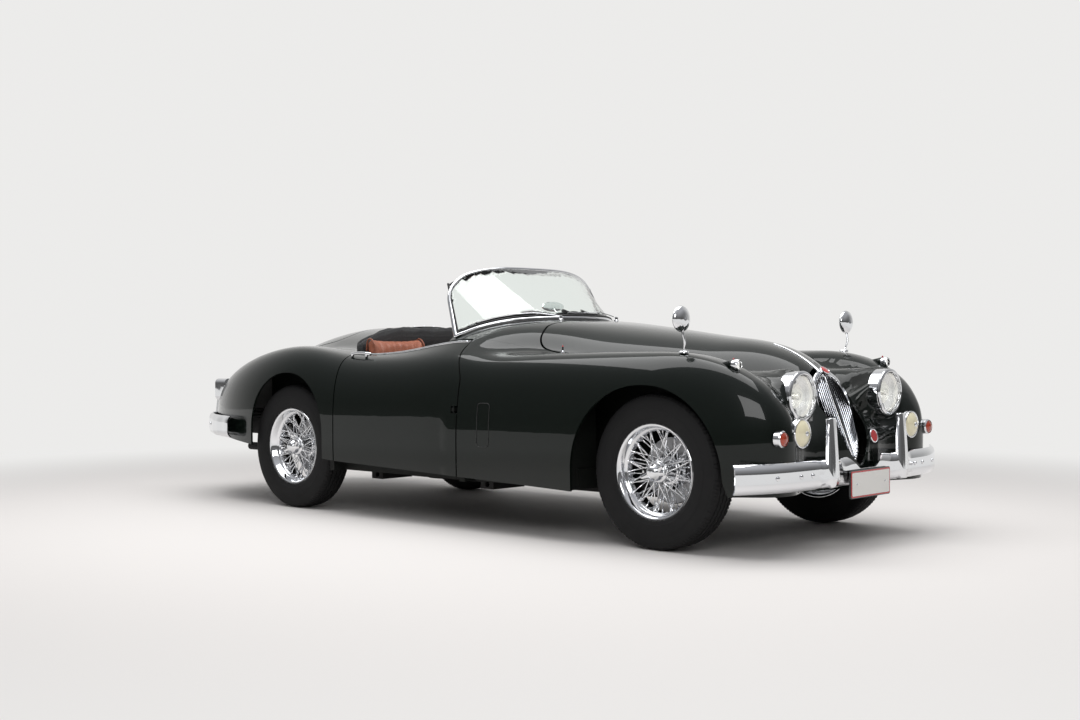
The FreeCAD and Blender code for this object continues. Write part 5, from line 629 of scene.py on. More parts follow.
def cap(x, start, reach):
    return np.maximum(0.0, (x - start) / (reach - start))


def lobe(dy, dz, cx, power, end_power, size):
    r = (np.abs(dy) ** power + np.abs(dz) ** power) ** (end_power / power) + cx ** end_power
    return (r ** (1 / end_power) - 1) * size


def smooth_min(a, b, k):
    h = np.maximum(0.0, k - np.abs(a - b)) / k
    return np.minimum(a, b) - h ** 3 * k / 6


def pod_form(x, y, z):
    back = 1.050
    round_off = 0.040
    t = np.clip((x - back) / (LAMP_FACE_X - back), 0, 1)
    d = np.hypot(y - LAMP_OFFSET - (1 - t) * 0.040,
                 z - LAMP_HEIGHT - (1 - t) * 0.020) - POD_RADIUS * (0.9 + 0.1 * t)
    e = x - LAMP_FACE_X + round_off
    rounded = np.where(d > -round_off, np.hypot(np.maximum(d + round_off, 0), e) - round_off, e - round_off)
    d = np.where(e > 0, rounded, d)
    return np.where(x < back, np.maximum(d, back - x), d)


def body_form(x, y, z):
    """Below zero inside the body, above zero outside."""
    y = np.abs(y)
    ahead = x > 0
    yc = wing_centre(x)
    half = side(x) - yc
    under = 0.700
    dy = (y - yc) / np.where(y > yc, half, half * 1.25)
    dz = (z - WAIST_HEIGHT) / np.where(z > WAIST_HEIGHT, crown(x) - WAIST_HEIGHT, under)
    wing = np.where(ahead, lobe(dy, dz, cap(x, 1.290, NOSE_REACH), 2.7, 2.3, 0.170),
                    lobe(dy, dz, cap(-x, 1.250, TAIL_REACH), 2.7, 2.0, 0.170))
    low = 0.420
    dz = (z - low) / np.where(z > low, centre_top(x) - low, under)
    dy = y / centre_width(x)
    power = centre_power(x)
    centre = np.where(ahead, lobe(dy, dz, cap(x, 1.250, NOSE_REACH - 0.012), power, 2.3, 0.350),
                      lobe(dy, dz, cap(-x, 1.300, TAIL_REACH), power, 2.0, 0.350))
    nose_dz = (z - 0.400) / np.where(z > 0.400, 0.235, under)
    tail_dz = (z - 0.380) / np.where(z > 0.380, 0.330, under)
    apron = np.where(ahead, lobe(y / 0.690, nose_dz, cap(x, 1.450, APRON_REACH), 3.2, 2.6, 0.230),
                     lobe(y / 0.570, tail_dz, cap(-x, 1.700, REAR_APRON_REACH), 2.6, 2.2, 0.230))
    form = smooth_min(wing, centre, 0.080)
    form = smooth_min(form, apron, np.where(ahead, 0.130, 0.160))
    return np.where(ahead, smooth_min(form, pod_form(x, y, z), 0.060), form)


def form_slope(points):
    """The way out of the form and the rough distance from it, at each place of the frame."""
    x = points[:, 0] - FRAME_SHIFT
    y = points[:, 1]
    z = points[:, 2]
    step = 0.0005
    slope = np.stack([body_form(x + step, y, z) - body_form(x - step, y, z),
                      body_form(x, y + step, z) - body_form(x, y - step, z),
                      body_form(x, y, z + step) - body_form(x, y, z - step)], 1) / (2 * step)
    size = np.linalg.norm(slope, axis=1) + 1e-9
    return slope / size[:, None], body_form(x, y, z) / size


def surface_height(x, y):
    """The height of the body's skin over a place about mid-wheelbase."""
    low, high = 0.3, 1.3
    for _ in range(30):
        mid = (low + high) / 2
        if body_form(np.array([x]), np.array([y]), np.array([mid]))[0] > 0:
            high = mid
        else:
            low = mid
    return low


def on_skin(x, y, rise=0.0):
    return at(x, y, surface_height(x, y) + rise)


def panel(node):
    """A painted panel whose skin faces exactly the way that the body's form does."""
    piece = merged_copy(node, node + "_skin")
    mesh = piece.data
    mesh.materials.append(PAINT)
    mesh.materials.append(INNER_PAINT)
    smooth_mesh(mesh, 30)
    places = np.zeros(len(mesh.vertices) * 3)
    mesh.vertices.foreach_get("co", places)
    places = places.reshape(-1, 3)
    out, distance = form_slope(places)
    corner = np.zeros(len(mesh.loops), int)
    mesh.loops.foreach_get("vertex_index", corner)
    normals = np.zeros(len(mesh.loops) * 3)
    mesh.corner_normals.foreach_get("vector", normals)
    normals = normals.reshape(-1, 3)
    faces = np.zeros(len(mesh.polygons) * 3)
    mesh.polygons.foreach_get("normal", faces)
    counts = np.zeros(len(mesh.polygons), int)
    mesh.polygons.foreach_get("loop_total", counts)
    face_of = np.repeat(np.arange(len(counts)), counts)
    faces = faces.reshape(-1, 3)[face_of]
    facing = (faces * out[corner]).sum(1)
    outer = (np.abs(distance[corner]) < 0.003) & (facing > 0.8)
    inner = (np.abs(distance[corner] + SKIN) < 0.004) & (facing < -0.8)
    normals[outer] = out[corner][outer]
    normals[inner] = -out[corner][inner]
    mesh.normals_split_custom_set([tuple(n) for n in normals])
    is_inner = np.zeros(len(counts), bool)
    depth = np.zeros(len(counts))
    np.add.at(depth, face_of, distance[corner])
    is_inner = depth / counts < -0.75 * SKIN
    mesh.polygons.foreach_set("material_index", is_inner.astype(np.int32))
    return settle(piece, body_of(node), "body_paint", node)


PANELS = ["bonnet", "boot_lid", "nose_panel", "front_wing_left", "front_wing_right", "scuttle",
          "rear_wing_left",
          "rear_wing_right", "rear_deck", "door_left", "door_right"]


# What repeats is set on points by one tree
def make_repeat_tree():
    tree = bpy.data.node_groups.new("set_on_points", "GeometryNodeTree")
    face = tree.interface
    face.new_socket("Geometry", in_out="INPUT", socket_type="NodeSocketGeometry")
    face.new_socket("Item", in_out="INPUT", socket_type="NodeSocketObject")
    size = face.new_socket("Size", in_out="INPUT", socket_type="NodeSocketFloat")
    size.default_value = 1.0
    face.new_socket("Finish", in_out="INPUT", socket_type="NodeSocketMaterial")
    face.new_socket("Geometry", in_out="OUTPUT", socket_type="NodeSocketGeometry")
    start = tree.nodes.new("NodeGroupInput")
    end = tree.nodes.new("NodeGroupOutput")
    way = tree.nodes.new("GeometryNodeInputNamedAttribute")
    way.data_type = "FLOAT_VECTOR"
    way.inputs["Name"].default_value = "way"
    turn = tree.nodes.new("FunctionNodeAlignRotationToVector")
    turn.axis = "Z"
    info = tree.nodes.new("GeometryNodeObjectInfo")
    spread = tree.nodes.new("GeometryNodeInstanceOnPoints")
    real = tree.nodes.new("GeometryNodeRealizeInstances")
    finish = tree.nodes.new("GeometryNodeSetMaterial")
    link(tree, way, "Attribute", turn, "Vector")
    link(tree, start, "Item", info, "Object")
    link(tree, start, "Geometry", spread, "Points")
    link(tree, info, "Geometry", spread, "Instance")
    link(tree, turn, "Rotation", spread, "Rotation")
    link(tree, start, "Size", spread, "Scale")
    link(tree, spread, "Instances", real, "Geometry")
    link(tree, real, "Geometry", finish, "Geometry")
    link(tree, start, "Finish", finish, "Material")
    link(tree, finish, "Geometry", end, "Geometry")
    return tree


REPEAT = make_repeat_tree()


def repeated(name, places, ways, item, material, size=1.0):
    """Copies of a small item at each place, its Z along each way, as one plain mesh. The item is used up."""
    mesh = bpy.data.meshes.new(name)
    mesh.from_pydata([tuple(p) for p in places], [], [])
    attribute = mesh.attributes.new("way", "FLOAT_VECTOR", "POINT")
    attribute.data.foreach_set("vector", [c for way in ways for c in way])
    holder = new_object(name, mesh)
    modifier = holder.modifiers.new("repeat", "NODES")
    modifier.node_group = REPEAT
    sockets = {s.name: s.identifier for s in REPEAT.interface.items_tree if s.in_out == "INPUT"}
    modifier[sockets["Item"]] = item
    modifier[sockets["Size"]] = size
    modifier[sockets["Finish"]] = material
    view = bpy.context.evaluated_depsgraph_get()
    view.update()
    made = bpy.data.meshes.new_from_object(holder.evaluated_get(view))
    holder.modifiers.clear()
    holder.data = made
    made.name = name
    smooth_mesh(made)
    bpy.data.objects.remove(item)
    return holder


def button(name, radius, height, steps=14):
    """A small domed head standing on the origin, as an item to repeat."""
    profile = [(-height / 2, radius * 0.98), (0, radius), (height * 0.55, radius * 0.85),
               (height * 0.9, radius * 0.45),
               (height, 0)]
    return lathe(name, profile, Vector(), (0, 0, 1), steps=steps)


# Wheels and tyres
WHEEL_RADIUS = 0.345
TYRE_HALF = 0.084
BEAD_RADIUS = 0.204
TREAD_STEPS = 360
ZIGZAGS = 60
GROOVE_DEPTH = 0.007
GROOVE_HALF = 0.0024
GROOVE_SLOPE = 0.0010
ZIGZAG_REACH = 0.0028
groove_shares = (-0.46, -0.16, 0.16, 0.46)
wall_shares = [(0.71, 0.0), (0.755, 0.03), (0.80, 0.06), (0.86, 0.10), (0.915, 0.17), (0.935, 0.20),
               (0.95, 0.205),
               (0.975, 0.28), (0.995, 0.36), (1.0, 0.44), (0.995, 0.53), (0.985, 0.535), (0.983, 0.56),
               (0.975, 0.62),
               (0.95, 0.72), (0.935, 0.77), (0.93, 0.785), (0.905, 0.83), (0.885, 0.865), (0.875, 0.885)]
crown_height_share = 0.035


def make_tyre(name, centre):
    """A tyre with ribbed walls and five zigzag tread ribs, its shoulders notched."""
    rise = WHEEL_RADIUS - BEAD_RADIUS
    rows = [(-y * TYRE_HALF, BEAD_RADIUS + z * rise, 0.0, 0.0) for y, z in wall_shares]

    def tread_radius(y):
        return WHEEL_RADIUS - crown_height_share * rise * (abs(y) / (0.80 * TYRE_HALF)) ** 2.4

    edge = 0.80 * TYRE_HALF
    rows.append((-edge, tread_radius(edge) - 0.004, 0.0, 1.0))
    rows.append((-edge + 0.005, tread_radius(edge - 0.005), 0.0, 1.0))
    rows.append((-edge + 0.014, tread_radius(edge - 0.014), 0.0, 0.6))
    for share in groove_shares:
        y = share * TYRE_HALF
        for offset, depth in ((-GROOVE_HALF - GROOVE_SLOPE, 0.0), (-GROOVE_HALF, GROOVE_DEPTH),
                              (GROOVE_HALF, GROOVE_DEPTH),
                              (GROOVE_HALF + GROOVE_SLOPE, 0.0)):
            rows.append((y + offset, tread_radius(y) - depth, 1.0, 0.0))
    rows.append((edge - 0.014, tread_radius(edge - 0.014), 0.0, 0.6))
    rows.append((edge - 0.005, tread_radius(edge - 0.005), 0.0, 1.0))
    rows.append((edge, tread_radius(edge) - 0.004, 0.0, 1.0))
    rows += [(y * TYRE_HALF, BEAD_RADIUS + z * rise, 0.0, 0.0) for y, z in reversed(wall_shares)]
    rows.append((0.69 * TYRE_HALF, BEAD_RADIUS - 0.0005, 0.0, 0.0))
    rows.append((-0.69 * TYRE_HALF, BEAD_RADIUS - 0.0005, 0.0, 0.0))
    angle = np.linspace(0, 2 * math.pi, TREAD_STEPS, endpoint=False)
    phase = (angle * ZIGZAGS / (2 * math.pi)) % 1.0
    zigzag = np.abs(phase * 2 - 1) * 2 - 1
    notch = np.where(((phase * 2) % 1.0) < 0.30, 0.0045, 0.0)
    rings = []
    for y, radius, swing, notched in rows:
        across = y + swing * ZIGZAG_REACH * zigzag
        size = radius - notched * notch
        rings.append(np.stack([centre.x + size * np.sin(angle), centre.y + across,
                               centre.z + size * np.cos(angle)], 1))
    points, faces = skin([list(ring) for ring in rings], closed_row=True)
    return new_object(name, mesh_from(name, points, faces, 28.0), RUBBER)


SPOKE_ROWS = ((0.038, 0.046, 0.014, 24, 22.0), (-0.042, 0.060, 0.022, 24, 30.0),
              (-0.040, 0.060, -0.020, 24, 12.0))
RIM_WELL_HALF = 0.0256
NIPPLE_LENGTH = 0.016
NIPPLE_RADIUS = 0.0042


def spoke_ends(centre, hand):
    """Where each spoke meets the rim, with the way from the rim to the hub."""
    places = []
    ways = []
    for hub_y, hub_r, rim_y, count, cross in SPOKE_ROWS:
        for i in range(count):
            angle = 2 * math.pi * (i + hub_y / 0.180) / count
            swing = math.radians(cross) * (1 if i % 2 else -1)
            radius = BEAD_RADIUS - (0.020 if abs(rim_y) < RIM_WELL_HALF else 0.006)
            start = Vector((hub_r * math.sin(angle), hand * hub_y, hub_r * math.cos(angle)))
            end = Vector((radius * math.sin(angle + swing), hand * rim_y, radius * math.cos(angle + swing)))
            places.append(centre + end)
            ways.append((start - end).normalized())
    return places, ways


def make_wheels():
    for end in ("front", "rear"):
        for hand_name, hand in (("left", 1), ("right", -1)):
            place = end + "_" + hand_name
            low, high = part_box("tyre_" + place)
            centre = (low + high) / 2
            tyre = make_tyre("tyre_" + place + "_tread", centre)
            settle(tyre, "wheel_" + place, "tyre", "tyre_" + place)
            wheel = dressed("wheel_" + place, CHROME, sharp_angle=40.0)
            places, ways = spoke_ends(centre, hand)
            nipple = lathe("nipple",
                           [(-0.004, NIPPLE_RADIUS * 1.3), (0.001, NIPPLE_RADIUS * 1.3),
                            (0.003, NIPPLE_RADIUS),
                                      (NIPPLE_LENGTH, NIPPLE_RADIUS * 0.75), (NIPPLE_LENGTH, 0)], Vector(),
                           (0, 0, 1), steps=10)
            nipples = repeated("nipples_" + place, places, ways, nipple, CHROME)
            settle(nipples, "wheel_" + place, "chrome")
            face = centre + Vector((0, hand * 0.071, 0))
            bead = lathe("rim_bead_" + place,
                         [(0.0, 0.2135), (-0.002, 0.2155), (-0.006, 0.2160), (-0.011, 0.2145),
                                               (-0.011, 0.2085), (-0.002, 0.2085), (0.0, 0.2105)], face,
                         (0, hand, 0), CHROME, steps=128)
            settle(bead, "wheel_" + place, "chrome")
            cap = lathe("hub_cap_" + place,
                        [(0.004, 0.038), (0.008, 0.036), (0.012, 0.030), (0.019, 0.027), (0.024, 0.020),
                                             (0.0255, 0.012), (0.0255, 0.006), (0.0262, 0.0)], face,
                        (0, hand, 0), CHROME)
            settle(cap, "wheel_" + place, "chrome")
            ears = []
            for way in (-1, 1):
                shape = [(0.0, 0.020), (0.018, 0.017), (0.038, 0.0125), (0.052, 0.0095), (0.060, 0.0085),
                         (0.066, 0.0050)]
                rings = []
                lean = math.radians(24)
                for along, half in shape:
                    lift = 0.0035 + 0.009 * (along / 0.066) ** 2
                    thick = 0.0062 * (1 - 0.35 * along / 0.066)
                    ring = []
                    for j in range(14):
                        a = 2 * math.pi * j / 14
                        across = half * math.cos(a)
                        height = lift + thick * math.sin(a)
                        x = way * along * math.cos(lean) - across * math.sin(lean)
                        z = way * along * math.sin(lean) + across * math.cos(lean)
                        ring.append(face + Vector((x, hand * height, z)))
                    rings.append(ring)
                points, faces = skin(rings)
                ears.append(new_object("ear", mesh_from("ear", points, faces, 50.0), CHROME))
            settle(joined("knock_off_" + place, ears), "wheel_" + place, "chrome")
            disc = lathe("rotor_face_" + place,
                         [(0.0, 0.147), (0.0006, 0.147), (0.0006, 0.085), (0.0, 0.085)],
                         centre + Vector((0, hand * -0.0628, 0)), (0, hand, 0), SATIN_STEEL, steps=96)
            settle(disc, "wheel_" + place, "forged_steel")


# Lamps
LENS_RADIUS = 0.092
lens_shares = [(0.0, 0.99), (0.10, 0.985), (0.30, 0.93), (0.52, 0.80), (0.72, 0.62), (0.86, 0.42),
               (0.96, 0.20), (1.0, 0.0)]
LENS_RISE = 0.020
FLUTES = 26
FLUTE_DEPTH = 0.0007


def make_headlamp(hand_name, hand):
    """The fluted lens with its reflector, bulb shield and rim bead."""
    back = at(LAMP_FACE_X - 0.004, hand * LAMP_OFFSET, LAMP_HEIGHT)
    steps = 120
    rings = []
    for side_way, rows in ((1, lens_shares), (-1, list(reversed(lens_shares)))):
        for rise, size in rows:
            along = rise * LENS_RISE - (0.0 if side_way > 0 else 0.004)
            radius = max(1e-5, size * (LENS_RADIUS - 0.001))
            ring = []
            for j in range(steps):
                a = 2 * math.pi * j / steps
                y = radius * math.cos(a)
                wave = abs(math.sin(math.pi * FLUTES * y / (2 * LENS_RADIUS)))
                flute = FLUTE_DEPTH * wave if side_way < 0 else 0.0
                ring.append(back + Vector((along - flute, y, radius * math.sin(a))))
            rings.append(ring)
    points, faces = skin(rings, closed_row=True)
    lens = new_object("headlamp_lens_" + hand_name, mesh_from("lens", points, faces, 50.0), LENS)
    settle(lens, "body", "lamp_glass", "lamp_glasses")
    bowl_back = at(LAMP_FACE_X - 0.0415, hand * LAMP_OFFSET, LAMP_HEIGHT)
    bowl = lathe("headlamp_bowl_" + hand_name,
                 [(0.0, 0.0), (0.001, 0.030), (0.008, 0.060), (0.020, 0.080), (0.033, 0.0895),
                                                (0.034, 0.0915), (0.031, 0.0915), (0.016, 0.082),
                  (-0.002, 0.050), (-0.004, 0.0)],
                 bowl_back, (1, 0, 0), REFLECTOR, steps=96)
    settle(bowl, "body", "chrome")
    bulb = lathe("headlamp_bulb_" + hand_name,
                 [(0.0, 0.012), (0.006, 0.012), (0.008, 0.016), (0.018, 0.016), (0.024, 0.011),
                                                (0.027, 0.0)], bowl_back, (1, 0, 0), REFLECTOR, steps=32)
    settle(bulb, "body", "chrome")
    bead = lathe("headlamp_bead_" + hand_name,
                 [(0.0, 0.1095), (0.003, 0.1085), (0.006, 0.1040), (0.0075, 0.0985), (0.006, 0.0945),
                                                (0.002, 0.0930), (-0.002, 0.0935), (-0.004, 0.1000),
                  (-0.004, 0.1080)],
                 at(LAMP_FACE_X, hand * LAMP_OFFSET, LAMP_HEIGHT), (1, 0, 0), CHROME, steps=128)
    settle(bead, "body", "chrome")


FOG_X = 1.893
FOG_Y = 0.467
FOG_Z = 0.525


def make_fog_face(hand_name, hand):
    face = at(FOG_X - 0.001, hand * FOG_Y, FOG_Z)
    glass = lathe("fog_glass_" + hand_name,
                  [(-0.002, 0.057), (0.002, 0.0565), (0.009, 0.050), (0.017, 0.036), (0.022, 0.020),
                                             (0.0235, 0.0), (-0.004, 0.0)], face, (1, 0, 0), CREAM_GLASS,
                  steps=96)
    settle(glass, "body", "lamp_glass")
    ring = lathe("fog_ring_" + hand_name,
                 [(-0.010, 0.0630), (0.0, 0.0640), (0.004, 0.0625), (0.005, 0.0590), (0.003, 0.0560),
                                           (-0.002, 0.0560), (-0.010, 0.0600)], face, (1, 0, 0), CHROME,
                 steps=96)
    settle(ring, "body", "chrome")
    boss = lathe("fog_boss_" + hand_name, [(0.018, 0.012), (0.026, 0.011), (0.029, 0.008), (0.031, 0.0)],
                 face, (1, 0, 0),
                 CHROME, steps=32)
    settle(boss, "body", "chrome")


def split_lamps():
    """The lamp rims and the small glasses, each in its own finish."""
    for piece in islands("lamp_rims"):
        low, high = extent(piece)
        hand_name = "left" if low.y > 0 else "right"
        centre = (low + high) / 2
        if centre.x - FRAME_SHIFT < 0:
            kind = "tail_lamp_body"
        elif abs(centre.y) < 0.45:
            kind = "headlamp_rim"
        elif centre.z > 0.7:
            kind = "side_lamp_body"
        else:
            kind = "indicator_rim"
        piece.name = kind + "_" + hand_name
        piece.data.materials.append(CHROME)
        if kind == "side_lamp_body":
            piece.data.materials.append(PAINT)
            for face in piece.data.polygons:
                face.material_index = 1 if face.center.x < high.x - 0.030 else 0
        settle(piece, "body", "chrome", "lamp_rims")
        if kind == "tail_lamp_body":
            make_tail_lens(hand_name, low, high)
    for piece in islands("lamp_glasses"):
        low, high = extent(piece)
        centre = (low + high) / 2
        if abs(centre.y) < 0.45:
            bpy.data.objects.remove(piece)
            continue
        hand_name = "left" if low.y > 0 else "right"
        amber = centre.z < 0.6
        piece.name = ("indicator_lens_" if amber else "side_lamp_lens_") + hand_name
        piece.data.materials.append(AMBER if amber else LENS)
        settle(piece, "body", "lamp_glass", "lamp_glasses")
        if not amber:
            tell = lathe("side_lamp_tell_" + hand_name,
                         [(-0.003, 0.0045), (0.003, 0.0045), (0.007, 0.003), (0.009, 0.0)],
                         Vector((centre.x - 0.028, centre.y, high.z + 0.004)), (0, 0, 1), RED_LENS, steps=16)
            settle(tell, "body", "lamp_glass")


def make_tail_lens(hand_name, low, high):
    """The tall red lens on a tail lamp's chrome body."""
    centre = (low + high) / 2
    half_y = (high.y - low.y) / 2 - 0.006
    half_z = (high.z - low.z) / 2 - 0.008
    rings = []
    for depth, size in ((0.012, 0.98), (-0.002, 1.0), (-0.008, 0.94), (-0.013, 0.78), (-0.0165, 0.45),
                        (-0.0175, 0.02)):
        rings.append([Vector((low.x + depth + 0.0,
                              centre.y + size * half_y * math.copysign(abs(math.cos(a)) ** 0.75, math.cos(a)),
                              centre.z + size * half_z * math.copysign(abs(math.sin(a)) ** 0.75, math.sin(a))))
                      for a in (2 * math.pi * j / 48 for j in range(48))])
    points, faces = skin(rings)
    lens = new_object("tail_lamp_lens_" + hand_name, mesh_from("tail_lens", points, faces, 50.0), RED_LENS)
    settle(lens, "body", "lamp_glass")


def make_lamps():
    split_lamps()
    for hand_name, hand in (("left", 1), ("right", -1)):
        make_headlamp(hand_name, hand)
        make_fog_face(hand_name, hand)
    dressed("fog_lamps", CHROME)


# Seats: leather pads filled by a cloth simulation
def swollen(piece, pressure, cap_m, voxel=0.006):
    """The piece remeshed and puffed up by cloth under pressure, no point moving further than the cap."""
    mesh = piece.data
    remesh = piece.modifiers.new("even", "REMESH")
    remesh.mode = "VOXEL"
    remesh.voxel_size = voxel
    view = bpy.context.evaluated_depsgraph_get()
    view.update()
    even = bpy.data.meshes.new_from_object(piece.evaluated_get(view))
    piece.modifiers.clear()
    piece.data = even
    bpy.data.meshes.remove(mesh)
    start = np.zeros(len(even.vertices) * 3)
    even.vertices.foreach_get("co", start)
    cloth = piece.modifiers.new("cloth", "CLOTH")
    cloth.settings.use_pressure = True
    cloth.settings.uniform_pressure_force = pressure
    cloth.settings.effector_weights.gravity = 0
    cloth.settings.tension_stiffness = 15
    cloth.settings.quality = 5
    cloth.point_cache.frame_start = 1
    cloth.point_cache.frame_end = CLOTH_FRAMES
    for frame_number in range(1, CLOTH_FRAMES + 1):
        bpy.context.scene.frame_set(frame_number)
    view = bpy.context.evaluated_depsgraph_get()
    puffed = piece.evaluated_get(view).to_mesh()
    end = np.zeros(len(even.vertices) * 3)
    puffed.vertices.foreach_get("co", end)
    piece.evaluated_get(view).to_mesh_clear()
    piece.modifiers.clear()
    bpy.context.scene.frame_set(1)
    move = (end - start).reshape(-1, 3)
    length = np.linalg.norm(move, axis=1, keepdims=True) + 1e-9
    move *= np.minimum(1.0, cap_m / length)
    even.vertices.foreach_set("co", start + move.reshape(-1))
    even.update()
    even.shade_smooth()
    return piece


CLOTH_FRAMES = 14


def cushion_block(name, corners, y0, y1, round_by=0.022):
    """A bevelled block whose side outline is (x, z) corners, as the slack start of a pad."""
    points = [at(x, y0, z) for x, z in corners] + [at(x, y1, z) for x, z in corners]
    count = len(corners)
    faces = [tuple(range(count)), tuple(range(2 * count - 1, count - 1, -1))]
    for i in range(count):
        k = (i + 1) % count
        faces.append((i, i + count, k + count, k))
    piece = new_object(name, mesh_from(name, points, faces))
    bevel = piece.modifiers.new("edges", "BEVEL")
    bevel.width = round_by
    bevel.segments = 4
    bevel.limit_method = "ANGLE"
    view = bpy.context.evaluated_depsgraph_get()
    view.update()
    mesh = bpy.data.meshes.new_from_object(piece.evaluated_get(view))
    piece.modifiers.clear()
    piece.data = mesh
    return piece


def press_channels(piece, lines, depth, width, axis):
    """Sewn channels: the surface sinks along planes across the car at each y, or along x or z."""
    mesh = piece.data
    count = len(mesh.vertices)
    places = np.zeros(count * 3)
    mesh.vertices.foreach_get("co", places)
    places = places.reshape(-1, 3)
    normals = np.zeros(count * 3)
    mesh.vertices.foreach_get("normal", normals)
    normals = normals.reshape(-1, 3)
    sink = np.zeros(count)
    for line in lines:
        sink = np.maximum(sink, np.exp(-((places[:, axis] - line) / width) ** 2))
    facing = np.abs(normals[:, axis]) < 0.8
    places -= normals * (sink * facing * depth)[:, None]
    mesh.vertices.foreach_set("co", places.reshape(-1))
    mesh.update()


SEAT_IN_Y = 0.146
SEAT_OUT_Y = 0.538
PIPING = 0.0042
cushion_corners = [(-0.338, 0.302), (-0.318, 0.425), (-0.345, 0.448), (-0.40, 0.449), (-0.755, 0.412),
                   (-0.792, 0.395), (-0.795, 0.305)]
back_corners = [(-0.806, 0.425), (-0.770, 0.430), (-0.798, 0.610), (-0.812, 0.870), (-0.826, 0.925),
                (-0.856, 0.945), (-0.880, 0.932),
                (-0.888, 0.880), (-0.905, 0.780), (-0.955, 0.460), (-0.955, 0.335), (-0.830, 0.335)]


def make_seat(hand_name, hand):
    y0, y1 = sorted((hand * (SEAT_IN_Y + 0.010), hand * (SEAT_OUT_Y - 0.010)))
    pieces = []
    for kind, corners, fill in (("cushion", cushion_corners, 0.75), ("back", back_corners, 0.75)):
        pad = cushion_block("seat_" + kind + "_" + hand_name, corners, y0, y1)
        swollen(pad, 3.5, 0.009)
        width = y1 - y0
        lines = [y0 + width * share for share in (0.14, 0.26, 0.38, 0.50, 0.62, 0.74, 0.86)]
        press_channels(pad, lines, 0.0035, 0.0045, 1)
        pad.data.materials.clear()
        pad.data.materials.append(TAN)
        pad.data.shade_smooth()
        pieces.append(pad)
    piping = []
    for y in (y0 + 0.004, y1 - 0.004):
        for corners, start, end in ((back_corners, 1, 8), (cushion_corners, 1, 5)):
            path = smooth_path([at(x, y, z) for x, z in corners[start:end]], 6)
            piping.append(tube("piping", path, PIPING, TAN, sides=8))
    for piece in pieces:
        settle(piece, "body", "leather", "seats")
    settle(joined("seat_piping_" + hand_name, piping), "body", "leather", "seats")


# Hood: the folded cloth behind the seats
def make_hood():
    """Three folds of cloth that lie behind the seats, bowed up over the deck's front edge."""
    low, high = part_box("hood")
    x0 = low.x + 0.003
    x1 = high.x - 0.002
    half = (high.y - low.y) / 2
    columns = 90
    rows = []
    profile = [(0.02, -0.105), (0.0, -0.04), (0.06, 0.0), (0.20, 0.012), (0.34, 0.002), (0.40, -0.018),
               (0.47, 0.004), (0.62, 0.010),
               (0.76, 0.001), (0.83, -0.016), (0.90, -0.002), (0.98, -0.012), (1.0, -0.05), (0.97, -0.105)]
    crown_z = high.z - 0.012
    for share, rise in profile:
        row = []
        for j in range(columns + 1):
            t = -1 + 2 * j / columns
            y = half * t
            top = crown_z - 0.012 - 0.085 * max(0.0, (abs(t) - 0.46) / 0.54) ** 1.7
            wrinkle = 0.0035 * math.sin(19 * t + 5 * share) + 0.0022 * math.sin(47 * t + 11 * share + 1.3)
            edge = 1.0 - 0.55 * max(0.0, (abs(t) - 0.90) / 0.10) ** 2
            row.append(Vector((x0 + (x1 - x0) * share, y,
                               top + (rise + wrinkle * (1 if rise > -0.03 else 0.2)) * edge)))
        rows.append(row)
    points, faces = skin(rows, closed_ring=False, closed_row=True)
    bottom = len(rows[0])
    faces.append(tuple(i * bottom for i in range(len(rows))))
    faces.append(tuple(i * bottom + columns for i in reversed(range(len(rows)))))
    cover = new_object("folded_hood", mesh_from("folded_hood", points, faces, 70.0), HOOD_CLOTH)
    smoother = cover.modifiers.new("smooth", "SUBSURF")
    smoother.levels = 1
    smoother.render_levels = 1
    settle(cover, "body", "hood_cloth", "hood")


# Cockpit
DASH_X = 0.052
COLUMN_WAY = Vector((0.720, 0.0, -0.300)).normalized()
WHEEL_PLACE = (-0.330, 0.330, 0.800)
STEERING_RADIUS = 0.205
FLOOR_TOP = 0.2975
TUNNEL_HALF = 0.133
TUNNEL_TOP = 0.529


def plain(node, *materials):
    """A CAD node that stays as it is, in a better material."""
    piece = frame["nodes"][node]
    for slot in piece.material_slots:
        slot.link = "OBJECT"
        slot.material = materials[0]
    return piece


def make_dial(name, y, z, radius):
    """A clock-faced instrument with its bezel, ticks and needle."""
    face = at(DASH_X, y, z)
    back = (-1, 0, 0)
    pieces = [lathe("bezel", [(-0.002, radius * 1.10), (0.003, radius * 1.10), (0.006, radius * 1.04),
                              (0.004, radius * 0.97),
                              (0.001, radius * 0.97)], face, back, CHROME, steps=48),
              lathe("face", [(-0.001, radius), (0.0018, radius), (0.0018, 0.0)], face, back, DIAL, steps=48)]
    ticks = []
    for i in range(21):
        a = math.radians(-135 + 270 * i / 20)
        way = Vector((0, math.sin(a), math.cos(a)))
        long = 0.80 if i % 2 == 0 else 0.86
        middle_place = face + way * (radius * (0.92 + long) / 2) + Vector((-0.0022, 0, 0))
        ticks.append((middle_place, way))
    tick = lathe("tick", [(-radius * 0.05, 0.0009), (radius * 0.05, 0.0009)], Vector(), (0, 0, 1), steps=6)
    pieces.append(repeated("ticks", [p for p, _ in ticks], [w for _, w in ticks], tick, WHITE_ENAMEL))
    a = math.radians(-100)
    way = Vector((0, math.sin(a), math.cos(a)))
    pieces.append(tube("needle",
                       [face + Vector((-0.0035, 0, 0)) - way * radius * 0.15,
                        face + Vector((-0.0035, 0, 0)) + way * radius * 0.78],
                       lambda share: 0.0014 - 0.0010 * share, WHITE_ENAMEL, sides=6))
    pieces.append(lathe("boss", [(0.001, 0.006), (0.005, 0.0055), (0.006, 0.0)], face, back, SATIN_STEEL,
                        steps=20))
    return settle(joined(name, pieces), "body", "leather")


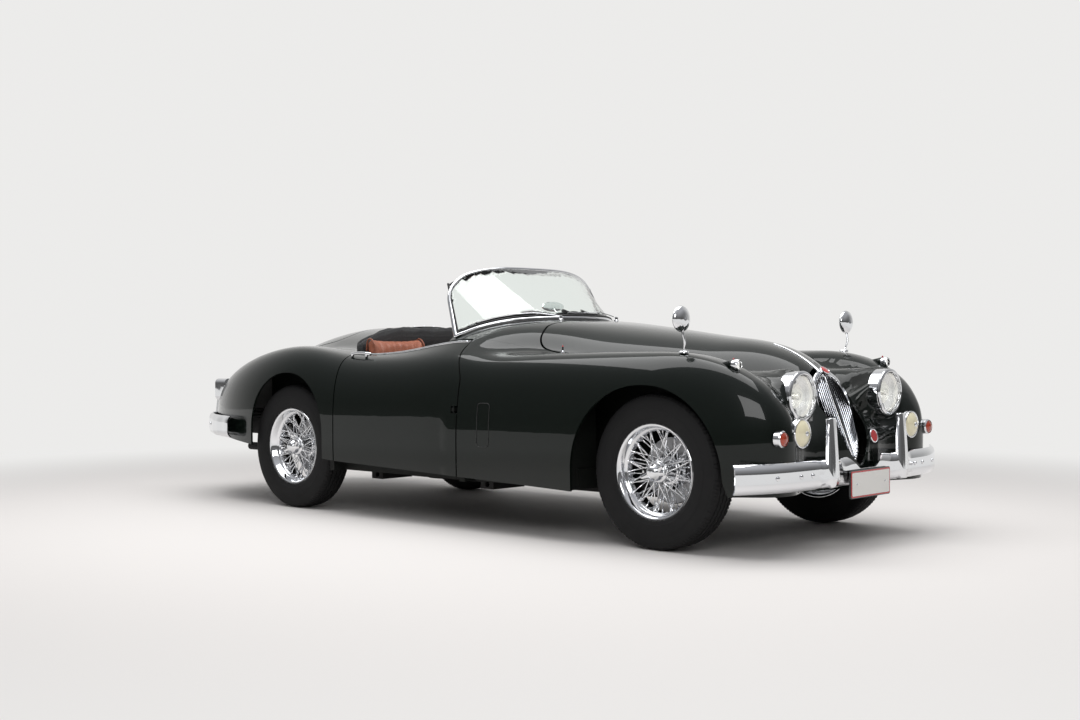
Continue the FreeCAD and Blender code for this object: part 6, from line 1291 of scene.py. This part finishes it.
def make_cockpit():
    dressed("dashboard", TAN, sharp_angle=50.0)
    for name, y, z, radius in (("speed", 0.115, 0.872, 0.056), ("revs", -0.115, 0.872, 0.056),
                               ("fuel", 0.0, 0.905, 0.030),
                               ("oil", 0.0, 0.830, 0.030), ("amps", 0.225, 0.845, 0.026)):
        make_dial("dial_" + name, y, z, radius)
    knobs = [at(DASH_X - 0.004, y, 0.800) for y in (-0.20, -0.15, 0.15, 0.20)]
    knob = lathe("knob", [(-0.004, 0.004), (0.010, 0.004), (0.012, 0.010), (0.018, 0.010), (0.021, 0.0)],
                 Vector(), (0, 0, 1), steps=20)
    settle(repeated("dash_knobs", knobs, [Vector((-1, 0, 0))] * len(knobs), knob, BLACK), "body", "leather")
    wheel = dressed("steering_wheel", BLACK, SATIN_STEEL)
    centre = at(*WHEEL_PLACE)
    for face in wheel.data.polygons:
        away = face.center - centre
        away -= COLUMN_WAY * away.dot(COLUMN_WAY)
        face.material_index = 0 if away.length > STEERING_RADIUS - 0.0135 or away.length < 0.043 else 1
    plain("controls", SATIN_STEEL)
    mats = []
    for hand in (-1, 1):
        outline = [(-0.310, 0.145), (-0.310, 0.570), (0.320, 0.570), (0.320, 0.145)]
        rings = []
        for rise, size in ((0.0, 0.0), (0.006, 0.0), (0.008, 0.006)):
            rings.append([at(x + (size if x < 0 else -size), hand * (y + (size if y < 0.3 else -size)),
                             FLOOR_TOP + rise)
                          for x, y in outline])
        points, faces = skin(rings)
        mats.append(new_object("mat", mesh_from("mat", points, faces), CARPET))
    settle(joined("floor_mats", mats), "body", "leather")
    profile = [(-TUNNEL_HALF - 0.004, 0.305), (-TUNNEL_HALF - 0.004, 0.490), (-TUNNEL_HALF + 0.014, 0.520),
               (-0.090, TUNNEL_TOP + 0.003),
               (0.090, TUNNEL_TOP + 0.003), (TUNNEL_HALF - 0.014, 0.520), (TUNNEL_HALF + 0.004, 0.490),
               (TUNNEL_HALF + 0.004, 0.305)]
    rows = [[at(x, y, z) for y, z in profile] for x in (-0.965, -0.30, 0.020, 0.098, 0.334)]
    points, faces = skin(rows, closed_ring=False)
    cover = new_object("tunnel_carpet", mesh_from("tunnel_carpet", points, faces, 60.0), CARPET)
    thick = cover.modifiers.new("thick", "SOLIDIFY")
    thick.thickness = 0.003
    thick.offset = 1.0
    settle(cover, "body", "leather")


# Screen
SCREEN_HALF = 0.600
SCREEN_STEPS = 56


def screen_place(t, height):
    bow = abs(t) ** 2.3
    x = 0.226 - (0.226 + 0.097) * bow
    base = Vector((x, SCREEN_HALF * t, surface_height(x, SCREEN_HALF * t) + 0.012))
    top = Vector((-0.120 - 0.080 * bow, 0.565 * t, 1.316 - (1.316 - 1.222) * abs(t) ** 4.0))
    return at(*(base + (top - base) * height))


def make_screen():
    dressed("screen_glass", SCREEN, sharp_angle=50.0)
    dressed("screen_frame", CHROME, sharp_angle=60.0)
    inset = 0.012
    line = [screen_place(-0.985 + 1.97 * i / SCREEN_STEPS,
                         1.0) + Vector((0.003, 0, -inset)) for i in range(SCREEN_STEPS + 1)]
    foot = [screen_place(-0.985 + 1.97 * i / SCREEN_STEPS,
                         0.0) + Vector((0.003, 0, inset)) for i in range(SCREEN_STEPS + 1)]
    beads = [tube("bead", line, 0.0055, SEAL, sides=8), tube("bead", foot, 0.0055, SEAL, sides=8)]
    for side_t in (-0.985, 0.985):
        beads.append(tube("bead", [screen_place(side_t, h / 10) + Vector((0.003, 0, 0)) for h in range(11)],
                          0.0055, SEAL, sides=8))
    settle(joined("screen_rubber", beads), "body", "glass")
    low = [screen_place(-0.97 + 1.94 * i / SCREEN_STEPS,
                        0.0) + Vector((0.012, 0, -0.013)) for i in range(SCREEN_STEPS + 1)]
    settle(tube("screen_foot_rubber", low, 0.007, SEAL, sides=8), "body", "glass")
    centre = at(0.026, 0.0, 1.111)
    mirror = lathe("mirror_back",
                   [(0.000, 0.062), (0.004, 0.064), (0.010, 0.060), (0.014, 0.040), (0.015, 0.0)], Vector(),
                   (1, 0, 0),
                   CHROME, steps=48)
    glass = lathe("mirror_face", [(-0.001, 0.060), (-0.0015, 0.055), (-0.0015, 0.0)], Vector(), (1, 0, 0),
                  MIRROR_GLASS, steps=48)
    oval = joined("inner_mirror", [mirror, glass])
    oval.data.transform(Matrix.Translation(centre) @ Matrix.Diagonal((1.0, 1.35, 0.42, 1.0)))
    stalk = tube("mirror_stalk",
                 smooth_path([centre + Vector((0.012, 0, -0.010)), at(0.052, 0, 1.085),
                              at(0.075, 0, 1.075)], 4), 0.004,
                 CHROME, sides=10)
    settle(joined("inner_mirror", [oval, stalk]), "body", "chrome")


def make_wipers():
    """Two wipers lying along the screen's foot."""
    for name, pivot, tip in (("right", (0.196, -0.200), 0.285), ("left", (0.190, 0.250), 0.285)):
        x, y = pivot
        base = on_skin(x + 0.075, y, 0.0)
        spindle = lathe("spindle",
                        [(-0.010, 0.014), (0.006, 0.014), (0.010, 0.009), (0.022, 0.008), (0.026, 0.0)],
                        base, (0.1, 0, 1),
                        CHROME, steps=24)
        top = base + Vector((0, 0, 0.020))
        arm_end = screen_place((y - 0.20) / SCREEN_HALF, 0.10) + Vector((0.020, 0, 0.004))
        arm = tube("arm", smooth_path([top, top + (arm_end - top) * 0.5 + Vector((0.004, 0, 0.012)),
                                       arm_end], 6),
                   lambda share: 0.0042 - 0.0016 * share, CHROME, sides=8, flat=0.6)
        ends = [(y - 0.20 + s * 0.13) / SCREEN_HALF for s in (-1, -0.5, 0, 0.5, 1)]
        blade_line = [screen_place(t, 0.085) + Vector((0.012, 0, 0)) for t in ends]
        blade = tube("blade", smooth_path(blade_line, 5), 0.0042, SEAL, sides=8, flat=1.4)
        holder = tube("holder", smooth_path([p + Vector((0.006, 0, 0.003)) for p in blade_line], 5), 0.0026,
                      SATIN_STEEL, sides=8)
        settle(joined("wiper_" + name, [spindle, arm, blade, holder]), "body", "chrome")


# Outside trim
def make_trim():
    for node in ("bumper_front", "bumper_rear", "brightwork_left", "brightwork_right"):
        dressed(node, CHROME, sharp_angle=38.0)
    # The grille's chrome has painted shade between its bars
    dressed("grille", GRILLE_PAINTED_SHADE_CHROME, sharp_angle=38.0)
    mirrors = dressed("mirrors", CHROME, MIRROR_GLASS, sharp_angle=40.0)
    low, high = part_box("mirrors")
    for face in mirrors.data.polygons:
        if face.normal.x < -0.99 and face.area > 1e-5 and face.center.z > high.z - 0.116:
            face.material_index = 1
    make_bolts()
    make_plate()
    make_bonnet_trim()
    make_aerial()
    make_studs()
    make_wing_vents()


BUMPER_FACE_X = 1.934
BLADE_Z = 0.346
REAR_BLADE_Z = 0.440
REAR_FACE_X = -2.462


def make_bolts():
    """Domed bolt heads on the bumper blades."""
    for end, node, z, face_x, hand in (("front", "bumper_front", BLADE_Z, BUMPER_FACE_X, 1),
                                       ("rear", "bumper_rear", REAR_BLADE_Z, REAR_FACE_X, -1)):
        tree = node_tree(node)
        places, ways = [], []
        for y in (-0.66, -0.52, -0.44, 0.44, 0.52, 0.66):
            hit = tree.ray_cast(at(face_x + hand * 0.3, y, z), Vector((-hand, 0, 0)))
            if hit[0] is not None:
                places.append(hit[0])
                ways.append(hit[1] if hit[1].x * hand > 0 else -hit[1])
        head = button("bolt", 0.011, 0.007)
        settle(repeated("bumper_bolts_" + end, places, ways, head, CHROME), "body", "chrome")


PLATE_X = 1.949
PLATE_HALF = 0.170
PLATE_LOW = 0.226
PLATE_TOP = 0.350


def slab(name, x0, x1, half, low, top, material, corner=0.010):
    """An upright plate across the car with round corners."""
    outline = []
    for cy, cz, start in ((half, top, 0), (-half, top, 90), (-half, low, 180), (half, low, 270)):
        sy = corner if cy > 0 else -corner
        sz = corner if cz == top else -corner
        for k in range(7):
            a = math.radians(start + 15 * k)
            outline.append((cy - sy + corner * math.cos(a), cz - sz + corner * math.sin(a)))
    rings = [[at(x, y, z) for y, z in outline] for x in (x0, x1)]
    points, faces = skin(rings)
    return new_object(name, mesh_from(name, points, faces, 50.0), material)


def make_plate():
    """A blank plate with a plain border, on its black backing below the grille."""
    back = slab("backing", PLATE_X - 0.010, PLATE_X - 0.002, PLATE_HALF, PLATE_LOW, PLATE_TOP, BLACK)
    border = slab("border", PLATE_X - 0.003, PLATE_X, PLATE_HALF - 0.004, PLATE_LOW + 0.004,
                  PLATE_TOP - 0.004, RED_ENAMEL, 0.009)
    white = slab("white", PLATE_X - 0.002, PLATE_X + 0.001, PLATE_HALF - 0.011, PLATE_LOW + 0.011,
                 PLATE_TOP - 0.011, WHITE_ENAMEL, 0.006)
    struts = [tube("strut", [at(1.905, y, 0.330), at(PLATE_X - 0.008, y, 0.330)], 0.006, BLACK,
                   sides=8) for y in (-0.09, 0.09)]
    settle(joined("blank_plate", [back, border, white] + struts), "body", "chrome")
    bolts = repeated("plate_bolts", [at(PLATE_X + 0.0005, y, 0.288) for y in (-0.12, 0.12)],
                     [Vector((1, 0, 0))] * 2,
                     button("bolt", 0.006, 0.004), CHROME)
    settle(bolts, "body", "chrome")


STRIP_REAR_X = 1.440
STRIP_FRONT_X = 1.694
STRIP_HALF = 0.0062
STRIP_SPREAD = 0.0085
BADGE_PLACE = (1.712, 0.0, 0.783)
BADGE_WAY = (0.62, 0, 0.78)
DISC_Y = 0.150
DISC_Z = 0.486
DISC_STAND = 0.014


def nose_front(y, z):
    """How far forward the nose's skin lies at a place across the car."""
    low, high = 1.5, 2.1
    for _ in range(30):
        mid = (low + high) / 2
        if body_form(np.array([mid]), np.array([y]), np.array([z]))[0] > 0:
            high = mid
        else:
            low = mid
    return low


def make_bonnet_trim():
    """The bright strip along the bonnet's nose and a plain red badge at its foot."""
    line = [on_skin(x, 0.0, 0.0015) for x in np.linspace(STRIP_REAR_X, STRIP_FRONT_X, 24)]
    strip = tube("bonnet_strip", line, lambda share: STRIP_HALF + STRIP_SPREAD * share ** 3, CHROME,
                 sides=16, flat=0.55)
    settle(strip, "bonnet", "chrome")
    badge_back = lathe("badge_rim",
                       [(-0.010, 0.020), (0.003, 0.027), (0.006, 0.026), (0.005, 0.023), (0.003, 0.023)],
                       at(*BADGE_PLACE), BADGE_WAY, CHROME, steps=40)
    badge = lathe("badge", [(0.000, 0.024), (0.0050, 0.022), (0.0075, 0.012), (0.008, 0.0)],
                  at(*BADGE_PLACE), BADGE_WAY,
                  RED_ENAMEL, steps=40)
    settle(joined("nose_badge", [badge_back, badge]), "body", "chrome")
    place = at(nose_front(DISC_Y, DISC_Z) + DISC_STAND, DISC_Y, DISC_Z)
    rim = lathe("disc_rim",
                [(-0.010, 0.008), (-0.004, 0.031), (0.002, 0.033), (0.005, 0.030), (0.003, 0.027),
                 (0.001, 0.027)], place,
                (1, 0, 0.25), CHROME, steps=48)
    disc = lathe("disc_face", [(0.000, 0.028), (0.0025, 0.027), (0.0035, 0.0)], place, (1, 0, 0.25),
                 RED_ENAMEL, steps=48)
    settle(joined("grille_badge", [rim, disc]), "body", "chrome")


def make_aerial():
    base = on_skin(0.610, -0.560, 0.0)
    pieces = [lathe("foot", [(-0.006, 0.013), (0.003, 0.013), (0.010, 0.010), (0.022, 0.0075),
                             (0.024, 0.0)], base, (0, 0, 1), CHROME, steps=24),
              lathe("mast", [(0.020, 0.0045), (0.038, 0.004), (0.040, 0.0)], base, (0, 0, 1), BLACK,
                    steps=16),
              lathe("tip", [(0.038, 0.0035), (0.046, 0.0025), (0.048, 0.0)], base, (0, 0, 1), RED_ENAMEL,
                    steps=16)]
    settle(joined("aerial_stub", pieces), "body", "chrome")


COCKPIT_REAR_X = -0.960
COCKPIT_HALF = 0.560


def make_studs():
    """Press-studs round the rear of the cockpit and along the hood's edge."""
    places, ways = [], []
    for t in np.linspace(-0.94, 0.94, 15):
        y = COCKPIT_HALF * t
        x = COCKPIT_REAR_X - 0.030 + 0.055 * max(0.0, abs(t) - 0.55) / 0.45
        place = on_skin(x, y)
        out, _ = form_slope(np.array([tuple(place)]))
        places.append(place)
        ways.append(Vector(out[0]))
    settle(repeated("deck_studs", places, ways, button("stud", 0.0065, 0.006), CHROME), "body", "chrome")


VENT_LOW = (0.263, 0.416)
VENT_HIGH = (0.344, 0.626)
VENT_CORNER = 0.018
VENT_STEP = 0.008


def vent_outline():
    outline = []
    for sx, sz, start in ((1, 1, 0), (0, 1, 90), (0, 0, 180), (1, 0, 270)):
        x = (VENT_HIGH[0] - VENT_CORNER) if sx else (VENT_LOW[0] + VENT_CORNER)
        z = (VENT_HIGH[1] - VENT_CORNER) if sz else (VENT_LOW[1] + VENT_CORNER)
        for k in range(6):
            a = math.radians(start + 18 * k)
            outline.append((x + VENT_CORNER * math.cos(a), z + VENT_CORNER * math.sin(a)))
    dense = []
    for (x0, z0), (x1, z1) in zip(outline, outline[1:] + outline[:1]):
        steps = max(1, round(math.hypot(x1 - x0, z1 - z0) / VENT_STEP))
        dense += [(x0 + (x1 - x0) * k / steps, z0 + (z1 - z0) * k / steps) for k in range(steps)]
    return dense


def make_wing_vents():
    """The upright scuttle vent flap in each front wing, drawn by its shut line: a black line of painted shade where
    the gap would be dark.
    """
    for hand_name, hand in (("left", 1), ("right", -1)):
        tree = node_tree("front_wing_" + hand_name)
        ring = []
        for x, z in vent_outline():
            hit = tree.ray_cast(at(x, hand * 1.2, z), Vector((0, -hand, 0)))
            if hit[0] is not None:
                ring.append(hit[0] + Vector((0, hand * 0.0008, 0)))
        # A thin black line of painted shade standing in for the dark shut gap
        line = tube("vent_line_" + hand_name, ring, 0.0016, SEAL, sides=6, closed=True)
        settle(line, "body", "body_paint")


# The stage
FLOOR_RADIUS = 40.0
PALE = (0.72, 0.695, 0.675)
WALL = (0.84, 0.835, 0.825)
ZENITH = (0.95, 0.96, 1.0)


def make_floor():
    """A round floor whose colour runs out into the pale background."""
    material = bpy.data.materials.new("floor")
    material.use_nodes = True
    tree = material.node_tree
    shader = tree.nodes["Principled BSDF"]
    shader.inputs["Base Color"].default_value = (*PALE, 1)
    shader.inputs["Roughness"].default_value = 0.75
    shader.inputs["Specular IOR Level"].default_value = 0.25
    glow = add(tree, "ShaderNodeEmission", Color=(*WALL, 1), Strength=1.0)
    place = tree.nodes.new("ShaderNodeTexCoord")
    far = add(tree, "ShaderNodeVectorMath", operation="LENGTH")
    tree.links.new(place.outputs["Object"], far.inputs[0])
    span = map_range(tree, 2.7, 6.0, 0.0, 1.0)
    tree.links.new(far.outputs["Value"], span.inputs["Value"])
    span.interpolation_type = "SMOOTHSTEP"
    blend = tree.nodes.new("ShaderNodeMixShader")
    tree.links.new(span.outputs[0], blend.inputs[0])
    tree.links.new(shader.outputs[0], blend.inputs[1])
    tree.links.new(glow.outputs[0], blend.inputs[2])
    tree.links.new(blend.outputs[0], tree.nodes["Material Output"].inputs["Surface"])
    shape = bmesh.new()
    bmesh.ops.create_circle(shape, cap_ends=True, radius=FLOOR_RADIUS, segments=128)
    mesh = bpy.data.meshes.new("floor")
    shape.to_mesh(mesh)
    shape.free()
    floor = new_object("floor", mesh, material)
    floor.data.transform(Matrix.Translation((0, 0, -0.0005)))


SIDE_DIM = 0.22
BACK_GLOW = 1.6


def make_world():
    """A pale room: dim beside the camera, bright overhead and behind the car, flat white where the camera looks."""
    world = bpy.data.worlds.new("world")
    world.use_nodes = True
    bpy.context.scene.world = world
    tree = world.node_tree
    tree.nodes.clear()
    out = tree.nodes.new("ShaderNodeOutputWorld")
    place = tree.nodes.new("ShaderNodeTexCoord")
    parts = tree.nodes.new("ShaderNodeSeparateXYZ")
    tree.links.new(place.outputs["Generated"], parts.inputs[0])
    rise = map_range(tree, 0.05, 0.85, 0.0, 1.0)
    tree.links.new(parts.outputs["Z"], rise.inputs["Value"])
    sky = tree.nodes.new("ShaderNodeMix")
    sky.data_type = "RGBA"
    sky.inputs[6].default_value = (*[c * SIDE_DIM for c in WALL], 1)
    sky.inputs[7].default_value = (*ZENITH, 1)
    tree.links.new(rise.outputs[0], sky.inputs[0])
    toward = add(tree, "ShaderNodeVectorMath", operation="DOT_PRODUCT")
    tree.links.new(place.outputs["Generated"], toward.inputs[0])
    toward.inputs[1].default_value = (math.cos(CAMERA_YAW), math.sin(CAMERA_YAW), 0)
    behind = map_range(tree, 0.15, 0.80, 0.0, 1.0)
    link(tree, toward, "Value", behind, "Value")
    walls = add(tree, "ShaderNodeMix", data_type="RGBA")
    walls.inputs[7].default_value = (*[c * BACK_GLOW for c in WALL], 1)
    tree.links.new(behind.outputs["Result"], walls.inputs[0])
    tree.links.new(sky.outputs[2], walls.inputs[6])
    lit = add(tree, "ShaderNodeBackground", Strength=0.55)
    tree.links.new(walls.outputs[2], lit.inputs["Color"])
    seen = add(tree, "ShaderNodeBackground", Color=(*WALL, 1), Strength=1.0)
    ray = tree.nodes.new("ShaderNodeLightPath")
    most = add(tree, "ShaderNodeMath", operation="MAXIMUM")
    tree.links.new(ray.outputs["Is Camera Ray"], most.inputs[0])
    tree.links.new(ray.outputs["Is Transmission Ray"], most.inputs[1])
    blend = tree.nodes.new("ShaderNodeMixShader")
    tree.links.new(most.outputs[0], blend.inputs[0])
    tree.links.new(lit.outputs[0], blend.inputs[1])
    tree.links.new(seen.outputs[0], blend.inputs[2])
    tree.links.new(blend.outputs[0], out.inputs["Surface"])


# Lamps: place and target in the frame's metres, size in metres and power in watts
OVERHEAD_LAMP = ((0.4, -0.6, 4.2), (0, 0, 0), (6.5, 3.2), 225)
FRONT_LAMP = ((5.2, -4.6, 3.2), (0.6, 0, 0.5), (3.0, 2.0), 90)


def make_lamp(name, place, target, size, energy):
    light = bpy.data.lights.new(name, "AREA")
    light.shape = "RECTANGLE"
    light.size, light.size_y = size
    light.energy = energy
    lamp = bpy.data.objects.new(name, light)
    bpy.context.collection.objects.link(lamp)
    turn = (Vector(place) - Vector(target)).to_track_quat("Z", "Y")
    lamp.matrix_world = Matrix.Translation(place) @ turn.to_matrix().to_4x4()


def make_stage():
    make_floor()
    make_world()
    make_lamp("overhead", *OVERHEAD_LAMP)
    make_lamp("front", *FRONT_LAMP)
    settings = bpy.context.scene.view_settings
    settings.view_transform = "Standard"


make_camera()
for node in PANELS:
    panel(node)
plain("tub", INNER_PAINT)
for node in ("chassis", "rear_axle", "front_suspension", "exhaust"):
    plain(node, CHASSIS_PAINT)
for node in ("knuckle_left", "knuckle_right", "track_rods"):
    plain(node, FORGED)
for node in ("engine", "driveline"):
    plain(node, ALLOY)
make_wheels()
make_lamps()
make_screen()
make_wipers()
make_cockpit()
make_trim()
for hand_name, hand in (("left", 1), ("right", -1)):
    make_seat(hand_name, hand)
make_hood()
make_stage()
